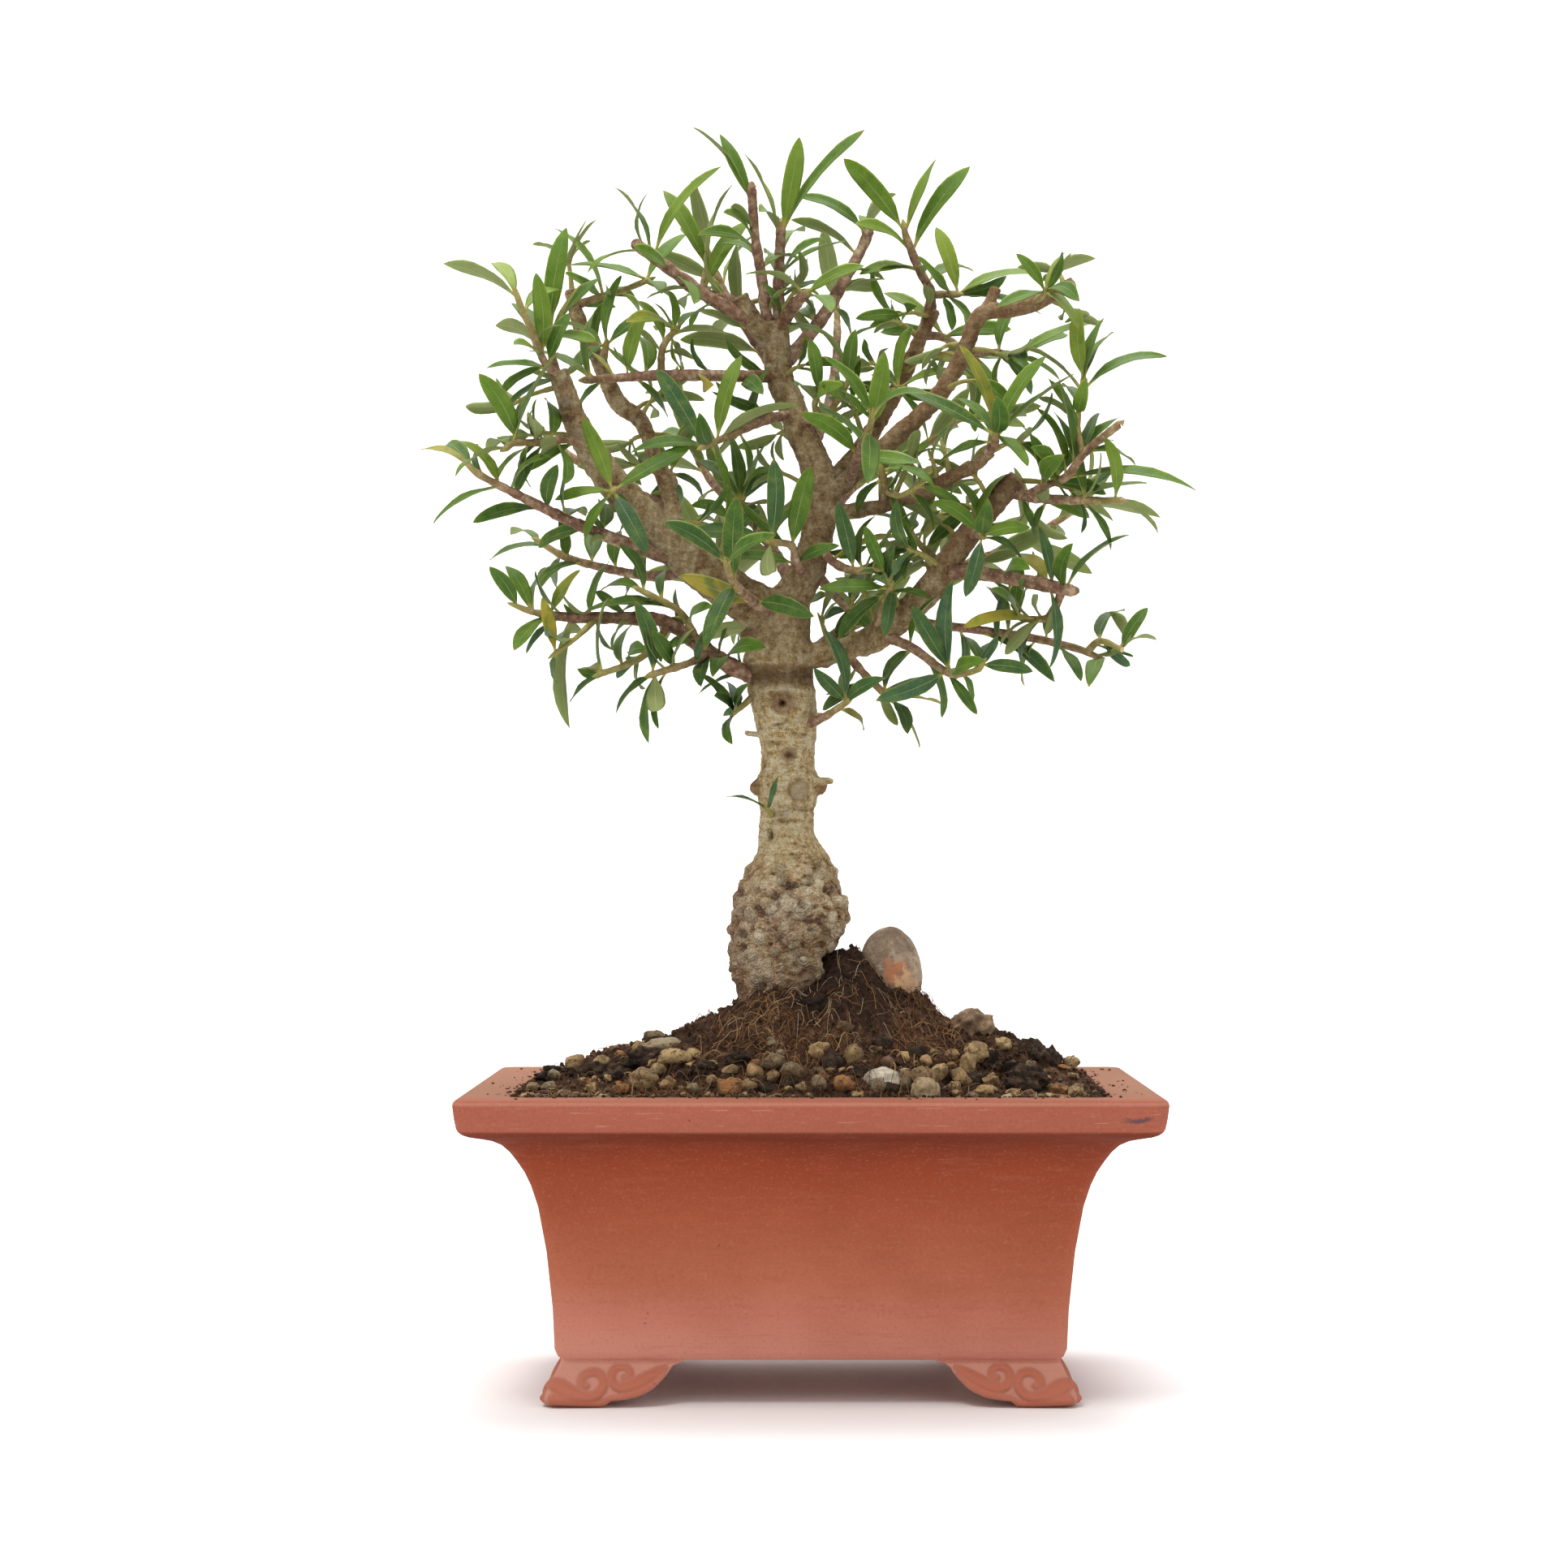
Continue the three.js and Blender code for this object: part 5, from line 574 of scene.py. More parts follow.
# the branches of a stem, each with its leaves: place along the branch, across and height of the tip,
# how far it leans back, and how broad it looked, below zero where the underside shows
leafyStems = {
    "farLeftLow": [([(-40, 252, -9, 2.2), (-60, 258.8, -17, 2), (-75, 265, -23, 1.7), (-90, 272.5, -29, 1.4),
        (-102, 278.8, -33, 1.1), (-106, 282.5, -34, 0.9)], [(4.9, -120, 287.5, 0.2, 0.45),
        (4.6, -112, 290.5, 0.7, 0.8), (3.5, -106.6, 289.8, -0.3, 0.85), (3.5, -117, 265.5, 0, 0.3),
        (3.6, -86.4, 287, 0.5, 0.3), (3.2, -83, 285.8, -0.6, 0.35), (2.4, -78, 282, -0.4, 0.95),
        (2.5, -104, 264, -0.3, 0.5), (2, -69, 267.2, 0.9, 0.5), (1.3, -64.9, 271, 0.9, 0.9),
        (1.6, -84, 256.5, 0.7, 0.7)])],
    "farLeftMid": [([(-67.5, 287, -17, 1.5), (-75, 289.6, -24, 1.3), (-83, 288.8, -29, 1.2), (-91, 288.6, -33, 1.1),
        (-93.5, 287.2, -34, 1)], [(3.9, -109.4, 278.3, -0.3, -0.4), (2.9, -102.3, 309.8, -0.2, 0.95),
        (3, -76.9, 316, -0.2, 0.3), (3, -88.2, 308.6, 0.6, -0.45), (3.5, -100.3, 288, 0.8, 0.3),
        (2.2, -87, 297, -0.95, -0.8), (1.6, -81.5, 303.5, 0.6, 0.9), (1.1, -83.3, 286.4, -0.9, -0.7),
        (2.5, -88, 274.5, 0.4, 0.5), (1.4, -75.5, 276, -0.5, 0.45)])],
    "leftHigh": [([(-77.5, 309, -22, 1.7), (-82, 313.5, -27, 1.3), (-85.5, 322, -30, 1.1), (-89, 330, -31, 1),
        (-90.8, 334.8, -31, 0.9)], [(3.9, -112.7, 344.8, 0.2, -0.4), (3.9, -97.2, 345, 0.8, 0.6),
        (1.3, -84.6, 341, -0.1, 1), (1.5, -107, 325.4, 0, 0.35), (1.7, -96.8, 325, 0.8, -0.5),
        (1.2, -92, 318.2, -0.9, 0.5), (0.7, -100, 312.3, 0, 0.4), (0.8, -97, 304, 0.3, 0.45),
        (0.8, -75.8, 329.6, -0.3, 0.8), (2.9, -77, 337, 0.7, 0.5)])],
    "leftTall": [([(-77, 307, -21, 1.5), (-79.5, 315, -15, 1.2), (-80.7, 325.5, -10, 1)], [(1.9, -75.2, 355.2, 0, 1),
        (1.8, -68.9, 357.6, -0.3, 0.45), (1.6, -66, 319, -0.6, 0.4), (1.3, -71.5, 337.7, -0.8, 0.35),
        (1.1, -92, 332, 0.7, 0.7), (1.7, -64.5, 339, 0.4, 0.35)])],
    "leftLow": [([(-36, 250, -4, 1.9), (-47, 247.5, 4, 1.7), (-60, 249.3, 9, 1.5), (-74.8, 253.2, 13, 1.2),
        (-84, 258.4, 16, 0.9)], [(3.9, -92.6, 262.6, 0.8, 0.5), (3.8, -99, 255, -0.3, 0.5),
        (3, -76.8, 267.4, -0.5, 0.9), (2.5, -67.5, 262, 0.9, 1), (2.7, -85, 245.4, 0, 0.35),
        (2, -59.6, 262.8, 0.5, 0.9), (1.8, -57.5, 238.5, 0.4, 0.6), (1.3, -50.5, 258.5, 0.6, 0.6),
        (3.2, -78, 244, 0.8, 0.5)])],
    "leftShelf": [([(-15, 215.5, 0, 2.8), (-24, 219.5, -6, 2.5), (-32.5, 225, -11, 2.4), (-45, 233.6, -17, 2.2),
        (-57.5, 234.6, -22, 2), (-75, 235, -28, 1.6), (-85, 236.4, -32, 1.1),
        (-91, 238.5, -34, 0.8)], [(6.9, -99, 250.6, -0.2, 1), (6.2, -93.8, 252, 0.3, 0.95),
        (6.1, -82.7, 250.8, 0.6, 0.3), (6.2, -98.5, 227.6, 0.2, 0.25), (5.5, -91, 223.8, -0.6, 0.6),
        (5.5, -72.6, 250, -0.1, 0.85), (2.2, -26.2, 235, -0.4, 0.3), (1.4, -30.2, 219.6, -0.9, 0.7),
        (1.3, -15, 226.5, -0.7, 0.6), (1.7, -34, 214.5, -0.8, 0.8), (4.9, -75.8, 200.5, 0.1, -0.55),
        (4.6, -62, 252, 0.6, 0.6)]),
        ([(-44, 232.6, -17, 1.3), (-49, 225, -22, 1.1), (-56, 220.6, -26, 1),
        (-65, 217.4, -30, 0.9)], [(2.9, -64.2, 241, -0.2, 0.3), (2.9, -69.4, 219.4, 0.9, 0.8),
        (2, -51.8, 225.4, -0.8, 0.4), (2.2, -55.6, 233, 0.8, 0.35), (1.6, -53.6, 212, 0.4, 0.5),
        (2.9, -74, 208.5, 0.3, 0.5)]),
        ([(-32, 224, -11, 1.5), (-37, 221, -20, 1.2), (-42.6, 219.2, -26, 1.1),
        (-49, 217.2, -30, 1)], [(2.9, -53.6, 240, -0.2, 0.9), (2.9, -60.2, 205, 0.3, 0.5), (2.8, -51.4, 196.2, 0, 0.3),
        (2.8, -47.4, 206.8, -0.9, -1), (1.8, -49.3, 231, -0.5, 0.9), (2, -35.4, 232, -0.5, 0.35)]),
        ([(-66, 234.6, -25, 1), (-72.5, 228.4, -32, 0.8), (-79, 223.6, -36, 0.7)], [(1.9, -83.3, 241, -0.3, 0.75),
        (1.9, -78.8, 214, 0.4, 0.4), (1.4, -73.4, 233.4, 0.9, 0.35), (1, -66, 222, 0.7, -0.8)]),
        ([(-34.5, 226.6, -12, 1.3), (-37.4, 232.4, -19, 1.1), (-41.5, 237.6, -23, 1),
        (-52.6, 243.3, -28, 0.9)], [(2.1, -69.3, 236.2, -0.1, 0.6), (2.9, -65.5, 246, 0.4, 0.5),
        (2.9, -58.5, 258, 0.2, 0.5), (1, -32, 238.4, -0.9, 0.5), (2.4, -45.4, 251, 0.8, 0.7),
        (1.5, -45.4, 230, 0.8, -0.4)])],
    "leftSprout": [([(-16, 212.6, -1, 1.3), (-20.5, 208, -5, 1),
        (-23.4, 205.6, -8, 0.8)], [(1.9, -30.4, 210.8, -0.7, 0.8), (1.8, -26.5, 214.6, 0.7, 0.7),
        (1.6, -20.8, 214, -0.8, 0.45), (1.9, -25.7, 197, -0.4, 0.5), (1.9, -33.5, 217.5, -0.1, 0.8)])],
    "topLeftStub": [([(-17, 325.5, 4, 2.4), (-32.2, 333.8, -1, 2), (-42.2, 341.2, -5, 1.9),
        (-53, 349.2, -8, 1.8)], [(2.6, -28.2, 374.4, 0, 0.55), (2.7, -59.4, 368, 0.5, 0.4), (2.2, -55, 349, -0.9, 0.6),
        (1.9, -36, 331, -0.8, 0.5)])],
    "topLeftKnob": [([(-21, 331.5, 3, 1.7), (-28, 333.8, 9, 1.4), (-33, 336, 11, 1.2),
        (-31.6, 344, 12, 0.9)], [(2.9, -44.3, 367.4, -0.3, 0.75), (2, -48.8, 356, 0.3, -0.5),
        (2.1, -18.8, 358, 0.2, 0.95), (1.9, -41, 332.2, 0.8, 0.5), (1.8, -22, 340, 0.8, 0.5),
        (2.9, -25.5, 368.6, 0.6, 0.4)])],
    "topLeftTwig": [([(-72.5, 331, 26, 1.5), (-64.8, 333.6, 22, 1.1), (-57, 336, 19, 1),
        (-50, 338.8, 16, 0.9)], [(1, -75.6, 341, -0.6, 0.7), (1.1, -77.5, 356.2, 0.1, 0.3),
        (2.9, -75.2, 344.4, -0.2, 0.5), (2.9, -46, 334, -0.9, 0.4), (2, -57, 351, 0.7, 0.7), (1.8, -51, 325, 0.5, 0.5),
        (2.9, -38.4, 352.5, 0.6, 0.5), (1.3, -66, 316.5, 0.5, 0.4)])],
    "topLeftStalk": [([(-13.4, 326, 5, 2), (-15.2, 340, -1, 1.8), (-17.2, 352.5, -4, 1.6),
        (-18.2, 366.8, -6, 1.5)], [(2.8, -27.8, 384.2, 0.1, 0.9), (2.8, 0.2, 378.6, 0.1, 0.75),
        (2.8, -36, 385.8, 0.5, 0.3), (1.7, -33.7, 354.6, -0.6, 0.4), (1.9, -27.1, 359.5, -0.9, 0.3),
        (1.2, -4, 346, 0.7, 0.5)])],
    "topStalk": [([(-10.2, 322, 6, 2.1), (-9.8, 340, 9, 1.8), (-9.2, 355.4, 10, 1.5)], [(1.95, -3.5, 382.7, -0.1, 1),
        (1.95, 17.2, 384.4, 0.3, 0.25), (1.95, -20.4, 377.5, 0.4, 0.35), (1.1, 10.4, 350.8, -0.4, 0.4),
        (1, -1, 353.5, -0.9, 0.35), (1, -14, 349, 0.9, 0.9), (1.9, -15, 362, -0.95, -0.6), (1.5, -3, 356, 0.9, 0.5)])],
    "topShort": [([(-10, 324, 5, 2.2), (-4.6, 331.6, -6, 1.9),
        (-1.4, 334.5, -10, 1.7)], [(1.8, -19.4, 342.2, -0.1, -0.6), (1.9, 15.6, 344.8, -0.1, 0.7),
        (1.9, 6.4, 328.4, -0.9, 0.5)])],
    "topRightStalk": [([(-7, 314, 7, 2.4), (2.8, 326.2, 11, 2.1), (9, 336.2, 14, 1.9), (15.2, 347.5, 17, 1.7),
        (17.8, 353.4, 18, 1.5)], [(3.9, -3.2, 366.1, 0, 0.55), (3.9, 24.8, 365, 0.9, -0.7),
        (1.9, 19.8, 337.4, 0.6, -0.6), (0.9, -3, 331.5, 0.9, 1), (2.9, -5.7, 358.2, 0.5, -0.35),
        (1.5, 12.5, 318, 0.7, 0.5)])],
    "rightCrown": [([(36.5, 327.5, 21, 1.9), (36.8, 335, 20, 1.6), (33.2, 342.4, 19, 1.4), (29.4, 352, 18, 1.2),
        (28.8, 355, 18, 1)], [(3.9, 10.2, 376.2, 0.1, 0.85), (3.9, 39, 375.9, 0.1, 0.7), (2.6, 49.5, 373.4, 0.2, 0.55),
        (2.7, 13.8, 356.8, -0.6, 0.35), (2, 15, 340.4, -0.1, 0.45), (3.9, 23, 371, 0.95, 0.5),
        (1.4, 50.5, 344, 0.7, 0.6)]),
        ([(36.9, 334, 20, 1.4), (41, 334.4, 12, 1.2), (45.4, 334.4, 6, 1.1)], [(1.9, 39.3, 355.6, 0.1, 0.85),
        (1.9, 60.3, 354.8, 0, 0.6), (1.9, 56.3, 349.6, 0.8, 0.8), (1.4, 32.9, 346, -0.6, 0.8),
        (1.9, 70, 341.4, -0.2, 0.6), (1.5, 71.2, 329.4, -0.1, 0.4), (1.2, 51, 322, -0.5, 0.6)])],
    "rightBackTwig": [([(34, 321.5, 20, 1.6), (41, 321, 27, 1.3), (50, 315, 33, 1.1),
        (56, 309, 36, 0.9)], [(0.8, 21.7, 325, -0.7, 0.45), (1, 23, 336, 0.3, 0.35), (0.9, 61.9, 323, -0.3, 0.6),
        (2, 66.2, 314, 0.1, 0.6), (2, 56.8, 301, -0.4, 0.7), (3, 66, 294.5, 0.5, 0.7), (3, 71.5, 308, 0.4, 0.8),
        (1.8, 47, 331, 0.6, 0.6), (2.6, 50, 292, 0.5, 0.5), (1.3, 38.5, 306, 0.4, 0.5)])],
    "rightStub": [([(68, 331.3, -15, 1.2), (71.6, 334.2, -22, 1),
        (72.2, 335.4, -25, 0.9)], [(1.9, 64.6, 347.4, -0.2, 0.7), (1.9, 82, 334, -0.9, 0.5),
        (1.9, 78.2, 347, 0.1, 0.4), (1.6, 57.5, 331.4, -0.5, 0.5), (1.9, 83, 325.8, -0.8, 0.6)])],
    "rightWhorl": [([(54.5, 285.4, -26.5, 1.7), (56.6, 288.6, -32, 1.4),
        (57, 291, -35, 1.2)], [(1.9, 45.7, 318.8, 0, 0.45), (1.9, 73.2, 315.4, 0, 0.85), (1.9, 28.3, 304.6, 0.1, 0.65),
        (1.9, 57.2, 303, -0.9, 1), (1.8, 81.6, 309, -0.2, 0.4), (1.5, 45.3, 303.8, 0.7, 0.35),
        (1.4, 65.6, 299.4, 0.8, 0.6), (1.2, 38.5, 282, 0.5, 0.6), (1.9, 67, 283, -0.6, 0.7)])],
    "rightEnd": [([(61.5, 274, -18, 2.1), (66, 272.4, -23, 1.8), (77, 271, -30, 1.4),
        (95.4, 270.9, -37, 1)], [(2.9, 91.8, 290.2, -0.3, 0.65), (2.9, 107, 261, 0.4, -0.4),
        (2.4, 76.8, 299, -0.1, 0.75), (2.4, 84.2, 254.5, -0.1, 0.85), (1.8, 93, 266.6, 0.7, -0.5),
        (2.2, 103.6, 275.1, 0.6, 0.25), (1.6, 68, 258, 0.6, 0.5)]),
        ([(67, 272.4, -24, 1.5), (72.4, 275.6, -30, 1.3), (79, 278.4, -35, 1.3), (85, 286.2, -39, 1.3),
        (95.2, 294.5, -44, 1.2)], [(2, 120, 276.5, 0.1, 0.4), (1.3, 95.8, 297.3, 0.4, 0.7), (2, 71.6, 300, 0.2, 0.3),
        (1.1, 65.5, 294, 0.2, 0.6), (1, 75.8, 284, -0.95, 0.7), (1.6, 66, 286.4, -0.6, 0.5),
        (2.7, 86.4, 296, 0.7, 0.6), (3, 101, 283.5, 0.6, 0.5), (2.4, 75, 306.5, 0.4, 0.4)]),
        ([(84, 284.8, -38, 1.1), (82.2, 294, -34, 1), (83.6, 305.6, -30, 0.9),
        (84, 308.8, -29, 0.8)], [(2.95, 82.7, 330.4, 0, 1), (2.95, 93.6, 322, 0.8, 0.55), (1.3, 84.6, 306.2, -0.6, 1),
        (1.95, 108.4, 318, 0.1, 0.25), (1.95, 66.4, 318.6, 0.3, 0.2), (0.7, 72.4, 307.8, 0.3, 0.5),
        (1.4, 78.4, 306.4, 0.9, 0.5), (2.1, 90.7, 326.8, 0.6, 0.4)])],
    "rightUpperTwig": [([(47.5, 316, -12, 1.4), (56, 316.5, -6, 1.2),
        (64.8, 315.4, -2, 1)], [(1.9, 90.7, 326.4, 0, 0.5), (1.9, 76.5, 307, 0.3, 0.4), (1.4, 66, 313, -0.9, 0.6),
        (1.3, 58, 303, 0.2, 0.6), (1.2, 62, 331, 0.5, 0.6), (1.9, 79, 322.6, 0.8, 0.6)])],
    "rightShelf": [([(38, 248.6, -14.5, 2.5), (50.2, 248.6, -20, 2.3), (65.2, 246.2, -26, 2.1),
        (79.8, 243.2, -31, 2)], [(2.6, 71.8, 263, -0.3, 0.8), (2.6, 75.8, 220, -0.2, 0.7),
        (2.85, 79.4, 256, -0.9, 0.9), (2.9, 86.2, 262, 0.4, 0.9), (2.9, 97.8, 261.2, 0.3, 0.3),
        (2.3, 67.8, 253.4, 0.9, 0.4), (2.5, 62.8, 255.6, 0.8, 0.8), (1.6, 66.2, 250.6, -0.9, 0.6),
        (1.8, 58, 228.5, 0.5, 0.5)]),
        ([(77.5, 243.6, -30, 1.4), (74, 235.6, -23, 1.2), (68.4, 234.2, -18, 1.1),
        (62, 235.4, -14, 0.9)], [(2.9, 63, 255, 0.2, 1), (1.9, 46.9, 232.8, 0.1, 0.6), (2.8, 56.8, 246, 0.6, 0.4),
        (2.6, 67.4, 243.6, 0.9, 0.6), (1, 83.8, 228, -0.1, 0.7), (2.9, 55, 242, -0.8, 0.5),
        (1.5, 63, 220.5, 0.5, 0.5)])],
    "rightLowShelf": [([(29, 236, -12, 1.6), (36, 233, -9, 1.5), (50.2, 231.2, -5, 1.4), (67.8, 228.6, -8, 1.3),
        (82.8, 225, -12, 1.2), (90, 221.6, -14, 1.1)], [(2.2, 75.2, 214.8, -0.1, 0.45), (3.6, 83.4, 215.4, -0.6, 0.4),
        (4.8, 85.3, 216.5, -0.9, 0.8), (2.6, 56, 246, 0.5, 0.4), (3.1, 66, 214, 0.4, 0.5), (3.3, 76, 241, 0.5, 0.5),
        (1.7, 46, 215, 0.4, 0.5)]),
        ([(85, 224, -12.5, 1.1), (89.2, 227.6, -18, 1), (95.8, 225, -24, 0.8)], [(1, 93, 243, -0.2, 1),
        (1.9, 103.8, 237.8, -0.1, 1), (1.9, 106.4, 229, 0.6, 0.3), (1, 84.4, 236, 0.8, 0.9),
        (1.9, 93.6, 236, 0.8, -0.5), (1.1, 82.5, 247.4, 0.6, 0.25), (0.9, 95.4, 239, 0.9, 0.5)])],
    "rightLowFront": [([(21, 229.5, -10, 1.7), (31, 225.6, -20, 1.4), (42.6, 217.8, -30, 1.2), (51.2, 218.6, -35, 0.9),
        (52.6, 220.4, -36, 0.8)], [(1.9, 20.3, 209.3, -0.3, 1), (2, 30.8, 238.2, -0.1, 0.8), (2, 43, 246.6, 0, 0.9),
        (2.2, 50.8, 222.5, -0.9, 0.6), (3.9, 68.4, 218.2, -0.1, 1), (2.4, 49.9, 207.6, 0.3, 0.3),
        (3.9, 46.6, 229, 0.8, 0.7), (3.9, 57, 228, 0.8, 0.4), (1.4, 40.8, 204, 0.5, 0.3), (1, 22.5, 216, 0.6, 0.5),
        (0.9, 36.5, 241, 0.8, 0.5)])],
    "rightLowBack": [([(11, 224.4, -6, 1.6), (15, 219, 2, 1.3), (22, 212, 9, 1.1),
        (25, 209.4, 12, 0.9)], [(2.9, 32.8, 194.5, 0.2, 0.3), (2.9, 30.4, 199.8, -0.5, 0.6), (2, 40, 216, 0.3, 0.5),
        (1.5, 3, 207, 0.5, 0.6), (2, 31, 226, 0.6, 0.5), (2.9, 40.8, 208, 0.5, 0.4)])],
    "trunkRightLow": [([(-4, 201, -2, 1.8), (3.4, 203.8, -9, 1.4), (7.6, 206.4, -13, 1.1),
        (11.2, 208.9, -17, 1)], [(2.9, 1, 219.4, -0.3, 1), (2.9, 20.8, 216, -0.6, 0.9), (2.8, 6.5, 232, 0.3, 0.55),
        (2.9, 11.7, 222, 0.6, 0.5), (2.2, 18, 201.5, 0.5, 0.5)])],
    "innerRight": [([(1, 250, 1, 1.7), (6, 243, 10, 1.4), (12, 237, 18, 1.2)], [(1.9, 3, 233, 0.3, 0.8),
        (1.9, 9, 225.5, 0.2, 0.8), (1.9, 20, 229, 0.3, 0.9), (1.9, 24, 241, 0.4, 0.8), (1.9, 12, 250.5, 0.7, 0.9),
        (1, -1.6, 238, 0.7, 0.6), (1.2, 22, 251, 0.5, 0.6), (1.9, 14, 229.5, 0.9, 1)])],
    "innerRightFront": [([(20, 229, -9.5, 1.5), (22.4, 239, -17, 1.2),
        (24.6, 244, -20, 1)], [(1.9, 23, 229.2, -0.5, 1), (1.9, 2.6, 244.4, 0, 0.7), (1.9, 25.4, 257.4, -0.3, 0.65),
        (1.7, 36.4, 239.6, 0.2, 0.5), (1.5, 9, 228, 0.4, 0.6), (1.9, 35, 254, 0.5, 0.6)])],
    "frontMiddle": [([(-1.5, 248, -3, 1.7), (-4.4, 251.4, -12, 1.5), (-6, 257, -17, 1.2),
        (-12.4, 258, -22, 1)], [(2.95, -11.4, 283.9, -0.1, 1), (2.95, -12.1, 247, -0.8, -1),
        (2.9, -0.4, 271.8, 0.5, 0.3), (2.95, -39.6, 261.6, 0, 0.75), (1.95, 0, 281, -0.1, 1),
        (1, 6.7, 258.4, -0.5, 0.6), (1, -26.4, 253, 0.1, 0.75)])],
    "frontRight": [([(2, 257, 0, 1.6), (7.4, 251.6, -10, 1.4), (12.8, 249.4, -18, 1.2),
        (19.6, 249.4, -22, 1)], [(2, 8.3, 270.4, -0.2, 1), (2.9, 25.2, 262, 0.5, 0.8), (0.8, 30.1, 261.2, 0.1, -0.55),
        (2.9, 31, 268, 0.7, 0.3), (2.4, 17, 266, 0.8, 0.5), (2.9, 37, 262.6, -0.4, 0.4)])],
    "rightInner": [([(37.6, 247, -14.5, 1.6), (38, 252.8, -8, 1.2), (34.4, 256.4, -5, 1),
        (30.8, 261.4, -2, 0.8)], [(1.8, 48.4, 269.8, -0.2, 0.85), (1.9, 40.9, 267, 0.8, -0.5),
        (2.9, 27.3, 266.8, 0.9, 0.4), (2.9, 36, 270, 0.8, 0.3), (2.2, 22, 251, 0.5, 0.5), (2.9, 20, 268, 0.2, 0.5)])],
    "rightWhorlLow": [([(49, 260.6, -17, 1.7), (51, 260.6, -24, 1.4),
        (52.8, 259.8, -28, 1.2)], [(1.9, 38.3, 271.4, -0.1, 0.85), (1.9, 67.4, 262.8, -0.3, 0.9),
        (1.9, 47.4, 241.4, -0.1, 0.95), (1.9, 54.2, 270.5, -0.9, 1), (1.9, 66.2, 252, 0.4, 0.5),
        (1.4, 46.7, 277, 0.4, 0.4), (1.4, 58.5, 280.5, 0.3, 0.6)])],
    "innerLeftMid": [([(-5, 297.5, 4, 1.8), (-14, 295.6, -8, 1.5), (-27, 290, -19, 1.2),
        (-33, 287.4, -23, 1)], [(2.95, -47.5, 311.4, -0.1, 1), (2.2, -22.8, 316.4, -0.1, 0.85),
        (2.1, -3.8, 301.2, -0.4, -0.7), (2.9, -55.4, 285.4, 0.1, 0.7), (2.9, -33.5, 261, -0.1, 1),
        (2.6, -24, 266.5, 0.4, 0.5), (2.6, -34, 296.5, -0.9, 1), (1.3, -12, 313, 0.6, 0.5),
        (1.6, -19, 275, 0.5, 0.5)])],
    "leftArmWhorl": [([(-58.6, 273, -14, 1.7), (-60.4, 274, -22, 1.4),
        (-61, 273.8, -25, 1.1)], [(1.9, -70.2, 296.4, -0.3, 1), (1.9, -79.2, 271.6, -0.2, 0.5),
        (1.9, -49.8, 255.8, -0.4, 0.95), (1.9, -37.2, 286.8, 0, 0.65), (1.6, -55, 263, 0.4, 0.4),
        (1.8, -70, 259, 0.2, 0.4)])],
    "leftBeam": [([(-11, 309, 6, 2.1), (-21, 309.2, -2, 1.9), (-44.8, 309.5, -6, 1.7), (-57, 308.8, -8, 1.5),
        (-69, 308, -9, 1.2)], [(3.3, -69.5, 318, 0.3, 0.5), (2.95, -50.5, 329.4, -0.2, 0.95),
        (2.5, -52, 322.8, 0.8, 0.8), (1.4, -32.2, 305, -0.9, -0.8), (0.9, -14.8, 303.5, -0.9, 1),
        (3.9, -86.5, 318.5, 0.6, 0.5), (2.7, -44, 296.5, 0.5, 0.6), (3.6, -74.5, 294, 0.5, 0.5),
        (3.9, -67, 329.5, 0.7, 0.5)]),
        ([(-46, 309.4, -6, 1.2), (-45.6, 318, -3, 1.1), (-41.2, 323.8, -1, 0.9)], [(1.9, -47.2, 322.4, 0.9, 0.3),
        (1.5, -40.4, 311, 0.8, 0.4), (1.9, -44.2, 335.6, -0.3, 0.8), (1.9, -33.2, 330, 0.7, 0.35),
        (1.9, -26.8, 321.8, 0.5, 0.35), (1.2, -53.5, 332, 0.3, 0.4), (1.9, -56, 325, -0.6, 0.4)])],
    "leftBackTwig": [([(-64.5, 312, 22.5, 1.6), (-63.6, 316, 15, 1.2),
        (-63, 319, 11, 1)], [(1.9, -74.6, 310.8, -0.6, 0.5), (1.9, -58, 340, 0.2, 0.4), (1.9, -48, 329, 0.2, 0.5),
        (1.7, -52, 306, 0.2, 0.6), (1.5, -79, 327, 0.3, 0.5)])],
    "innerLeftBack": [([(-24, 242, -4, 1.5), (-28, 253, 6, 1.3), (-25.6, 262.5, 11, 1.2),
        (-21, 271.4, 15, 1)], [(2.9, -24, 292, 0.2, 0.85), (2.9, -10.4, 281, 0.2, 0.7), (2.9, -13.4, 288, 0.6, 0.6),
        (2.7, -27.4, 280, 0.9, 0.9), (2, -14.6, 266.6, 0.4, 0.6), (2.2, -36.5, 271, 0.2, 0.7),
        (1.4, -24.2, 250.4, -0.9, 0.7), (1.3, -38, 247, 0.5, 0.6), (2.9, -34, 285, 0.5, 0.5),
        (2.9, -16, 260.5, 0.7, 0.7)])],
    "leftBackInner": [([(-44, 274, 8, 1.5), (-42, 276.5, 17, 1.2),
        (-43.5, 279.5, 24, 1)], [(1.9, -52.4, 262, 0.3, 0.6), (1.9, -31, 270.4, 0.4, 0.6), (1.9, -55, 295, 0.4, 0.7),
        (1.9, -36, 297, 0.4, 0.8), (1.9, -62, 283, 0.4, 0.6), (1.4, -41, 264.5, 0.7, 0.5)])],
    "leaderRight": [([(-5, 296, 5, 1.6), (3.2, 296.2, -4, 1.3), (7.7, 300.8, -8, 1.1),
        (12.1, 308.6, -11, 0.9)], [(2.95, 13.7, 323, -0.3, 1), (2.9, 0.6, 325.4, 0.1, -0.6),
        (2.9, 16.6, 314.5, 0.9, 0.35), (2.9, 18.4, 303, 0.9, 0.3), (2.4, 6, 307, -0.9, 0.6),
        (1.4, 16.4, 290, 0.3, 0.5)]),
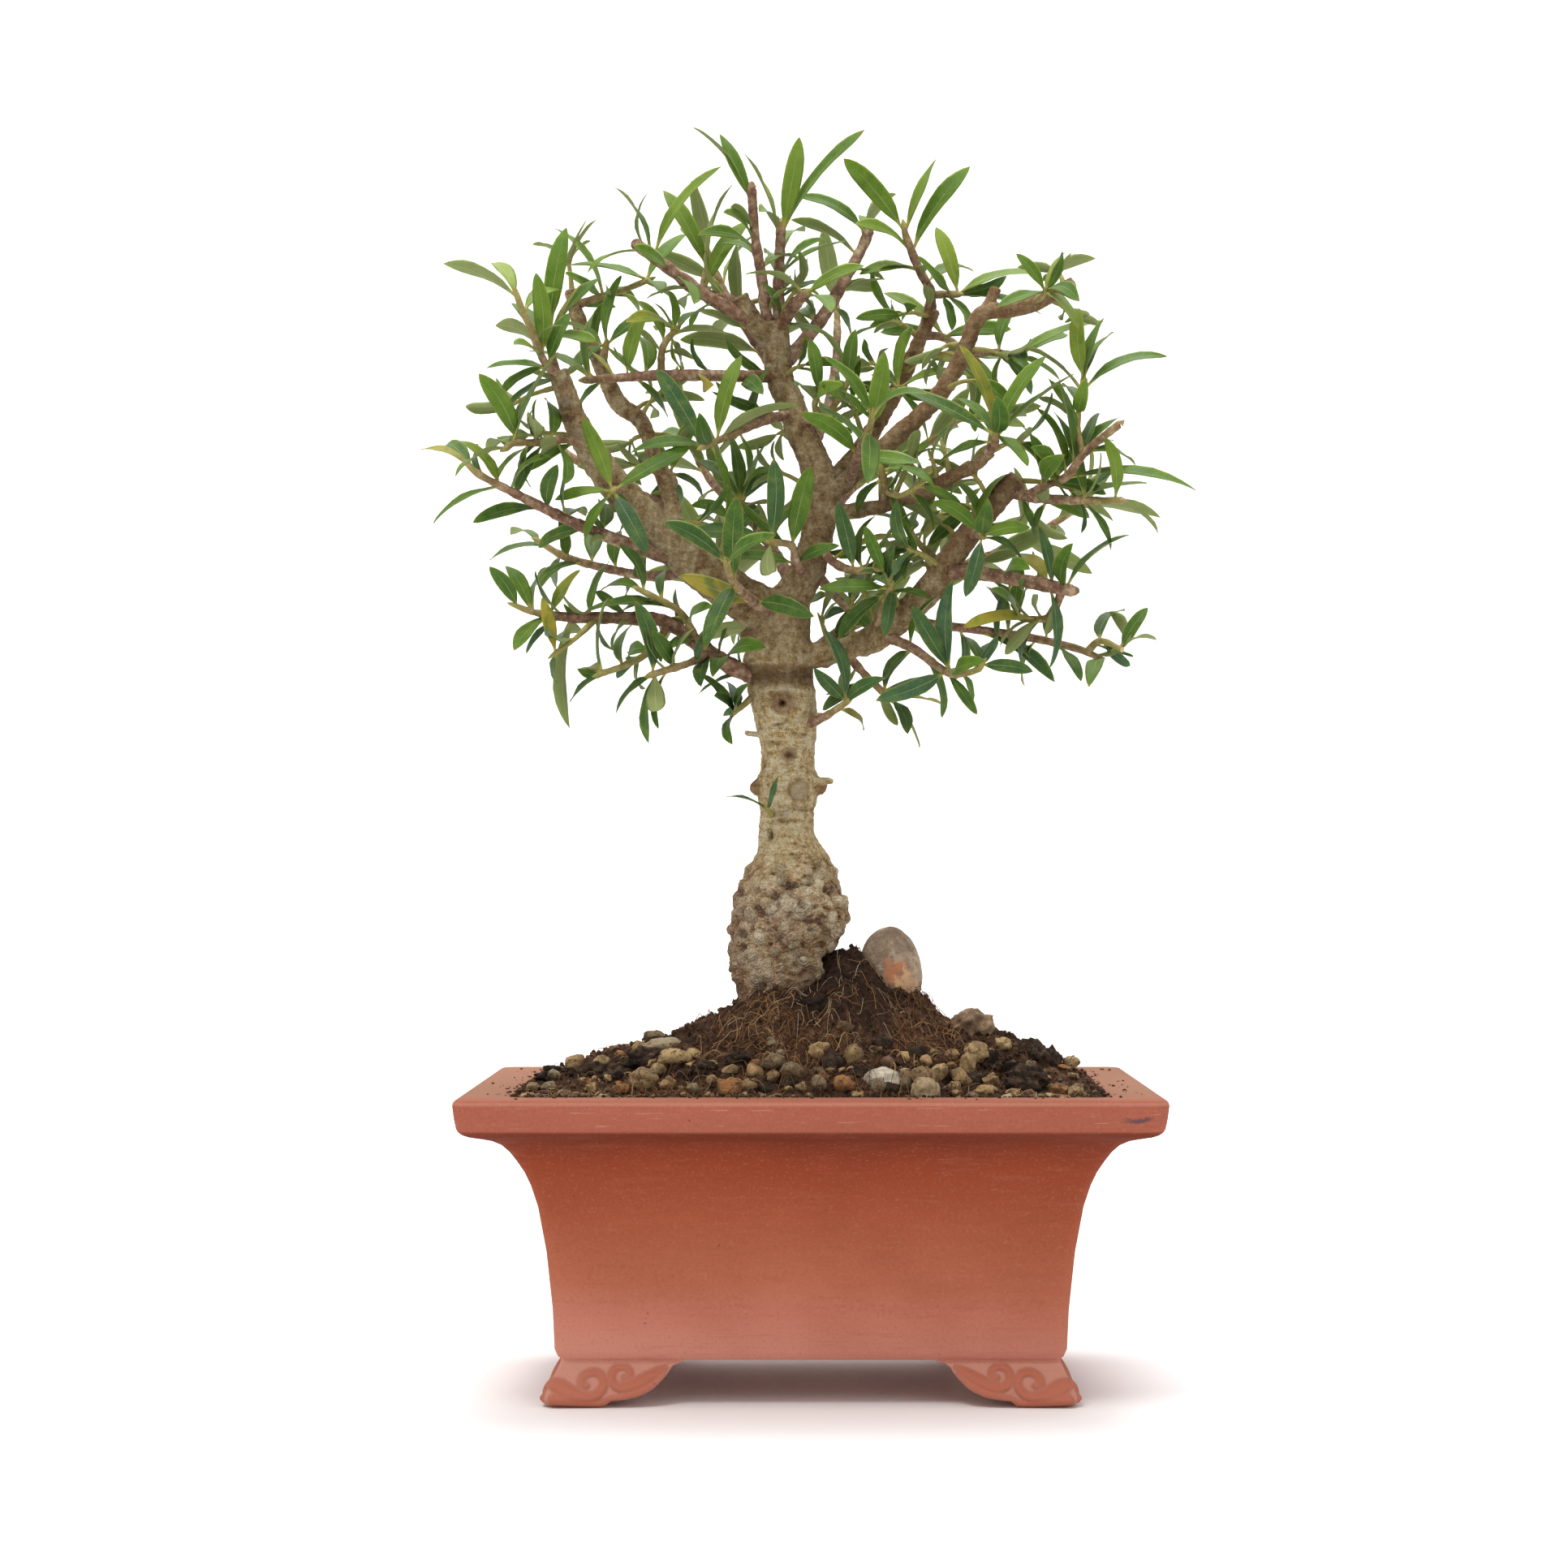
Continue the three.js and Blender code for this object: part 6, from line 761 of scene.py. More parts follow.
        ([(2.4, 296, -4, 1.1), (1.2, 300.4, -10, 1), (2.8, 304.2, -13, 0.8)], [(1.9, 1, 321, 0, 0.85),
        (1.9, 7.4, 319.5, 0.8, 0.6), (1.9, 11.4, 303, -0.8, 0.6), (1.2, -4.8, 306.5, -0.9, -0.7),
        (1.4, 4.4, 293.2, -0.9, -0.8)])],
    "rightBackFan": [([(26, 303.5, 15.5, 1.5), (26.6, 304.6, 8, 1.2), (27, 305.6, 3, 1)], [(1.9, 9.6, 299, -0.2, 0.45),
        (1.9, 49.4, 311, 0, 0.4), (1.7, 18.2, 312, 0.6, 0.85), (1.7, 13.7, 295.4, 0.5, 0.4), (1.5, 38, 290, 0.4, 0.6),
        (1.6, 30.5, 325.5, 0.5, 0.6)])],
    "rightMidTwig": [([(22.6, 269.6, -11, 1.5), (22.8, 275.4, -17, 1.2),
        (21.8, 280.4, -21, 1)], [(1.95, 3.2, 300.4, -0.1, 0.6), (1.9, 31.5, 296, 0.1, 0.9),
        (1.7, 12.1, 278.2, 0.5, -0.4), (1.5, 33.4, 286, 0.4, 0.8), (1.9, 38, 277, -0.6, 0.5),
        (1.4, 12, 267, 0.5, 0.5)]),
        ([(22.7, 274, -15.5, 1.1), (27.6, 272.4, -22, 0.9), (33.6, 275.8, -26, 0.8)], [(1.9, 40.8, 281.4, 0.6, 0.4),
        (1.9, 30.4, 287, 0.6, 0.3), (1.4, 38, 262, 0.3, 0.5), (1.9, 47, 268.5, 0.1, 0.6)])],
    "trunkSprout": [([(-12, 173.6, -5, 1), (-12.6, 174.6, -9.5, 0.8),
        (-13.2, 175.6, -11.5, 0.7)], [(1.9, -25.6, 180.4, -0.2, 0.4), (1.9, -10.8, 186, -0.3, 0.7)])],
}
# stems with opposite leaves: the line, how many pairs and the seed of their numbers
pairedStems = {
    "backLow": ([(-8, 224, 5, 2.2), (-14, 232, 26, 1.8), (-24, 242, 44, 1.4), (-30, 252, 58, 1)], 4, 3),
    "backLowRight": ([(0, 224, 2, 2.2), (14, 233, 24, 1.8), (30, 240, 44, 1.4), (40, 250, 58, 1)], 4, 4),
    "backMidLeft": ([(-5, 244, 3, 2.1), (-16, 262, 28, 1.8), (-30, 276, 48, 1.4), (-38, 290, 60, 1)], 4, 5),
    "backMidRight": ([(2, 262, 3, 2), (14, 276, 28, 1.7), (32, 286, 48, 1.4), (46, 296, 60, 1)], 4, 6),
    "backHigh": ([(0, 286, 4, 2), (6, 302, 26, 1.7), (8, 318, 42, 1.3), (8, 332, 52, 1)], 4, 7),
    "backHighLeft": ([(-6, 303, 7, 1.9), (-16, 318, 26, 1.6), (-26, 334, 38, 1.3), (-32, 348, 44, 1)], 4, 8),
    "sideRightBack": ([(38, 246, -12, 2), (56, 254, 8, 1.7), (72, 262, 26, 1.3), (84, 270, 36, 1)], 4, 9),
    "sideLeftBack": ([(-42, 268, 6, 1.8), (-60, 276, 28, 1.5), (-76, 286, 42, 1.2), (-86, 296, 48, 1)], 4, 10),
    "frontLow": ([(-12, 236, -3, 1.9), (-18, 240, -30, 1.6), (-24, 246, -50, 1.2), (-26, 252, -60, 1)], 3, 12),
    "frontHigh": ([(12, 277, -5, 1.7), (15, 286, -30, 1.4), (18, 293, -48, 1.1), (19, 298, -56, 0.9)], 3, 13),
}


# leaves, each on the stem and in the pose of the solid model
leafLook = {"sizes": {"Stations": 11, "Sides": 8}, "length": 25.0, "width": 6.6, "rootDepth": 0.7, "bow": 0.07,
            "crownFoot": 225, "crownRise": 150}
# how far a tip may move across, in depth and up until it meets its solid
bends = ((0, 0, 0), (0, 3, 0), (0, -3, 0), (0, 6, 0), (0, -6, 0), (2.5, 0, 1), (-2.5, 0, -1), (0, 9, 0), (0, -9, 0),
         (2, 5, -2), (-2, -5, 2), (0, 13, 0), (0, -13, 0), (4, 8, 3), (-4, -8, 3), (-4, 8, -3), (4, -8, -3),
         (0, 18, 0), (0, -18, 0))
# leaves that stand out by their green, or that have gone yellow: across and height of the tip, and tint
tintSpots = ((43, 246.5, 0.05), (20.4, 209.3, 0.1), (30.8, 238.1, 0.15), (71.8, 262.9, 0.1), (75.8, 220.1, 0.1),
             (-47.5, 311.2, 0.12), (-11.5, 283.9, 0.15), (-70.2, 296.2, 0.12), (-49.8, 255.8, 0.1),
             (67.4, 262.7, 0.12), (47.4, 241.3, 0.1), (-84.6, 340.9, 0.85), (-102.3, 309.7, 0.85), (-3.5, 382.7, 0.8),
             (82.7, 330.3, 0.8), (24.6, 364.8, 0.95), (19.8, 337.3, 0.95))
yellowSpots = ((30.1, 261.1), (46.9, 232.8), (-32.2, 305.8), (120, 276.7))
# twigs that end in a cut
cutTwigs = ("topLeftStub", "topLeftStalk", "rightEnd", "rightShelf", "rightLowShelf")


def scaled(vectors):
    return [v * mm for v in vectors]


def routeOf(path):
    return [seen(place) for place in path], [place[3] for place in path]


def squareTo(way, vector):
    # the part of a vector that stands square to a way
    return (vector - way * vector.dot(way)).normalized()


def roundStem(level, forward, quarter):
    # a direction square to a stem, turned round it
    upright = level.cross(forward).normalized()
    return level * math.cos(quarter) + upright * math.sin(quarter)


def leafRoot(route, along, tip):
    points, radii = route
    low = min(math.floor(along), len(points) - 2)
    axis = points[low].lerp(points[low + 1], along - low)
    out = squareTo((points[low + 1] - points[low]).normalized(), tip - axis)
    radius = radii[low] + (radii[low + 1] - radii[low]) * (along - low)
    return axis + out * (leafLook["rootDepth"] * radius)


def seenNormal(root, tip, face):
    # the side of a leaf that shows, turned by how broad it looked
    along = (tip - root).normalized()
    toViewer = Vector((-root.x, -view["distance"] - root.y, view["height"] - root.z)).normalized()
    front = squareTo(along, toViewer)
    edge = along.cross(front).normalized()
    turn = math.acos(min(1, abs(face)))
    facing = front * (math.cos(turn) * math.copysign(1, face))
    return (facing + edge * ((1 if edge.z >= 0 else -1) * math.sin(turn))).normalized()


def tracedLeaves(route, leaves):
    # leaves whose tips were measured, with the side that showed
    made = []
    for along, across, height, lean, face in leaves:
        root = leafRoot(route, along, seen((across, height, route[0][0].y)))
        flat = seen((across, height, root.y))
        missing = math.sqrt(max(0, leafLook["length"] ** 2 - (flat - root).length_squared))
        tip = seen((across, height, root.y + lean * missing))
        made.append((root, tip, lambda bent, root=root, face=face: seenNormal(root, bent, face)))
    return made


def pairedLeaves(route, pairs, random):
    # opposite leaves along a stem, each pair turned a quarter to the one before
    points = route[0]
    last = len(points) - 1
    made = []
    for pair in range(pairs):
        along = (0.3 + (0.69 * pair) / (pairs - 1)) * last
        low = min(math.floor(along), last - 1)
        forward = (points[low + 1] - points[low]).normalized()
        quarter = (pair % 2) * 0.5 * math.pi + 0.4 + 0.5 * (random() - 0.5)
        axis = roundStem(forward.cross(up).normalized(), forward, quarter)
        for hand in (1, -1):
            spread = (0.6 if pair == pairs - 1 else 0.95) + 0.3 * (random() - 0.5)
            length = leafLook["length"] * (0.88 + 0.22 * random())
            way = forward * math.cos(spread) + axis * (hand * math.sin(spread))
            root = leafRoot(route, along, points[low].lerp(points[low + 1], along - low) + way)
            made.append((root, root + way * length, lambda bent, root=root, forward=forward:
                         squareTo((bent - root).normalized(), forward)))
    return made


def nearSolid(node):
    # a search tree over the corners of a solid, in millimetres
    tree = kdtree.KDTree(len(node.data.vertices))
    for corner in node.data.vertices:
        tree.insert(corner.co * 1000, corner.index)
    tree.balance()
    return tree


def liftOf(place):
    # how far up in the crown a place lies, from 0 to 1
    return (place.z - leafLook["crownFoot"]) / leafLook["crownRise"]


def leafTint(tip, draw):
    # brighter and yellowish at the top and the outer ends, darker and bluish low down and inside: partly the leaves'
    # own colour, partly painted light on the crown's top and painted shade inside it
    for across, height, tint in tintSpots:
        if math.hypot(tip.x - across, tip.z - height) < 4:
            return tint, 0
    for across, height in yellowSpots:
        if math.hypot(tip.x - across, tip.z - height) < 5:
            return 0.9, 0.85
    outer = abs(tip.x) / 115
    tint = 0.24 + 0.4 * min(1, max(0, liftOf(tip))) + 0.2 * outer + 0.5 * (draw() - 0.5)
    age = 0.8 * draw() if draw() < 0.08 else 0
    return min(0.97, max(0.03, tint)), age


def stemLeaves(key):
    # the lines of a stem, its leaves and the run of numbers that sizes them
    if key in pairedStems:
        path, pairs, seed = pairedStems[key]
        random = seededRun(seed)
        route = routeOf(path)
        return [route], pairedLeaves(route, pairs, random), random
    seed = 7
    for letter in key:
        seed = (seed * 31 + ord(letter)) % 65521
    routes = [routeOf(path) for path, _ in leafyStems[key]]
    leaves = [leaf for route, (_, traced) in zip(routes, leafyStems[key]) for leaf in tracedLeaves(route, traced)]
    return routes, leaves, seededRun(seed)


def leafPoints():
    # one row of numbers for each leaf, and the lines of the twigs that they sit on
    rows, twigs = [], []
    draw = seededRun(77)
    for key in (*leafyStems, *pairedStems):
        corners = nearSolid(solids["leafy" + key[0].upper() + key[1:]])
        routes, leaves, random = stemLeaves(key)
        twigs += [(key, route) for route in routes]
        for root, tip, normalAt in leaves:
            reach = min(1.06, 0.35 + 0.65 * (tip - root).length / leafLook["length"])
            width = leafLook["width"] * (0.92 + 0.16 * random()) * reach * (0.6 if key == "trunkSprout" else 1)
            tips = [tip + Vector(bend) for bend in bends]
            bent = next((place for place in tips if corners.find(place)[2] < 0.15), None)
            if bent is None:
                continue
            facing = normalAt(bent)
            span = bent - root
            tint, age = leafTint(bent, draw)
            rows.append({"root": root, "span": span, "facing": facing, "half": width * 0.445, "tint": tint, "age": age,
                         "side": span.normalized().cross(facing).normalized(), "bow": leafLook["bow"] * span.length,
                         "draw": draw()})
    return rows, twigs


def leafTree():
    # a ring drawn along a line, laid out by each leaf's own numbers: cupped, rippled, arched and twisted
    given = newShapeTree("leafBlades", leafLook["sizes"])
    line = valueOf("GeometryNodeCurvePrimitiveLine", {"End": (0, 0, 1)})
    even = valueOf("GeometryNodeResampleCurve", {"Curve": line, "Count": given["Stations"]})
    factor = addNode("GeometryNodeSplineParameter").outputs["Factor"]
    spine = store(even, "along", minus(factor, times(calc("SINE", times(factor, 2 * math.pi)), 0.075)))
    apart = partsOf(valueOf("GeometryNodeInputPosition"))
    ring = valueOf("GeometryNodeCurvePrimitiveCircle", {"Resolution": given["Sides"], "Radius": 1})
    profile = store(store(ring, "across", apart[0]), "rise", apart[1])
    blade = valueOf("GeometryNodeCurveToMesh", {"Curve": spine, "Profile Curve": profile, "Fill Caps": True})
    spread = valueOf("GeometryNodeInstanceOnPoints", {"Points": given["Geometry"], "Instance": blade})
    real = valueOf("GeometryNodeRealizeInstances", {0: spread})
    t, across, rise, draw, half, bow = [stored(name) for name in ("along", "across", "rise", "draw", "half", "bow")]
    root, span, side, facing = [stored(name, "FLOAT_VECTOR") for name in ("root", "span", "side", "facing")]
    outline = curveOf(t, [(0, 0.16), (0.06, 0.17), (0.13, 0.4), (0.23, 0.72), (0.35, 0.93), (0.5, 1), (0.66, 0.97),
                          (0.79, 0.83), (0.89, 0.58), (0.96, 0.3), (1, 0.04)])
    thick = curveOf(t, [(0, 0.5), (0.1, 0.42), (0.2, 0.24), (0.6, 0.18), (1, 0.04)])
    reach = times(half, outline, across)
    size = calc("ABSOLUTE", across)
    arch = times(t, minus(1, t), 4)
    channel = times(size, outline, times(half, 0.3))
    ripple = times(calc("SINE", plus(times(t, 11), times(draw, 40))), times(across, size), 0.00022)
    curl = times(calc("POWER", t, 3), times(minus(0.25, draw), 0.0042))
    cupped = plus(channel, ripple, times(rise, thick, mm))
    sway = times(calc("SINE", times(draw, 70)), arch, 0.0012)
    twist = times(calc("SINE", times(draw, 123)), times(t, 0.55))
    cosine, sine = calc("COSINE", twist), calc("SINE", twist)
    turnedSide = plus(minus(times(reach, cosine), times(cupped, sine)), sway)
    turnedLift = plus(times(reach, sine), times(cupped, cosine), plus(times(arch, bow), curl))
    place = vec("ADD", vec("SCALE", span, t), root)
    for way, amount in ((side, turnedSide), (facing, turnedLift)):
        place = vec("ADD", place, vec("SCALE", way, amount))
    return finishTree(given, valueOf("GeometryNodeSetPosition", {"Geometry": real, "Position": place}))


def clearOfWood(place, extra):
    # true where a place keeps clear of the trunk and the limbs, and doesn't hide them from the front
    for path in (trunkPath, *limbPaths.values()):
        points, radii = woodRoutes[id(path)]
        for a, b, ra, rb in zip(points, points[1:], radii, radii[1:]):
            share = max(0, min(1, (place - a).dot(b - a) / (b - a).length_squared))
            off = place - a.lerp(b, share)
            reach = ra + (rb - ra) * share + extra
            if off.length < reach or (off.y < 0 and math.hypot(off.x, off.z) < reach + 1):
                return False
    return True


def smallLeaf(root, way, length, facing, draw, tint):
    # a young leaf as one row of the leaf table
    way = way.normalized()
    facing = squareTo(way, facing)
    return {"root": root, "span": way * length, "facing": facing, "side": way.cross(facing).normalized(),
            "half": (0.085 + 0.03 * draw()) * length + 0.35, "bow": 0.06 * length, "tint": tint,
            "age": 0.6 * draw() if draw() < 0.06 else 0, "draw": draw()}


def pairAt(place, forward, quarter, spread, length, radius, draw):
    # two opposite young leaves
    level = forward.cross(up)
    level = level.normalized() if level.length > 0.1 else Vector((1, 0, 0))
    axis = roundStem(level, forward, quarter)
    made = []
    for hand in (1, -1):
        size = length * (0.8 + 0.4 * draw())
        way = forward * math.cos(spread) + axis * (hand * math.sin(spread))
        root = place + axis * (hand * radius * 0.6)
        middle = root + way * size * 0.6
        if clearOfWood(middle, 1) and clearOfWood(root + way * size, 1):
            # young leaves grow brighter higher up: partly their own colour, partly painted light on the crown's top
            tint = min(0.9, max(0.05, 0.22 + 0.3 * liftOf(middle) + 0.5 * (draw() - 0.4)))
            made.append(smallLeaf(root, way, size, forward, draw, tint))
    return made


# young leaves: one pair on each so many millimetres of twig, how near a traced leaf they have to be;
# shoots: how many on each length of limb, how near a traced leaf they end and how low they may
youngLook = {"spacing": 13, "nearLeaf": 9, "shoots": 2, "nearShoot": 14, "lowest": 226}


def youngGrowth(rows, routes):
    # small leaves between the traced ones, and short shoots from the limbs, inside the crown
    draw = seededRun(4242)
    crown = kdtree.KDTree(len(rows))
    for i, row in enumerate(rows):
        crown.insert(row["root"] + row["span"] * 0.6, i)
    crown.balance()
    added, shoots = [], []
    for key, (points, radii) in routes:
        for a, b, ra, rb in zip(points, points[1:], radii, radii[1:]):
            for _ in range(round((b - a).length / youngLook["spacing"]) if key != "trunkSprout" else 0):
                share = draw()
                place = a.lerp(b, share)
                leaves = pairAt(place, (b - a).normalized(), draw() * math.pi, 0.75 + 0.5 * draw(),
                                10 + 9 * draw(), ra + (rb - ra) * share, draw)
                added += [leaf for leaf in leaves if crown.find(leaf["root"] + leaf["span"])[2] < youngLook["nearLeaf"]]
    for path in limbPaths.values():
        points, radii = woodRoutes[id(path)]
        for a, b, ra, rb in zip(points[1:], points[2:], radii[1:], radii[2:]):
            for _ in range(youngLook["shoots"]):
                share = draw()
                start = a.lerp(b, share)
                forward = (b - a).normalized()
                out = Vector((draw() - 0.5, draw() - 0.35, draw() - 0.2)).normalized()
                out = (out - forward * out.dot(forward) * 0.6).normalized()
                reach = ra + 6 + 8 * draw()
                end = start + out * reach
                inCrown = crown.find(end)[2] <= youngLook["nearShoot"] and end.z >= youngLook["lowest"]
                if not inCrown or not clearOfWood(end, 1.5):
                    continue
                middle = start + out * (reach * 0.6) + up * 0.8
                shoots.append(((start, middle, end), (0.9, 0.7, 0.55)))
                way = (end - middle).normalized()
                for at, length in ((0.55, 10), (1, 14)):
                    added += pairAt(middle.lerp(end, at), way, draw() * math.pi, 0.65 + 0.3 * draw(),
                                    length * (0.8 + 0.5 * draw()), 0.5, draw)
    return added, [("shoot", (list(points), list(radii))) for points, radii in shoots]


woodRoutes = {id(path): routeOf(path) for path in (trunkPath, *limbPaths.values())}
leafRows, twigRoutes = leafPoints()
youngRows, shootRoutes = youngGrowth(leafRows, twigRoutes)
print("traced and young leaves:", len(leafRows), len(youngRows), "shoots:", len(shootRoutes))
leafRows += youngRows
twigRoutes += shootRoutes
leaves = meshPiece("leaves", scaled([row["root"] for row in leafRows]))
for label, factor in (("half", mm), ("bow", mm), ("tint", 1), ("age", 1), ("draw", 1)):
    putOn(leaves, label, [row[label] * factor for row in leafRows])
for label, factor in (("root", mm), ("span", mm), ("facing", 1), ("side", 1)):
    putOn(leaves, label, [row[label] * factor for row in leafRows], "FLOAT_VECTOR")
grow(leaves, leafTree(), leafLook["sizes"], leafMaterial())
leafyNodes = [name for name in solids if name.startswith("leafy")]
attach(leaves, "root")
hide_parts(*leafyNodes)
print("leaves grown:", len(leaves.data.polygons), "faces")


# twigs: thin tapering tubes, a little lumpy, green at the tip or pale where they were cut
def tubeTree():
    # a tube along each line, as thick as its radii say
    given = newShapeTree("tubes", {"Sides": 10, "Step": 0.001, "Rough": 0.0, "Rough Scale": 100.0})
    lines = valueOf("GeometryNodeMeshToCurve", {"Mesh": given["Geometry"]})
    rounded = valueOf("GeometryNodeCurveSplineType", {"Curve": lines}, spline_type="CATMULL_ROM")
    even = valueOf("GeometryNodeResampleCurve", {"Curve": rounded, "Length": given["Step"]}, mode="LENGTH")
    place = valueOf("GeometryNodeInputPosition")
    lumps = valueOf("ShaderNodeTexNoise", {"Vector": place, "Scale": given["Rough Scale"], "Detail": 2})
    radius = times(stored("radius"), plus(times(minus(lumps, 0.5), given["Rough"]), 1))
    sized = valueOf("GeometryNodeSetCurveRadius", {"Curve": even, "Radius": radius})
    ring = valueOf("GeometryNodeCurvePrimitiveCircle", {"Resolution": given["Sides"], "Radius": 1})
    tube = addNode("GeometryNodeCurveToMesh", {"Curve": sized, "Profile Curve": ring, "Fill Caps": True})
    if "Scale" in tube.inputs:
        atHand["tree"].links.new(radius, tube.inputs["Scale"])
    return finishTree(given, tube.outputs[0])


tubes = tubeTree()


def tubePiece(name, chains, sizes, material):
    # chains hold places in millimetres, radii and two shades for each place
    rows, edges = [], []
    for chain in chains:
        edges += [(len(rows) + i, len(rows) + i + 1) for i in range(len(chain) - 1)]
        rows += chain
    piece = meshPiece(name, scaled([row[0] for row in rows]), edges)
    for column, label, factor in ((1, "radius", mm), (2, "young", 1), (3, "cut", 1)):
        putOn(piece, label, [row[column] * factor for row in rows])
    return grow(piece, tubes, sizes, material)


twigChains = []
for key, (points, radii) in twigRoutes:
    forward = (points[-1] - points[-2]).normalized()
    last = radii[-1]
    chain = [(p, r, max(0, min(1, (1.35 - r) / 0.5)), 0) for p, r in zip(points, radii)]
    if key in cutTwigs and len(points) > 2:
        chain.append((points[-1] + forward * 0.3, last, 0, 1))
    else:
        chain += [(points[-1] + forward * 1.2, last * 0.8, 1, 0), (points[-1] + forward * 2.6, last * 0.2, 1, 0)]
    twigChains.append(chain)
twigSizes = {"Sides": 10, "Step": 0.0011, "Rough": 0.35, "Rough Scale": 420.0}
twigs = tubePiece("twigs", twigChains, twigSizes, twigMaterial())
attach(twigs, "root")
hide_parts(*leafyNodes)
print("twigs grown:", len(twigs.data.polygons), "faces")


# trunk and limbs: tubes and bosses fused into one skin, then barked; the fold under the crown parts them
woodLook = {"trunkVoxel": 0.00045, "limbVoxel": 0.00062, "sizes": {"Sides": 28, "Step": 0.0015}, "fold": 219}
sawnEnds = ("leftArm", "leftBack", "leader", "cutKnob", "rightFront", "rightArm", "rightBack")
# scars that the photo shows on the trunk's front: across, height, half breadth, half height, and
# how far the middle and the edge stand out; last how dark the middle is
# a dark middle is the scar's own colour where the scar stands out, and painted shade where it is dented
scars = (
    (-8.9, 208.5, 1.7, 1.7, -3.2, 0.5, 1), (-8.7, 208.4, 3.6, 3.4, 0.2, 0.5, 0), (-8.7, 208.3, 6.3, 6, 0, 0.5, 0),
    (-6.7, 192.6, 1.9, 1.4, -0.8, 0.7, 0.6), (-3.6, 181.4, 2.9, 3, 1.1, -0.4, 0),
    (-8.7, 174.5, 3.2, 1.6, 0.7, -0.3, 0.35), (-12.3, 167.5, 1, 1.8, -0.7, 0.4, 0.7),
    (-4.5, 186.8, 3.6, 0.7, 0.5, -0.3, 0), (-9.5, 202, 2.2, 0.7, -0.6, 0.3, 0.4),
    (-9.5, 214.4, 14, 1.3, -0.6, 0, 0.15), (-9.5, 217, 14, 2.4, -0.4, 0, 0.3), (-9.5, 212.2, 14, 0.9, 0.5, 0, 0),
    (-2.5, 175.8, 5.5, 0.8, -0.5, 0, 0.25), (-9, 170.4, 8, 0.8, 0.5, 0, 0), (-7, 172.3, 6, 0.7, -0.5, 0, 0.2),
    (-6, 178, 6, 0.8, 0.4, 0, 0), (-12, 196.5, 4, 0.7, -0.4, 0, 0.2), (-3.5, 198.8, 4, 0.7, -0.4, 0, 0.2),
    (-8.5, 188.6, 5, 0.7, 0.4, 0, 0), (-9.5, 166.2, 8, 0.9, 0.4, -0.2, 0), (-12.9, 146.3, 2.9, 2.9, 0.9, -0.6, 0),
    (-12.9, 146.3, 5.2, 5.2, 0, 0.7, 0), (-2.6, 146.3, 2, 2, -0.6, 0.8, 0.35), (-6.4, 145.5, 1.6, 1.6, 0.6, -0.3, 0),
    (-4.8, 126.3, 2.6, 1.5, 0.6, -0.5, 0), (-4.8, 126.3, 5.4, 3.1, 0.2, 0.9, 0),
    (-14.8, 121.3, 2, 1.8, -0.5, 0.6, 0.4), (-14.8, 121.3, 4.4, 4, 0.5, 0.9, 0),
    (-9.8, 157, 2.1, 1.8, 0.7, -0.4, 0.25), (0.8, 159.4, 2, 1.7, 0.6, -0.4, 0.25),
    (-8.3, 153.7, 2, 1.2, 0.6, -0.5, 0.35), (-1, 153.8, 1.8, 1.3, 0.6, -0.5, 0.35),
    (-5, 152.6, 6.5, 0.8, -0.6, 0, 0.3), (-21, 137.5, 2, 2.2, -0.5, 0.5, 0.45), (-14.8, 138, 3, 2.6, 0.6, -0.4, 0),
    (-11, 132.5, 2.4, 2.3, 0.7, -0.5, 0.1), (-4.8, 132.5, 2.5, 2.4, 0.7, -0.5, 0.25),
    (0.3, 138.5, 1.8, 0.9, -0.8, 0.4, 0.5), (6.8, 151.6, 2, 2, 0.7, -0.5, 0.25), (9.75, 147, 2.2, 2.2, 0.8, -0.4, 0),
    (2.8, 156.3, 2, 1.9, 0.6, -0.5, 0.15), (-15.3, 152.8, 2.4, 2, 0.6, -0.4, 0), (-21.5, 152.5, 1.7, 1.7, 0.9, 0, 0),
    (-22.8, 148, 1.6, 1.7, 0.8, 0, 0), (-24, 143, 1.7, 1.8, 0.9, 0, 0), (-25, 138.5, 1.5, 1.6, 0.9, 0, 0),
    (-24, 127.5, 1.6, 1.6, 0.9, 0, 0), (-1.8, 160.8, 1.9, 1.4, 0.5, -0.4, 0), (-18.5, 131.5, 2.6, 2.4, 0.7, -0.5, 0),
    (-18, 143.5, 2.3, 2.3, 0.7, -0.5, 0.1), (2.8, 143.5, 2.6, 2.4, 0.7, -0.5, 0), (2.8, 131.5, 2, 2.2, 0.7, -0.4, 0),
    (2.3, 125.5, 2, 2, 0.8, -0.4, 0), (-9.5, 127, 2, 1.8, 0.5, -0.5, 0.1), (6.5, 143, 2.2, 2, 0.7, -0.5, 0.1)
)


def pressScars(piece):
    # raises and dents the front of the trunk where the scars lie, and darkens their middles: with their own dark colour
    # where they stand out, with painted shade where they are dented
    mesh = piece.data
    places = readPlaces(mesh.vertices) * 1000
    normals = readPlaces(mesh.vertex_normals, "vector")
    reach = 1 + places[:, 1] / view["distance"]
    across = places[:, 0] / reach
    height = view["height"] + (places[:, 2] - view["height"]) / reach
    front = np.clip(-normals[:, 1] * 3 + 0.6, 0, 1) * (places[:, 1] < 4)
    push = np.zeros(len(places))
    scarDarkAndShade = np.zeros(len(places))
    for x, z, wide, tall, middle, edge, dark in scars:
        far = np.hypot((across - x) / wide, (height - z) / tall)
        push += front * middle * np.clip((1.1 - far) / 0.5, 0, 1)
        push += front * edge * np.exp(-(((far - 1.05) / 0.26) ** 2))
        if tall > 1 and z < 160:
            push += front * 0.13 * np.cos(far * 7.5) * np.exp(-((far / 1.5) ** 2))
        scarDarkAndShade = np.maximum(scarDarkAndShade, front * dark * np.clip((0.95 - far) / 0.35, 0, 1))
    places += normals * push[:, None]
    mesh.vertices.foreach_set("co", (places * mm).ravel())
    putOn(piece, "scarDarkAndShade", scarDarkAndShade)
    putOn(piece, "pressed", push)
    mesh.update()


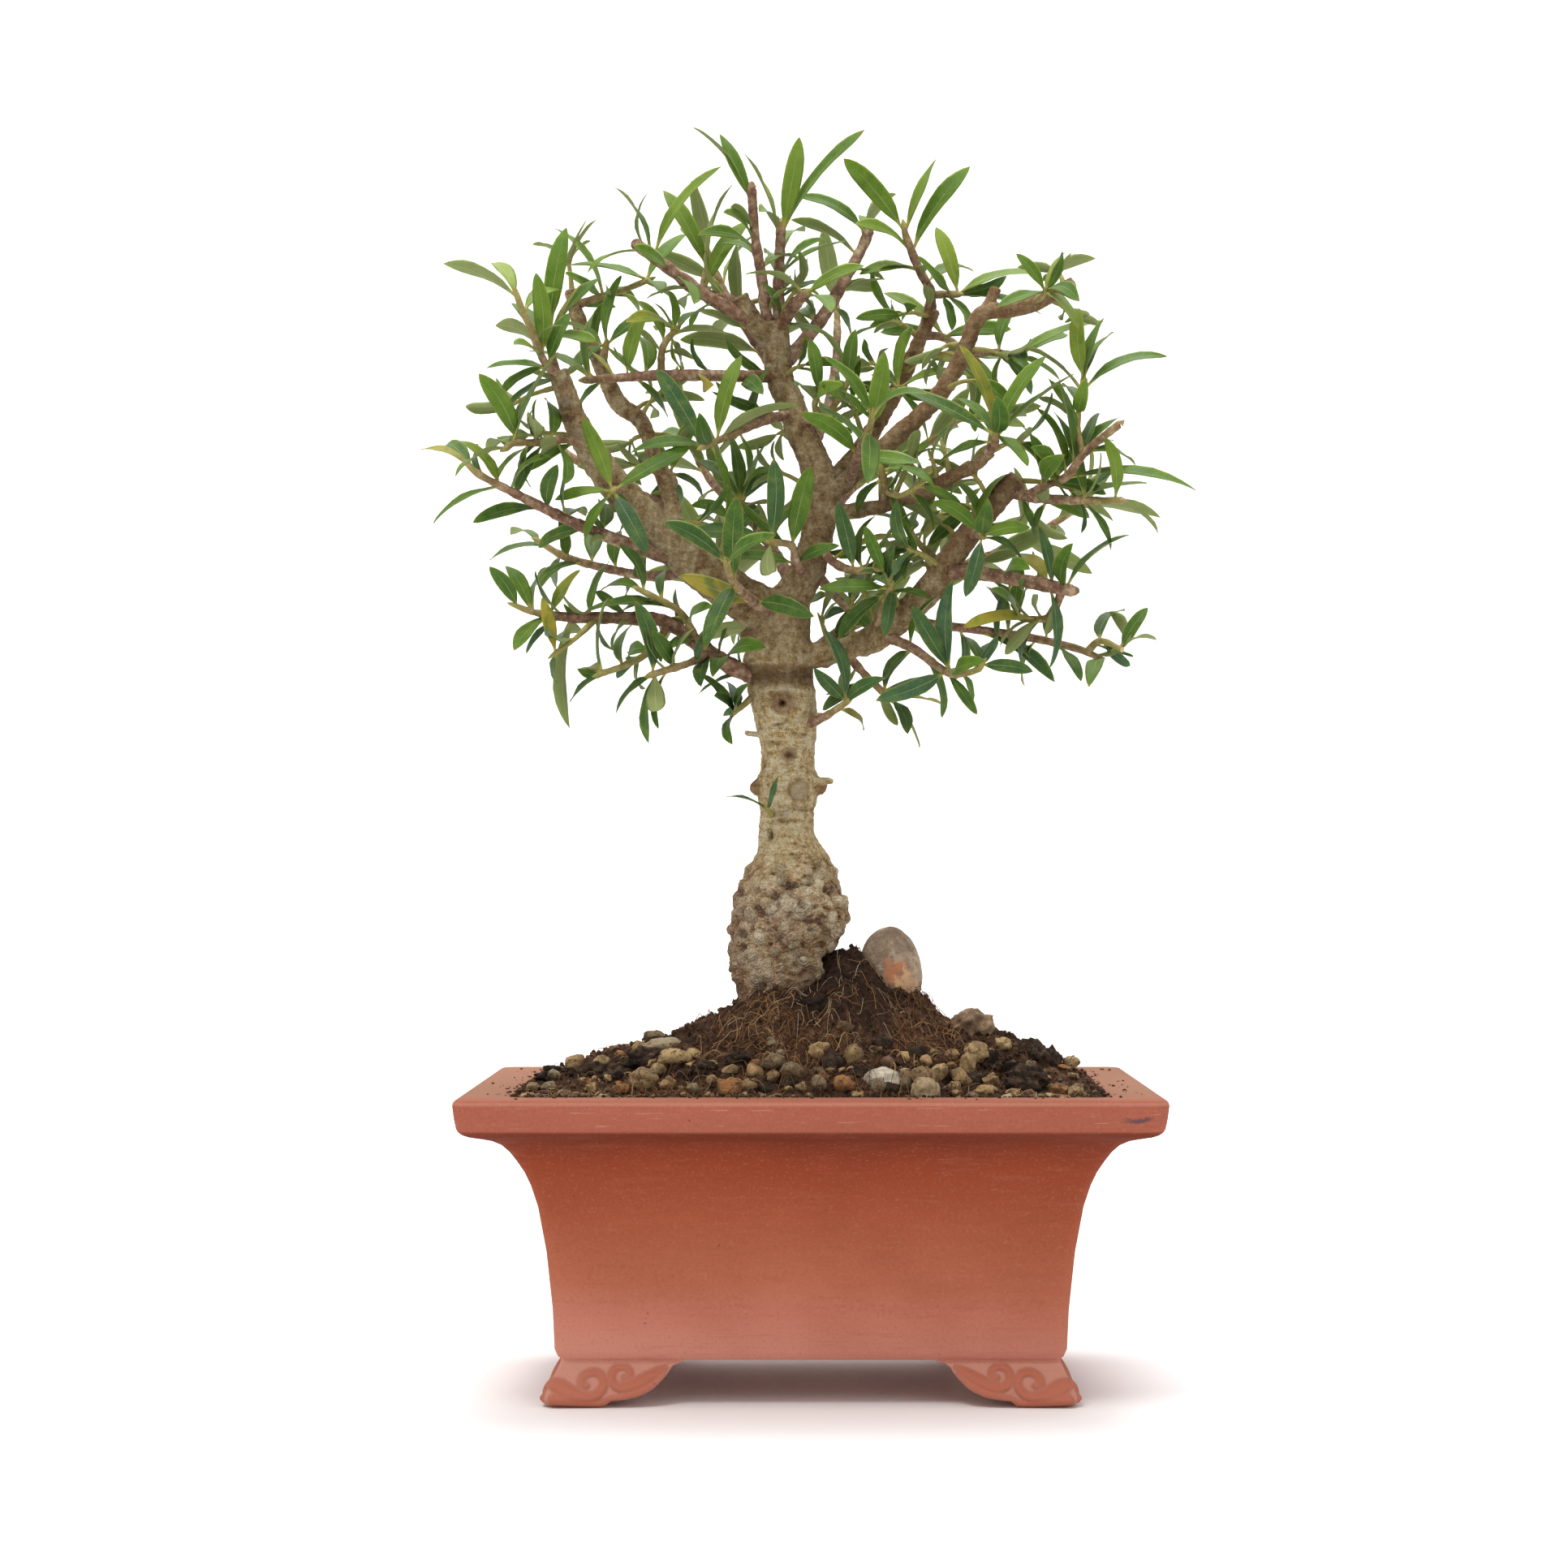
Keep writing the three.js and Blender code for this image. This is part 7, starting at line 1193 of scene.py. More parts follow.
def barkTree():
    # knobs on the swollen foot, level rings, lumps and grain further up
    given = newShapeTree("barkRelief", {"Knobs": 0.0011, "Rings": 0.0006, "Lumps": 0.0006, "Grain": 0.0003})
    place = valueOf("GeometryNodeInputPosition")

    def lumpsOf(at, scale, detail):
        return minus(noiseOf(at, scale, detail, 0.6), 0.5)

    swollen = between(partsOf(place)[2], 0.118, 0.128, 0.156, 0.166)
    dents = minus(0.5, cellsOf(warpedBy(place), 210))
    knobs = times(summed((lumpsOf(place, 130, 3), 1.4), (dents, 1.5)), swollen, given["Knobs"])
    flat = vec("MULTIPLY", place, (1, 1, 4.5))
    rings = times(lumpsOf(flat, 120, 4), times(given["Rings"], 2))
    lumps = times(lumpsOf(place, 85, 2), times(given["Lumps"], 2))
    grain = times(lumpsOf(place, 560, 4), times(given["Grain"], 2))
    relief = plus(knobs, rings, plus(grain, lumps))
    kept = store(given["Geometry"], "relief", times(minus(relief, lumps), 1400))
    shift = vec("SCALE", valueOf("GeometryNodeInputNormal"), relief)
    return finishTree(given, valueOf("GeometryNodeSetPosition", {"Geometry": kept, "Offset": shift}))


def ballPiece(name, centre=(0, 0, 0), size=(1, 1, 1), detail=3):
    shape = bmesh.new()
    bmesh.ops.create_icosphere(shape, subdivisions=detail, radius=1)
    for corner in shape.verts:
        corner.co = Vector(centre) + Vector((corner.co.x * size[0], corner.co.y * size[1], corner.co.z * size[2]))
    return placed(name, meshFrom(name, shape))


def fuseWood(name, paths, swells, voxel, rounds):
    # one closed skin over tubes and bosses, shaded where a limb was sawn off and round the knots
    chains = [[(p, r, 0, 0) for p, r in zip(*routeOf(path))] for path in paths]
    piece = tubePiece(name, chains, woodLook["sizes"], bark)
    mergePieces(piece, [ballPiece("boss", seen(b) * mm, [b[3] * mm] * 3) for b in swells])
    fuse(piece, voxel, rounds)
    corners = readPlaces(piece.data.vertices) * 1000
    sawn, knots = np.zeros(len(corners)), np.zeros(len(corners))
    for limb in sawnEnds:
        points, radii = routeOf(limbPaths[limb])
        forward = np.array((points[-1] - points[-2]).normalized())
        away = corners - np.array(points[-1])
        sawn[(np.linalg.norm(away, axis=1) < radii[-1] * 1.25) & (away @ forward > -0.75)] = 1
    for boss in bosses[:6]:
        far = np.linalg.norm(corners - np.array(seen(boss)), axis=1) / boss[3]
        knots = np.maximum(knots, np.clip(1.25 - far, 0, 0.25) * 4)
    putOn(piece, "cut", sawn)
    putOn(piece, "knot", knots)
    return piece


bark = barkMaterial()
barked = barkTree()
fold = woodLook["fold"]
lowTrunk = [row for row in trunkPath if row[1] < fold - 4] + [
    (-9.5, fold - 2.5, 0, 10.4), (-9.6, fold + 1, 0, 10), (-9.6, fold + 3.5, 0, 8)]
highTrunk = [(-9.3, 208, 0, 6.5), (-9.5, 215, 0, 8.4), (-9.7, 218.9, 0, 10.4), (-9.7, 220.3, 0, 11.7),
             (-9.5, 223, 0, 10.9), (-9.3, 227, 0, 9.7)]
highTrunk += [row for row in trunkPath if row[1] > fold + 9]
swells = bosses[:5] + bosses[6:] + [(-1.4, 127, -7.5, 5.2)]
trunk = fuseWood("trunk", [lowTrunk, *pegPaths[:3]], swells, woodLook["trunkVoxel"], 5)
pressScars(trunk)
grow(trunk, barked, {"Knobs": 0.0014, "Rings": 0.0006, "Lumps": 0.0, "Grain": 0.0005}, bark)
limbs = fuseWood("limbs", [highTrunk, *limbPaths.values(), pegPaths[3]], bosses[5:6], woodLook["limbVoxel"], 4)
# the fold sags unevenly over the trunk
for corner in limbs.data.vertices:
    place = corner.co / mm
    share = max(0, min(1, (224 - place.z) / 4)) * (math.hypot(place.x + 9.6, place.y) > 7)
    sag = 1.5 * noise.noise(place * 0.13) + 0.8 * noise.noise(place * 0.5) + 0.05 * (place.x + 9.6)
    corner.co.z += share * sag * mm
grow(limbs, barked, {"Knobs": 0.0, "Rings": 0.0007, "Lumps": 0.0006, "Grain": 0.0004}, bark)
for piece in (trunk, limbs):
    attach(piece, "root")
    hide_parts("tree")
    print(piece.name, "fused:", len(piece.data.polygons), "faces")


# pot: rings up the outside, over the rim and down the inside, with feet; corner radii, how much less
# deep than wide it is, the feet and the place of their outer corner, and the two holes in the floor
potLook = {"cornerOut": 4.0, "cornerIn": 6.0, "steps": 7, "depthLess": 27.5, "footHeight": 13.3, "footVoxel": 0.00043,
           "footDepth": 9, "footAt": (-73.4, -45.9), "holeRadius": 7, "holeAt": 36}
# rings of the pot: height and half width
potOutside = [(13.3, 72.5), (13.45, 73.6), (14.2, 74.5), (16.5, 75.4), (28, 75.9), (45.3, 77.6), (58.8, 79.9),
              (65.2, 81.8), (69.2, 83.5), (72.6, 85.5), (75.4, 87.4), (77.6, 89.5), (79.1, 92.2), (79.9, 95),
              (80.7, 98.3), (81.3, 99.7), (81.8, 100.4), (82.5, 101.1), (83.4, 101.5), (86.5, 102.1), (90.1, 102.5),
              (90.9, 102.3), (91.4, 101.9), (91.6, 101.2)]
potInside = [(91.6, 88.2), (91.4, 87.7), (91, 87.4), (88, 87.2), (85, 86.5), (78, 82), (70, 77), (60, 73.5), (45, 71),
             (24, 68.5), (21.6, 67.6), (21, 66.5)]


def roundedRing(halfWidth, halfDepth, corner, height):
    # a rectangle with round corners and more points along its straight sides
    def cornerAt(quarter, turn):
        sx, sy = ((1, 1), (-1, 1), (-1, -1), (1, -1))[quarter % 4]
        return Vector((sx * (halfWidth - corner) + corner * math.cos(turn),
                       sy * (halfDepth - corner) + corner * math.sin(turn), height)) * mm

    ring = []
    for quarter in range(4):
        turns = [(quarter + i / potLook["steps"]) * math.pi / 2 for i in range(potLook["steps"] + 1)]
        ring += [cornerAt(quarter, turn) for turn in turns]
        start, end = ring[-1], cornerAt(quarter + 1, (quarter + 1) * math.pi / 2)
        ring += [start.lerp(end, i / 24) for i in range(1, 24)]
    return ring


def loftPiece(name, rings):
    # a closed skin over rings of as many points each
    count = len(rings[0])
    top = (len(rings) - 1) * count
    faces = [(low + i, low + (i + 1) % count, low + count + (i + 1) % count, low + count + i)
             for low in range(0, top, count) for i in range(count)]
    faces += [tuple(reversed(range(count))), tuple(range(top, top + count))]
    return meshPiece(name, [p for ring in rings for p in ring], faces=faces)


clay = potMaterial()
rings = [roundedRing(half, half - potLook["depthLess"], potLook[corner], z)
         for line, corner in ((potOutside, "cornerOut"), (potInside, "cornerIn")) for z, half in line]
pot = loftPiece("clayPot", rings)
drills = bmesh.new()
for side in (1, -1):
    bmesh.ops.create_cone(drills, cap_ends=True, segments=40, radius1=potLook["holeRadius"] * mm,
                          radius2=potLook["holeRadius"] * mm, depth=30 * mm,
                          matrix=Matrix.Translation((side * potLook["holeAt"] * mm, 0, 17 * mm)))
drill = placed("drill", meshFrom("drill", drills))
holes = pot.modifiers.new("holes", "BOOLEAN")
holes.operation = "DIFFERENCE"
holes.solver = "EXACT"
holes.object = drill
applyModifiers(pot)
bpy.data.objects.remove(drill)


def quadratic(a, b, c, count):
    # points along a curve from a to c that is drawn towards b
    made = []
    for i in range(1, count + 1):
        t = i / count
        made.append((a[0] * (1 - t) ** 2 + 2 * b[0] * t * (1 - t) + c[0] * t * t,
                     a[1] * (1 - t) ** 2 + 2 * b[1] * t * (1 - t) + c[1] * t * t))
    return made


# how far the feet flare out of the pot's corner: height and reach
flareLine = ((0, 2.4), (0.5, 3.3), (1.3, 4.1), (2.6, 4.5), (3.6, 4.3), (5.6, 3.5), (8.2, 2.2), (10.8, 0.9), (13.1, 0))


def flareAt(height):
    return np.interp(height, *zip(*flareLine))


def bracketOutline(length):
    # a foot seen from its face, with its outer corner at the left
    high = potLook["footHeight"]
    line = [(0, high + 4.5), (0, 0), (11.8, 0)]
    line += quadratic((11.8, 0), (13.6, 0.2), (14, 1.9), 5)
    line += quadratic((14, 1.9), (length * 0.66, 2.1), (length * 0.8, 5.6), 7)
    line += quadratic((length * 0.8, 5.6), (length * 0.91, 9), (length * 0.94, 11.2), 5)
    line += quadratic((length * 0.94, 11.2), (length * 0.97, 12.6), (length * 1.06, high - 0.3), 4)
    line += [(length * 1.06, high + 4.5)]
    return line


def bracketShape(length, thick, place):
    # a flat outline given depth; the flare comes once both faces of a foot are one
    outline = bracketOutline(length)
    count = len(outline)
    points = [place(x, layer, z) * mm for layer in (0, thick) for x, z in outline]
    faces = [tuple(range(count)), tuple(reversed(range(count, 2 * count)))]
    faces += [(i, i + count, (i + 1) % count + count, (i + 1) % count) for i in range(count)]
    return meshPiece("bracket", points, faces=faces)


def frontPlace(x, y, z):
    return Vector((potLook["footAt"][0] + x, potLook["footAt"][1] + y, z))


def sidePlace(x, y, z):
    return Vector((potLook["footAt"][0] + y, potLook["footAt"][1] + x, z))


# raised bands on a foot's face, from its outer corner inwards: place along and up, and half breadth
scrolls = {
    "front": [
        [(-3.2, 7.4, 1.1), (-0.6, 6.6, 1.7), (2.6, 4.6, 1.9), (6, 3.4, 1.7), (9.4, 3.3, 1.4), (12, 4.9, 1.3),
         (12.9, 7.5, 1.2), (11.4, 9.7, 1.15), (8.6, 10, 1.15), (6.5, 8.6, 1.05), (6.4, 6.9, 0.95), (8.2, 6, 0.8)],
        [(31.2, 11.6, 0.7), (28.4, 10.2, 1.3), (24.8, 8.2, 1.7), (21.2, 6.6, 1.6), (17.8, 5.8, 1.3), (15.5, 7.2, 1.2),
         (15.1, 9.6, 1.15), (16.6, 11.4, 1.1), (19.2, 11.4, 1), (20.6, 9.8, 0.95), (19.4, 8.4, 0.8), (18.2, 8.9, 0.7)],
        [(-2.9, 2.8, 1.9), (1, 2, 1.7), (6, 1.3, 1.4), (12.2, 1.1, 1.1), (14.5, 2.6, 0.8), (18.5, 3.4, 0.9),
         (23, 4.6, 0.9), (27.4, 7, 0.8), (30.6, 10, 0.6)],
    ],
    "side": [
        [(-3.2, 7.4, 1.1), (-0.6, 6.6, 1.7), (2.4, 4.6, 1.8), (5.4, 3.4, 1.6), (8.4, 3.3, 1.3), (10.4, 4.9, 1.2),
         (11.1, 7.4, 1.15), (9.8, 9.6, 1.1), (7.4, 9.8, 1.1), (5.7, 8.4, 1), (5.8, 6.8, 0.9), (7.3, 6.1, 0.8)],
        [(24.6, 11.6, 0.7), (22.2, 9.8, 1.2), (19.2, 7.8, 1.5), (16, 6.4, 1.3), (13.6, 7.3, 1.1), (13, 9.4, 1.1),
         (14.2, 11.2, 1), (16.4, 11.2, 0.95), (17.4, 9.7, 0.85), (16.2, 8.7, 0.7)],
        [(-2.9, 2.8, 1.9), (1, 2, 1.7), (5.5, 1.3, 1.4), (11.4, 1.2, 1), (15.5, 3.3, 0.9), (19.2, 5.2, 0.8),
         (22.4, 8, 0.7), (24.4, 10.4, 0.6)],
    ],
}


def footRelief(kind, place):
    chains = []
    for band in scrolls[kind]:
        chain = []
        for x, z, half in band:
            flare = flareAt(z)
            flat = (x + flare) / (1 + flare / 9) if x < 9 else x
            chain.append((place(flat, 0.22 * (half - 0.6), z), half, 0, 0))
        chains.append(chain)
    return chains


foot = bracketShape(34.5, potLook["footDepth"], frontPlace)
side = bracketShape(27, potLook["footDepth"], sidePlace)
side.data.flip_normals()
chains = footRelief("front", frontPlace) + footRelief("side", sidePlace)
mergePieces(foot, [side, tubePiece("relief", chains, {"Sides": 12, "Step": 0.0005}, clay)])
fuse(foot, potLook["footVoxel"], 3)
# how far a place stands out of the flat faces tells the raised bands from the dusty ground, and finds the grooves
# between them that get painted shade
corners = readPlaces(foot.data.vertices) * 1000
flared = corners.copy()
for axis, face in enumerate(potLook["footAt"]):
    inward = np.clip((face + potLook["footDepth"] - corners[:, axis]) / potLook["footDepth"], 0, 1)
    flared[:, axis] -= flareAt(corners[:, 2]) * inward
foot.data.vertices.foreach_set("co", (flared * mm).ravel())
standOut = np.maximum(potLook["footAt"][1] - corners[:, 1], potLook["footAt"][0] - corners[:, 0])
under = corners[:, 2] < 12.6
for label, shade in (("raised", (standOut - 0.35) / 0.35), ("field", (0.45 - np.abs(standOut)) / 0.25),
                     ("grooveShade", 1 - np.abs(standOut - 0.3) / 0.4)):
    putOn(foot, label, under * np.clip(shade, 0, 1))
    putOn(pot, label, np.zeros(len(pot.data.vertices)))
potShape = bmesh.new()
potShape.from_mesh(pot.data)
for sx, sy in ((1, 1), (-1, 1), (1, -1), (-1, -1)):
    part = foot.data.copy()
    part.transform(Matrix.Diagonal((sx, sy, 1, 1)))
    if sx * sy < 0:
        part.flip_normals()
    potShape.from_mesh(part)
potShape.to_mesh(pot.data)
potShape.free()
bpy.data.objects.remove(foot)
pot.data.materials.clear()
pot.data.materials.append(clay)
smooth(pot)
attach(pot, "root")
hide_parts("pot")
print("pot thrown:", len(pot.data.polygons), "faces")


# soil: rings from the middle out to the pot's wall, then down to its floor
soilLook = {"edge": 89.6, "rise": 38.0, "halfWidth": 87.0, "halfDepth": 59.0, "rings": 84, "gap": 0.35, "floor": 21.4,
            "outer": 87.1, "corner": 5.7, "spacing": 1.6, "wallDepth": 59.5}
# swellings of the ground: across, depth, rise, half breadths across and in depth
swellings = ((15.5, -1, 11, 12, 13), (0.5, -11, -7, 6.5, 7), (-2, -15, 7, 22, 13), (33, -1, 7, 7, 10),
             (62, 4, 8, 20, 26), (-66, 2, 4, 16, 26))


def soilHeight(x, y):
    # a mound round the trunk with swellings and clods on it
    out = min(1, math.hypot(x / soilLook["halfWidth"], y / soilLook["halfDepth"]))
    cone = soilLook["rise"] * (1 - out) ** 1.3
    clods = (0.9 * math.sin(x * 0.31 + 1.3) * math.sin(y * 0.37 + 0.4)
             + 0.6 * math.sin(x * 0.83 - y * 0.71) + 0.5 * math.cos(x * 0.57 + y * 0.93 + 2))
    swell = sum(rise * math.exp(-(((x - across) / wide) ** 2) - (((y - depth) / deep) ** 2))
                for across, depth, rise, wide, deep in swellings)
    return soilLook["edge"] + cone + swell + clods * min(1, 3 * (1 - out) + 0.35)


def roughSoil(x, y):
    # the ground as it shows, with clods, crumbs and a few dips
    height = soilHeight(x, y)
    inner = min(1, 5 * (1.02 - min(1.02, max(abs(x) / soilLook["halfWidth"], abs(y) / soilLook["wallDepth"]))))
    clods = noise.fractal(Vector((x * 0.16, y * 0.16, 3.1)), 1.0, 2.0, 3)
    crumbs = noise.fractal(Vector((x * 0.7, y * 0.7, 8.4)), 0.9, 2.0, 3)
    return height + (1.7 * clods + 0.9 * crumbs) * (0.35 + 0.65 * inner) + 1.5 * (1 - inner)


def onGround(across, height):
    # where the sight line through a measured place meets the ground
    for step in range(170):
        place = seen((across, height, -58.5 + 0.5 * step))
        if place.z < roughSoil(place.x, place.y):
            return place
    return Vector((place.x, 0, roughSoil(place.x, 0)))


def soilRings():
    half = soilLook["outer"] - soilLook["gap"]
    edge = roundedRing(half, half - potLook["depthLess"], soilLook["corner"], 0)
    edge = [Vector((p.x, p.y)) * 1000 for p in edge]
    dense = []
    for a, b in zip(edge, edge[1:] + edge[:1]):
        parts = max(1, round((b - a).length / soilLook["spacing"]))
        dense += [a.lerp(b, i / parts) for i in range(parts)]
    rings = []
    for r in range(soilLook["rings"] + 1):
        share = 0.012 + 0.988 * r / soilLook["rings"]
        rings.append([Vector((p.x * share, p.y * share, roughSoil(p.x * share, p.y * share))) * mm for p in dense])
    for z, halfWidth in [row for row in potInside if row[0] < 84]:
        lower = halfWidth - soilLook["gap"] - 0.1
        fx, fy = lower / half, (lower - potLook["depthLess"]) / (half - potLook["depthLess"])
        rings.append([Vector((p.x * fx, p.y * fy, max(z, soilLook["floor"]))) * mm for p in dense])
    return rings


soil = loftPiece("soilBed", soilRings()[::-1])
groundSkin = soilMaterial("soilGround", (0.15, "221913"), (0.9, "78563c"), (0.4, "38281d"), (0.6, "4f382b"))
soil.data.materials.append(groundSkin)
smooth(soil)
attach(soil, "root")
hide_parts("soil")
print("soil laid:", len(soil.data.polygons), "faces")


# the stone by the trunk and the four loose pebbles
def lumpyPiece(name, node, material, detail, rough, scale, sharp=0):
    # a rounder, finer stone in the box of its solid, worn and dented by noise
    low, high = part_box(node)
    centre = (Vector(low) + Vector(high)) / 2
    size = (Vector(high) - Vector(low)) / 2
    piece = ballPiece(name, detail=detail)
    for corner in piece.data.vertices:
        way = corner.co.normalized()
        wear = noise.fractal(way * scale + Vector((size.x, size.y, size.z)) * 900, 1.0, 2.0, 3)
        facet = abs(noise.noise(way * 1.7 + Vector((size.z, 1, 2)) * 100))
        reach = 1 + rough * wear - sharp * facet
        corner.co = centre + Vector((way.x * size.x, way.y * size.y, way.z * size.z)) * reach
    piece.data.materials.append(material)
    smooth(piece)
    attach(piece, "root")
    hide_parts(node)
    return piece


stonePatches = ("b8744c", (0.0258, -0.0085, 0.1262)), ("d2ab84", (0.031, -0.006, 0.1215))
stoneSkin = stoneMaterial("stoneSkin", "83705d", "b8a48c", stonePatches, scale=70)
stone = lumpyPiece("smoothStone", "stoneBesideTrunk", stoneSkin, 5, 0.05, 1.3)
# each pebble: its slot, its material, how rough and how flattened it is
pebbleLooks = {
    "pebbleWhite": ("pebble_pale", stoneMaterial("pebblePaleSkin", "b3a88f", "d0c6b0", bands=2600), 0.12, 0.3),
    "pebbleTan": ("pebble_tan", stoneMaterial("pebbleTanSkin", "9a8564", "b09a76"), 0.12, 0.3),
    "pebbleGrey": ("pebble_grey", stoneMaterial("pebbleGreySkin", "705944", "93795a"), 0.2, 0.5),
    "pebbleLong": ("pebble_pale", stoneMaterial("pebbleLongSkin", "9d8c6e", "b8a888"), 0.12, 0.3),
}
for node, (slot, skin, rough, sharp) in pebbleLooks.items():
    pebble = lumpyPiece(node[0].lower() + node[1:] + "Worn", node, skin, 4, rough, 1.9, sharp)
print("stone and pebbles worn")


# loose cover: gravel, crumbs of soil and thin roots
def chipMesh(name, seed, corners, rounds=0):
    # a broken chip of stone or soil, one unit across: the skin over a few points, worn if asked
    shape = bmesh.new()
    draw = seededRun(seed)
    for k in range(corners):
        high = 1 - (2 * k + 1) / corners
        turn = 2.4 * k + 0.9 * draw()
        flat = math.sqrt(1 - high * high)
        shape.verts.new(Vector((flat * math.cos(turn), flat * math.sin(turn), high)) * (0.72 + 0.4 * draw()))
    hidden = bmesh.ops.convex_hull(shape, input=shape.verts)["geom_interior"]
    bmesh.ops.delete(shape, geom=[v for v in hidden if isinstance(v, bmesh.types.BMVert)], context="VERTS")
    for _ in range(rounds):
        bmesh.ops.subdivide_edges(shape, edges=shape.edges, cuts=1, use_grid_fill=True)
        bmesh.ops.smooth_vert(shape, verts=shape.verts, factor=0.6, use_axis_x=True, use_axis_y=True, use_axis_z=True)
    bmesh.ops.triangulate(shape, faces=shape.faces)
    bmesh.ops.recalc_face_normals(shape, faces=shape.faces)
    return bpy.data.objects.new(name, meshFrom(name, shape))


def scatterTree():
    # chips set on given points, each turned and sized by its own numbers
    given = newShapeTree("scatteredChips", {"Chips": None})
    chips = valueOf("GeometryNodeCollectionInfo", {
        "Collection": given["Chips"], "Separate Children": True, "Reset Children": True})
    spread = valueOf("GeometryNodeInstanceOnPoints", {
        "Points": given["Geometry"], "Instance": chips, "Pick Instance": True, "Instance Index": stored("kind", "INT"),
        "Rotation": stored("turn", "FLOAT_VECTOR"), "Scale": stored("size", "FLOAT_VECTOR")})
    return finishTree(given, spread, softly=False)


scattered = scatterTree()


def scatter(name, rows, chips, material):
    # rows hold a place in millimetres, a size in three directions, a turn, a kind and a shade
    piece = meshPiece(name, [Vector(row[0]) * mm for row in rows])
    putOn(piece, "size", [Vector(row[1]) * mm for row in rows], "FLOAT_VECTOR")
    for column, label, kind in ((2, "turn", "FLOAT_VECTOR"), (3, "kind", "INT"), (4, "shade", "FLOAT")):
        putOn(piece, label, [row[column] for row in rows], kind)
    group = bpy.data.collections.new(name + "Chips")
    for chip in chips:
        group.objects.link(chip)
    grow(piece, scattered, {"Chips": group}, material)
    for chip in chips:
        bpy.data.objects.remove(chip)
    bpy.data.collections.remove(group)
    return piece


def insideSoil(x, y, margin):
    return abs(x) < 86.2 - margin and abs(y) < 58.7 - margin


# round the stone, the trunk and the pebbles: across, depth and radius
keepOut = [(24.4, 3, 11), (-10.5, 0, 13.5), (21, -44, 6.5), (34, -49, 6), (49, -4, 7.5), (-44, -14, 7.5)]
# stones and dark clods that stand out in the photo: across, height, half breadth, half height, shade
namedStones = (
    (-52, 92.5, 4.2, 3.9, 0.05), (-43.5, 91.2, 2.2, 1.9, 0.2), (-25, 90, 3.5, 3, 0.5), (-17.2, 95.2, 2.6, 2.3, 0.2),
    (-11.2, 97.7, 4.1, 2.6, 0.35), (-11.7, 93.7, 2.3, 2.1, 0.2), (-19.2, 90.7, 2.4, 2, 0.05), (-5.5, 95, 4, 2.7, 0.35),
    (-42.2, 99.5, 4.6, 2.6, 0.6), (-73, 97.7, 3.2, 2.2, 0.2), (-64.2, 98.2, 2.8, 2, 0.6), (-86, 90, 2.3, 1.6, 0.6),
    (13, 100.2, 2.8, 3.1, 0.05), (2, 100.7, 2.5, 2, 0.2), (9.5, 90.7, 3.1, 2.5, 0.5), (2.7, 91.2, 2.8, 2.7, 0.35),
    (28.7, 92.5, 2.8, 3.4, 0.9), (35.7, 98.2, 2.3, 2, 0.2), (44, 90, 2.4, 1.9, 0.6), (48.2, 97, 2.6, 3.9, 0.05),
    (43.2, 100, 2.5, 2, 0.2), (59.5, 103.2, 2.6, 2, 0.6), (54.5, 89, 3.6, 1.9, 0.2), (80.2, 97.5, 2.6, 2.2, 0.6),
    (77, 89.5, 3.1, 2.1, 0.5), (-11.7, 104, 2, 1.4, 0.9), (2.5, 102.2, 3, 1.7, 0.2), (-48.5, 106.2, 3.4, 1.6, 0.35),
    (-53, 102.7, 2.4, 1.7, 0.2), (10.2, 108.7, 3.2, 1.9, 0.72), (-30.5, 92, 2, 1.8, 0.05), (-36, 89.7, 2.4, 1.8, 0.9),
    (33.5, 93.5, 3.6, 3.4, 0.05), (39.5, 94.5, 3, 2.8, 0.6), (46, 93, 3.4, 2.6, 0.2), (24, 97, 3, 2.4, 0.7),
    (51, 101, 3.6, 3, 0.6), (-47, 95.8, 3, 2.2, 0.6), (20.5, 90.2, 2.3, 2, 0.35), (38, 89.2, 2, 1.6, 0.72),
    (63, 92, 2.4, 1.9, 0.05), (68, 96.5, 2, 1.7, 0.9), (-58.5, 89.6, 2.2, 1.7, 0.5), (-68, 90, 2, 1.6, 0.2),
    (-79, 94, 1.9, 1.6, 0.9), (-3, 90, 1.8, 1.5, 0.6)
)
clodSpots = (
    (-51.7, 99.5, 5.4, 3.4), (-79.2, 94.5, 4.8, 2.7), (-66.7, 95, 4, 3.2), (6.5, 98.2, 3.8, 3.4),
    (68.2, 100.7, 4.8, 4.8), (67, 93.2, 6.4, 4.2), (56.5, 98.2, 3.9, 3.2), (-33, 96, 4.2, 2.6), (22, 104.5, 3.4, 2.4),
    (12, 124, 3.6, 3), (2, 116, 4.2, 2.8), (18, 131.5, 3, 2.2), (74, 99, 3.4, 3.6), (-22, 99, 4.4, 2.6),
    (-6, 91, 3.4, 2.4), (16, 95, 3.8, 2.6), (33, 101, 3.4, 2.4), (-60, 94, 4, 2.6), (51, 93, 3.2, 2.4),
    (24, 89.8, 3.2, 2.2), (-37, 94.5, 3.6, 2.4), (-13, 90, 3, 2), (60, 97, 3.2, 2.6)
)
draw = seededRun(501)
stones, clods = [], []
taken = list(keepOut)
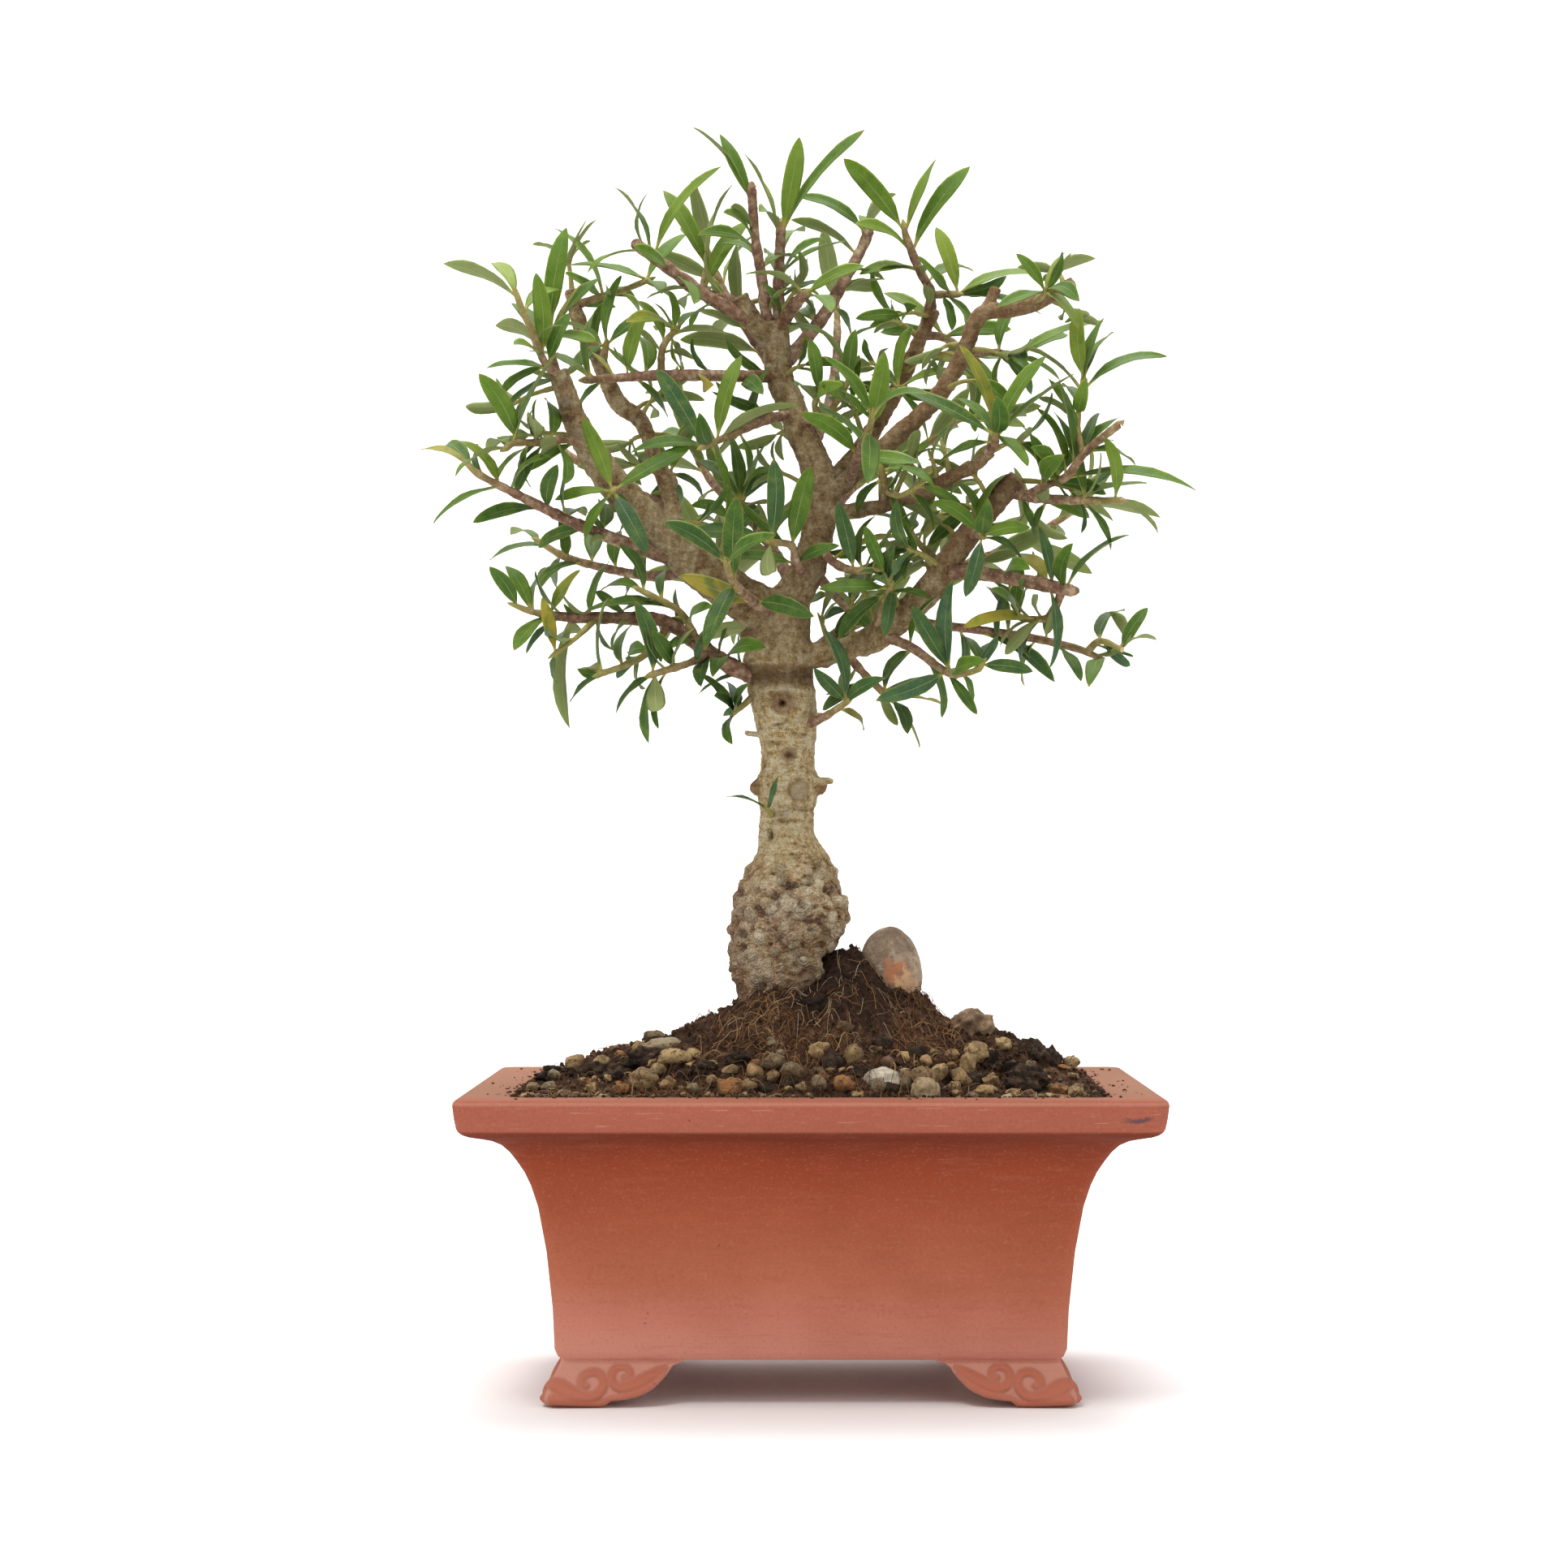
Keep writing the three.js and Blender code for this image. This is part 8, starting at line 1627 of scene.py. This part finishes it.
for k, (across, height, wide, tall, shade) in enumerate(namedStones):
    place = onGround(across, height - 0.75 * tall)
    place = seen((across, height, place.y + 0.25 * wide))
    piece = chipMesh("namedStone", 300 + k, 11, 2)
    for corner in piece.data.vertices:
        corner.co *= 1.08 + 0.34 * noise.fractal(corner.co * 1.6 + Vector((k, 0, 3)), 0.7, 2.0, 4)
    turn = Matrix.Rotation(0.6 * (draw() - 0.5), 4, "Y") @ Matrix.Rotation(6.28 * draw(), 4, "Z")
    size = Matrix.Diagonal((wide * 1.38, (wide + tall) * 0.62, tall * 1.38, 1))
    piece.data.transform(Matrix.Translation(place * mm) @ size @ turn @ Matrix.Scale(mm, 4))
    putOn(piece, "shade", [shade + 0.03 * draw()] * len(piece.data.vertices))
    stones.append(piece)
    taken.append((place.x, place.y, wide))
for k, (across, height, wide, tall) in enumerate(clodSpots):
    place = onGround(across, height - 0.4 * tall)
    piece = ballPiece("clod", detail=4 if wide > 3.5 else 3)
    for corner in piece.data.vertices:
        way = corner.co.normalized()
        wear = noise.fractal(way * 1.6 + Vector((k * 7, 0, 3)), 0.8, 2.0, 4)
        corner.co = (place + Vector((0, 0.35 * wide, 0.1 * tall))) * mm + Vector((
            way.x * wide, way.y * wide * 0.8, way.z * tall)) * (mm * (1 + 0.5 * wear))
    clods.append(piece)
stoneBits = mergePieces(stones[0], stones[1:])
stoneBits.name = "gravelStones"
bpy.context.scene.collection.objects.link(stoneBits)
stoneBits.data.materials.append(gravelMaterial())
clodBits = mergePieces(clods[0], clods[1:])
clodBits.name = "soilClods"
clodSkin = soilMaterial("clodSkin", (0.2, "1c1612"), (0.9, "6a5644"), (0.45, "342a23"), (0.65, "4c3e33"))
clodBits.data.materials.append(clodSkin)
for piece, slot in ((stoneBits, "stone"), (clodBits, "soil")):
    smooth(piece)
    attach(piece, "root")

# how much lies about, how high up the ground the gravel goes, and where the rim's top is
coverLook = {"gravel": 460, "tries": 14000, "highest": 104, "crumbs": 8200, "onRim": 420, "rimTop": 91.6}
gravelRows = []
tries = 0
while len(gravelRows) < coverLook["gravel"] and tries < coverLook["tries"]:
    tries += 1
    x = (draw() * 2 - 1) * 85
    y = -58.4 + draw() ** 2 * 117
    half = 0.8 + 2.3 * draw() ** 1.7
    if (insideSoil(x, y, half) and roughSoil(x, y) < coverLook["highest"]
            and all(math.hypot(cx - x, cy - y) > r + half * 0.8 for cx, cy, r in taken)):
        taken.append((x, y, half))
        size = (half * (0.9 + 0.5 * draw()), half, half * (0.6 + 0.3 * draw()))
        turn = (0.5 * (draw() - 0.5), 0.5 * (draw() - 0.5), 6.28 * draw())
        gravelRows.append(((x, y, roughSoil(x, y) + size[2] * 0.15), size, turn, int(draw() * 6), 0.92 * draw()))
gravelChips = [chipMesh("gravelChip" + str(i), 60 + i, 13) for i in range(6)]
gravel = scatter("gravel", gravelRows, gravelChips, gravelMaterial())
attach(gravel, "root")

crumbRows = []
for i in range(coverLook["crumbs"]):
    x = (draw() * 2 - 1) * 86.4
    y = (draw() * 2 - 1) * 59.2
    half = 0.25 + 0.95 * draw() ** 3
    if math.hypot(x + 10.5, y) > 12 and math.hypot(x - 24.4, y - 3) > 9.5:
        size = (half * (0.8 + 0.7 * draw()), half, half * (0.6 + 0.5 * draw()))
        turn = (3 * draw(), 3 * draw(), 6.28 * draw())
        crumbRows.append(((x, y, roughSoil(x, y) + half * 0.3), size, turn, int(draw() * 4), draw()))
for i in range(coverLook["onRim"]):
    # those that fell on the rim, most of them close to the soil
    out = 0.3 + 11 * draw() ** 3.5
    share = draw() * 2 - 1
    side = draw() < 0.62
    x = (86 + out if draw() < 0.5 else -86 - out) if not side else share * 88
    y = share * 61 if not side else (58.5 + out if draw() < 0.5 else -58.5 - out)
    half = 0.2 + 0.45 * draw() ** 2 + (0.5 * draw() if out < 1.5 else 0)
    place = (x, y, coverLook["rimTop"] + half * 0.3)
    crumbRows.append((place, (half * 1.3, half, half * 0.7), (0, 0, 6 * draw()), int(draw() * 4), 0))
crumbChips = [chipMesh("crumbChip" + str(i), 80 + i, 10) for i in range(4)]
crumbSkin = soilMaterial("crumbSkin", (0.15, "241912"), (0.92, "946f53"), (0.4, "402e22"), (0.6, "5f4534"))
crumbs = scatter("crumbs", crumbRows, crumbChips, crumbSkin)
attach(crumbs, "root")
print("stones, gravel and crumbs:", len(stones), len(gravelRows), len(crumbRows))


# a kind of fibre: how many, where they start (middle across and in depth, spread), how far they run,
# radius, shade from dark to pale, how much they wander and how high they arch
fibreKinds = (
    (150, (8, -12, 15, 10), (5, 10), (0.07, 0.08), (0, 0.25), 0.5, 1.6),
    (110, (-14, -26, 16, 9), (5, 10), (0.07, 0.08), (0.4, 0.85), 0.4, 3),
    (100, (0, -30, 30, 10), (5, 10), (0.08, 0.1), (0.2, 0.62), 0.5, 2.4),
    (140, (36, -14, 14, 12), (5, 11), (0.07, 0.1), (0.25, 0.8), 0.4, 3),
    (170, (-6, -48, 62, 8), (4, 8), (0.08, 0.1), (0.15, 0.85), 0.4, 8),
    (130, (-10, -18, 50, 30), (5, 10), (0.07, 0.12), (0.1, 0.7), 0.5, 2),
    (44, (2, -20, 16, 9), (4, 7), (0.07, 0.04), (0.9, 1), 0.3, 3),
    (80, (-60, -38, 24, 16), (4, 8), (0.09, 0.12), (0.5, 0.95), 0.3, 2),
    (50, (40, -40, 40, 14), (4, 8), (0.09, 0.12), (0.4, 0.95), 0.3, 2),
    (90, (45, 0, 38, 6), (3, 6), (0.08, 0.1), (0.1, 0.7), 0.5, 4.2),
    (60, (-48, 2, 30, 6), (3, 6), (0.08, 0.1), (0.1, 0.7), 0.5, 3.4),
)


def spreadDraw():
    return draw() + draw() + draw() - 1.5


rootChains = []
for count, (midX, midY, wideX, wideY), (short, long), (thin, thicker), (dark, pale), wander, arch in fibreKinds:
    for i in range(count):
        x, y = midX + wideX * spreadDraw() * 1.3, midY + wideY * spreadDraw() * 1.3
        heading = draw() * 2 * math.pi
        radius = thin + thicker * draw() ** 2
        shade = dark + (pale - dark) * draw()
        steps = short + int((long - short) * draw())
        peak = 0.25 + arch * draw() ** 2.5
        lopsided = 0.6 + 1.2 * draw()
        curl = 0.7 * (draw() - 0.5)
        chain = []
        for k in range(steps):
            if not insideSoil(x, y, 0.5):
                break
            rise = peak * math.sin(math.pi * (k / (steps - 1)) ** lopsided) + 0.1
            chain.append((Vector((x, y, roughSoil(x, y) + rise)), radius * (1 - 0.5 * k / steps), shade, 0))
            heading += curl + wander * (draw() - 0.5)
            x += 1.5 * math.cos(heading)
            y += 1.5 * math.sin(heading)
        if len(chain) > 3:
            rootChains.append(chain)
rootSizes = {"Sides": 4, "Step": 0.0011, "Rough": 0.4, "Rough Scale": 300.0}
roots = tubePiece("fineRoots", rootChains, rootSizes, rootMaterial())
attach(roots, "root")
print("fine roots:", len(rootChains), "faces", len(roots.data.polygons))


# the table, a seamless floor that curves up into a backdrop, then the light and the camera
profile = [(-2.5, 0), (1.6, 0)]
profile += [(1.6 + 0.9 * math.sin(k * math.pi / 20), 0.9 - 0.9 * math.cos(k * math.pi / 20)) for k in range(1, 11)]
profile += [(2.5, 3.4)]
count = len(profile)
sweep = meshPiece("sweep", [(x, y, z) for x in (-4, 4) for y, z in profile],
                  faces=[(i, i + count, i + count + 1, i + 1) for i in range(count - 1)])
paleTable = newMaterial("paleTable", 0.9, 0.2)[0]
skinOf(paleTable)["Base Color"].default_value = (0.92, 0.92, 0.92, 1)
sweep.data.materials.append(paleTable)
smooth(sweep)
world = bpy.data.worlds.new("studio")
world.use_nodes = True
world.node_tree.nodes["Background"].inputs[0].default_value = (1, 1, 1, 1)
world.node_tree.nodes["Background"].inputs[1].default_value = 0.58
bpy.context.scene.world = world


def softLight(name, place, target, size, power, shade=(1, 1, 1)):
    light = bpy.data.lights.new(name, "AREA")
    light.shape = "DISK"
    light.size = size
    light.energy = power
    light.color = shade
    lamp = placed(name, light)
    lamp.location = place
    lamp.rotation_euler = (Vector(target) - Vector(place)).to_track_quat("-Z", "Y").to_euler()


softLight("keyLight", (-0.55, -0.8, 1.85), (0, 0, 0.2), 0.8, 19, (1, 0.98, 0.95))
softLight("fillLight", (1.2, -1.3, 0.9), (0, 0, 0.2), 1.0, 2.5)
softLight("topLight", (0.25, 0.1, 1.8), (0, 0, 0.2), 0.9, 8)
softLight("backdropLight", (0, 0.9, 2.6), (0, 2.3, 0.4), 1.6, 60)
camera = bpy.data.cameras.new("camera")
camera.lens = view["lens"]
camera.sensor_width = 36
camera.shift_x = view["shiftX"]
camera.shift_y = view["shiftY"]
eye = placed("camera", camera)
eye.location = (0, -view["distance"] * mm, view["height"] * mm)
eye.rotation_euler = (math.pi / 2, 0, 0)
bpy.context.scene.camera = eye
bpy.context.scene.view_settings.view_transform = "Standard"
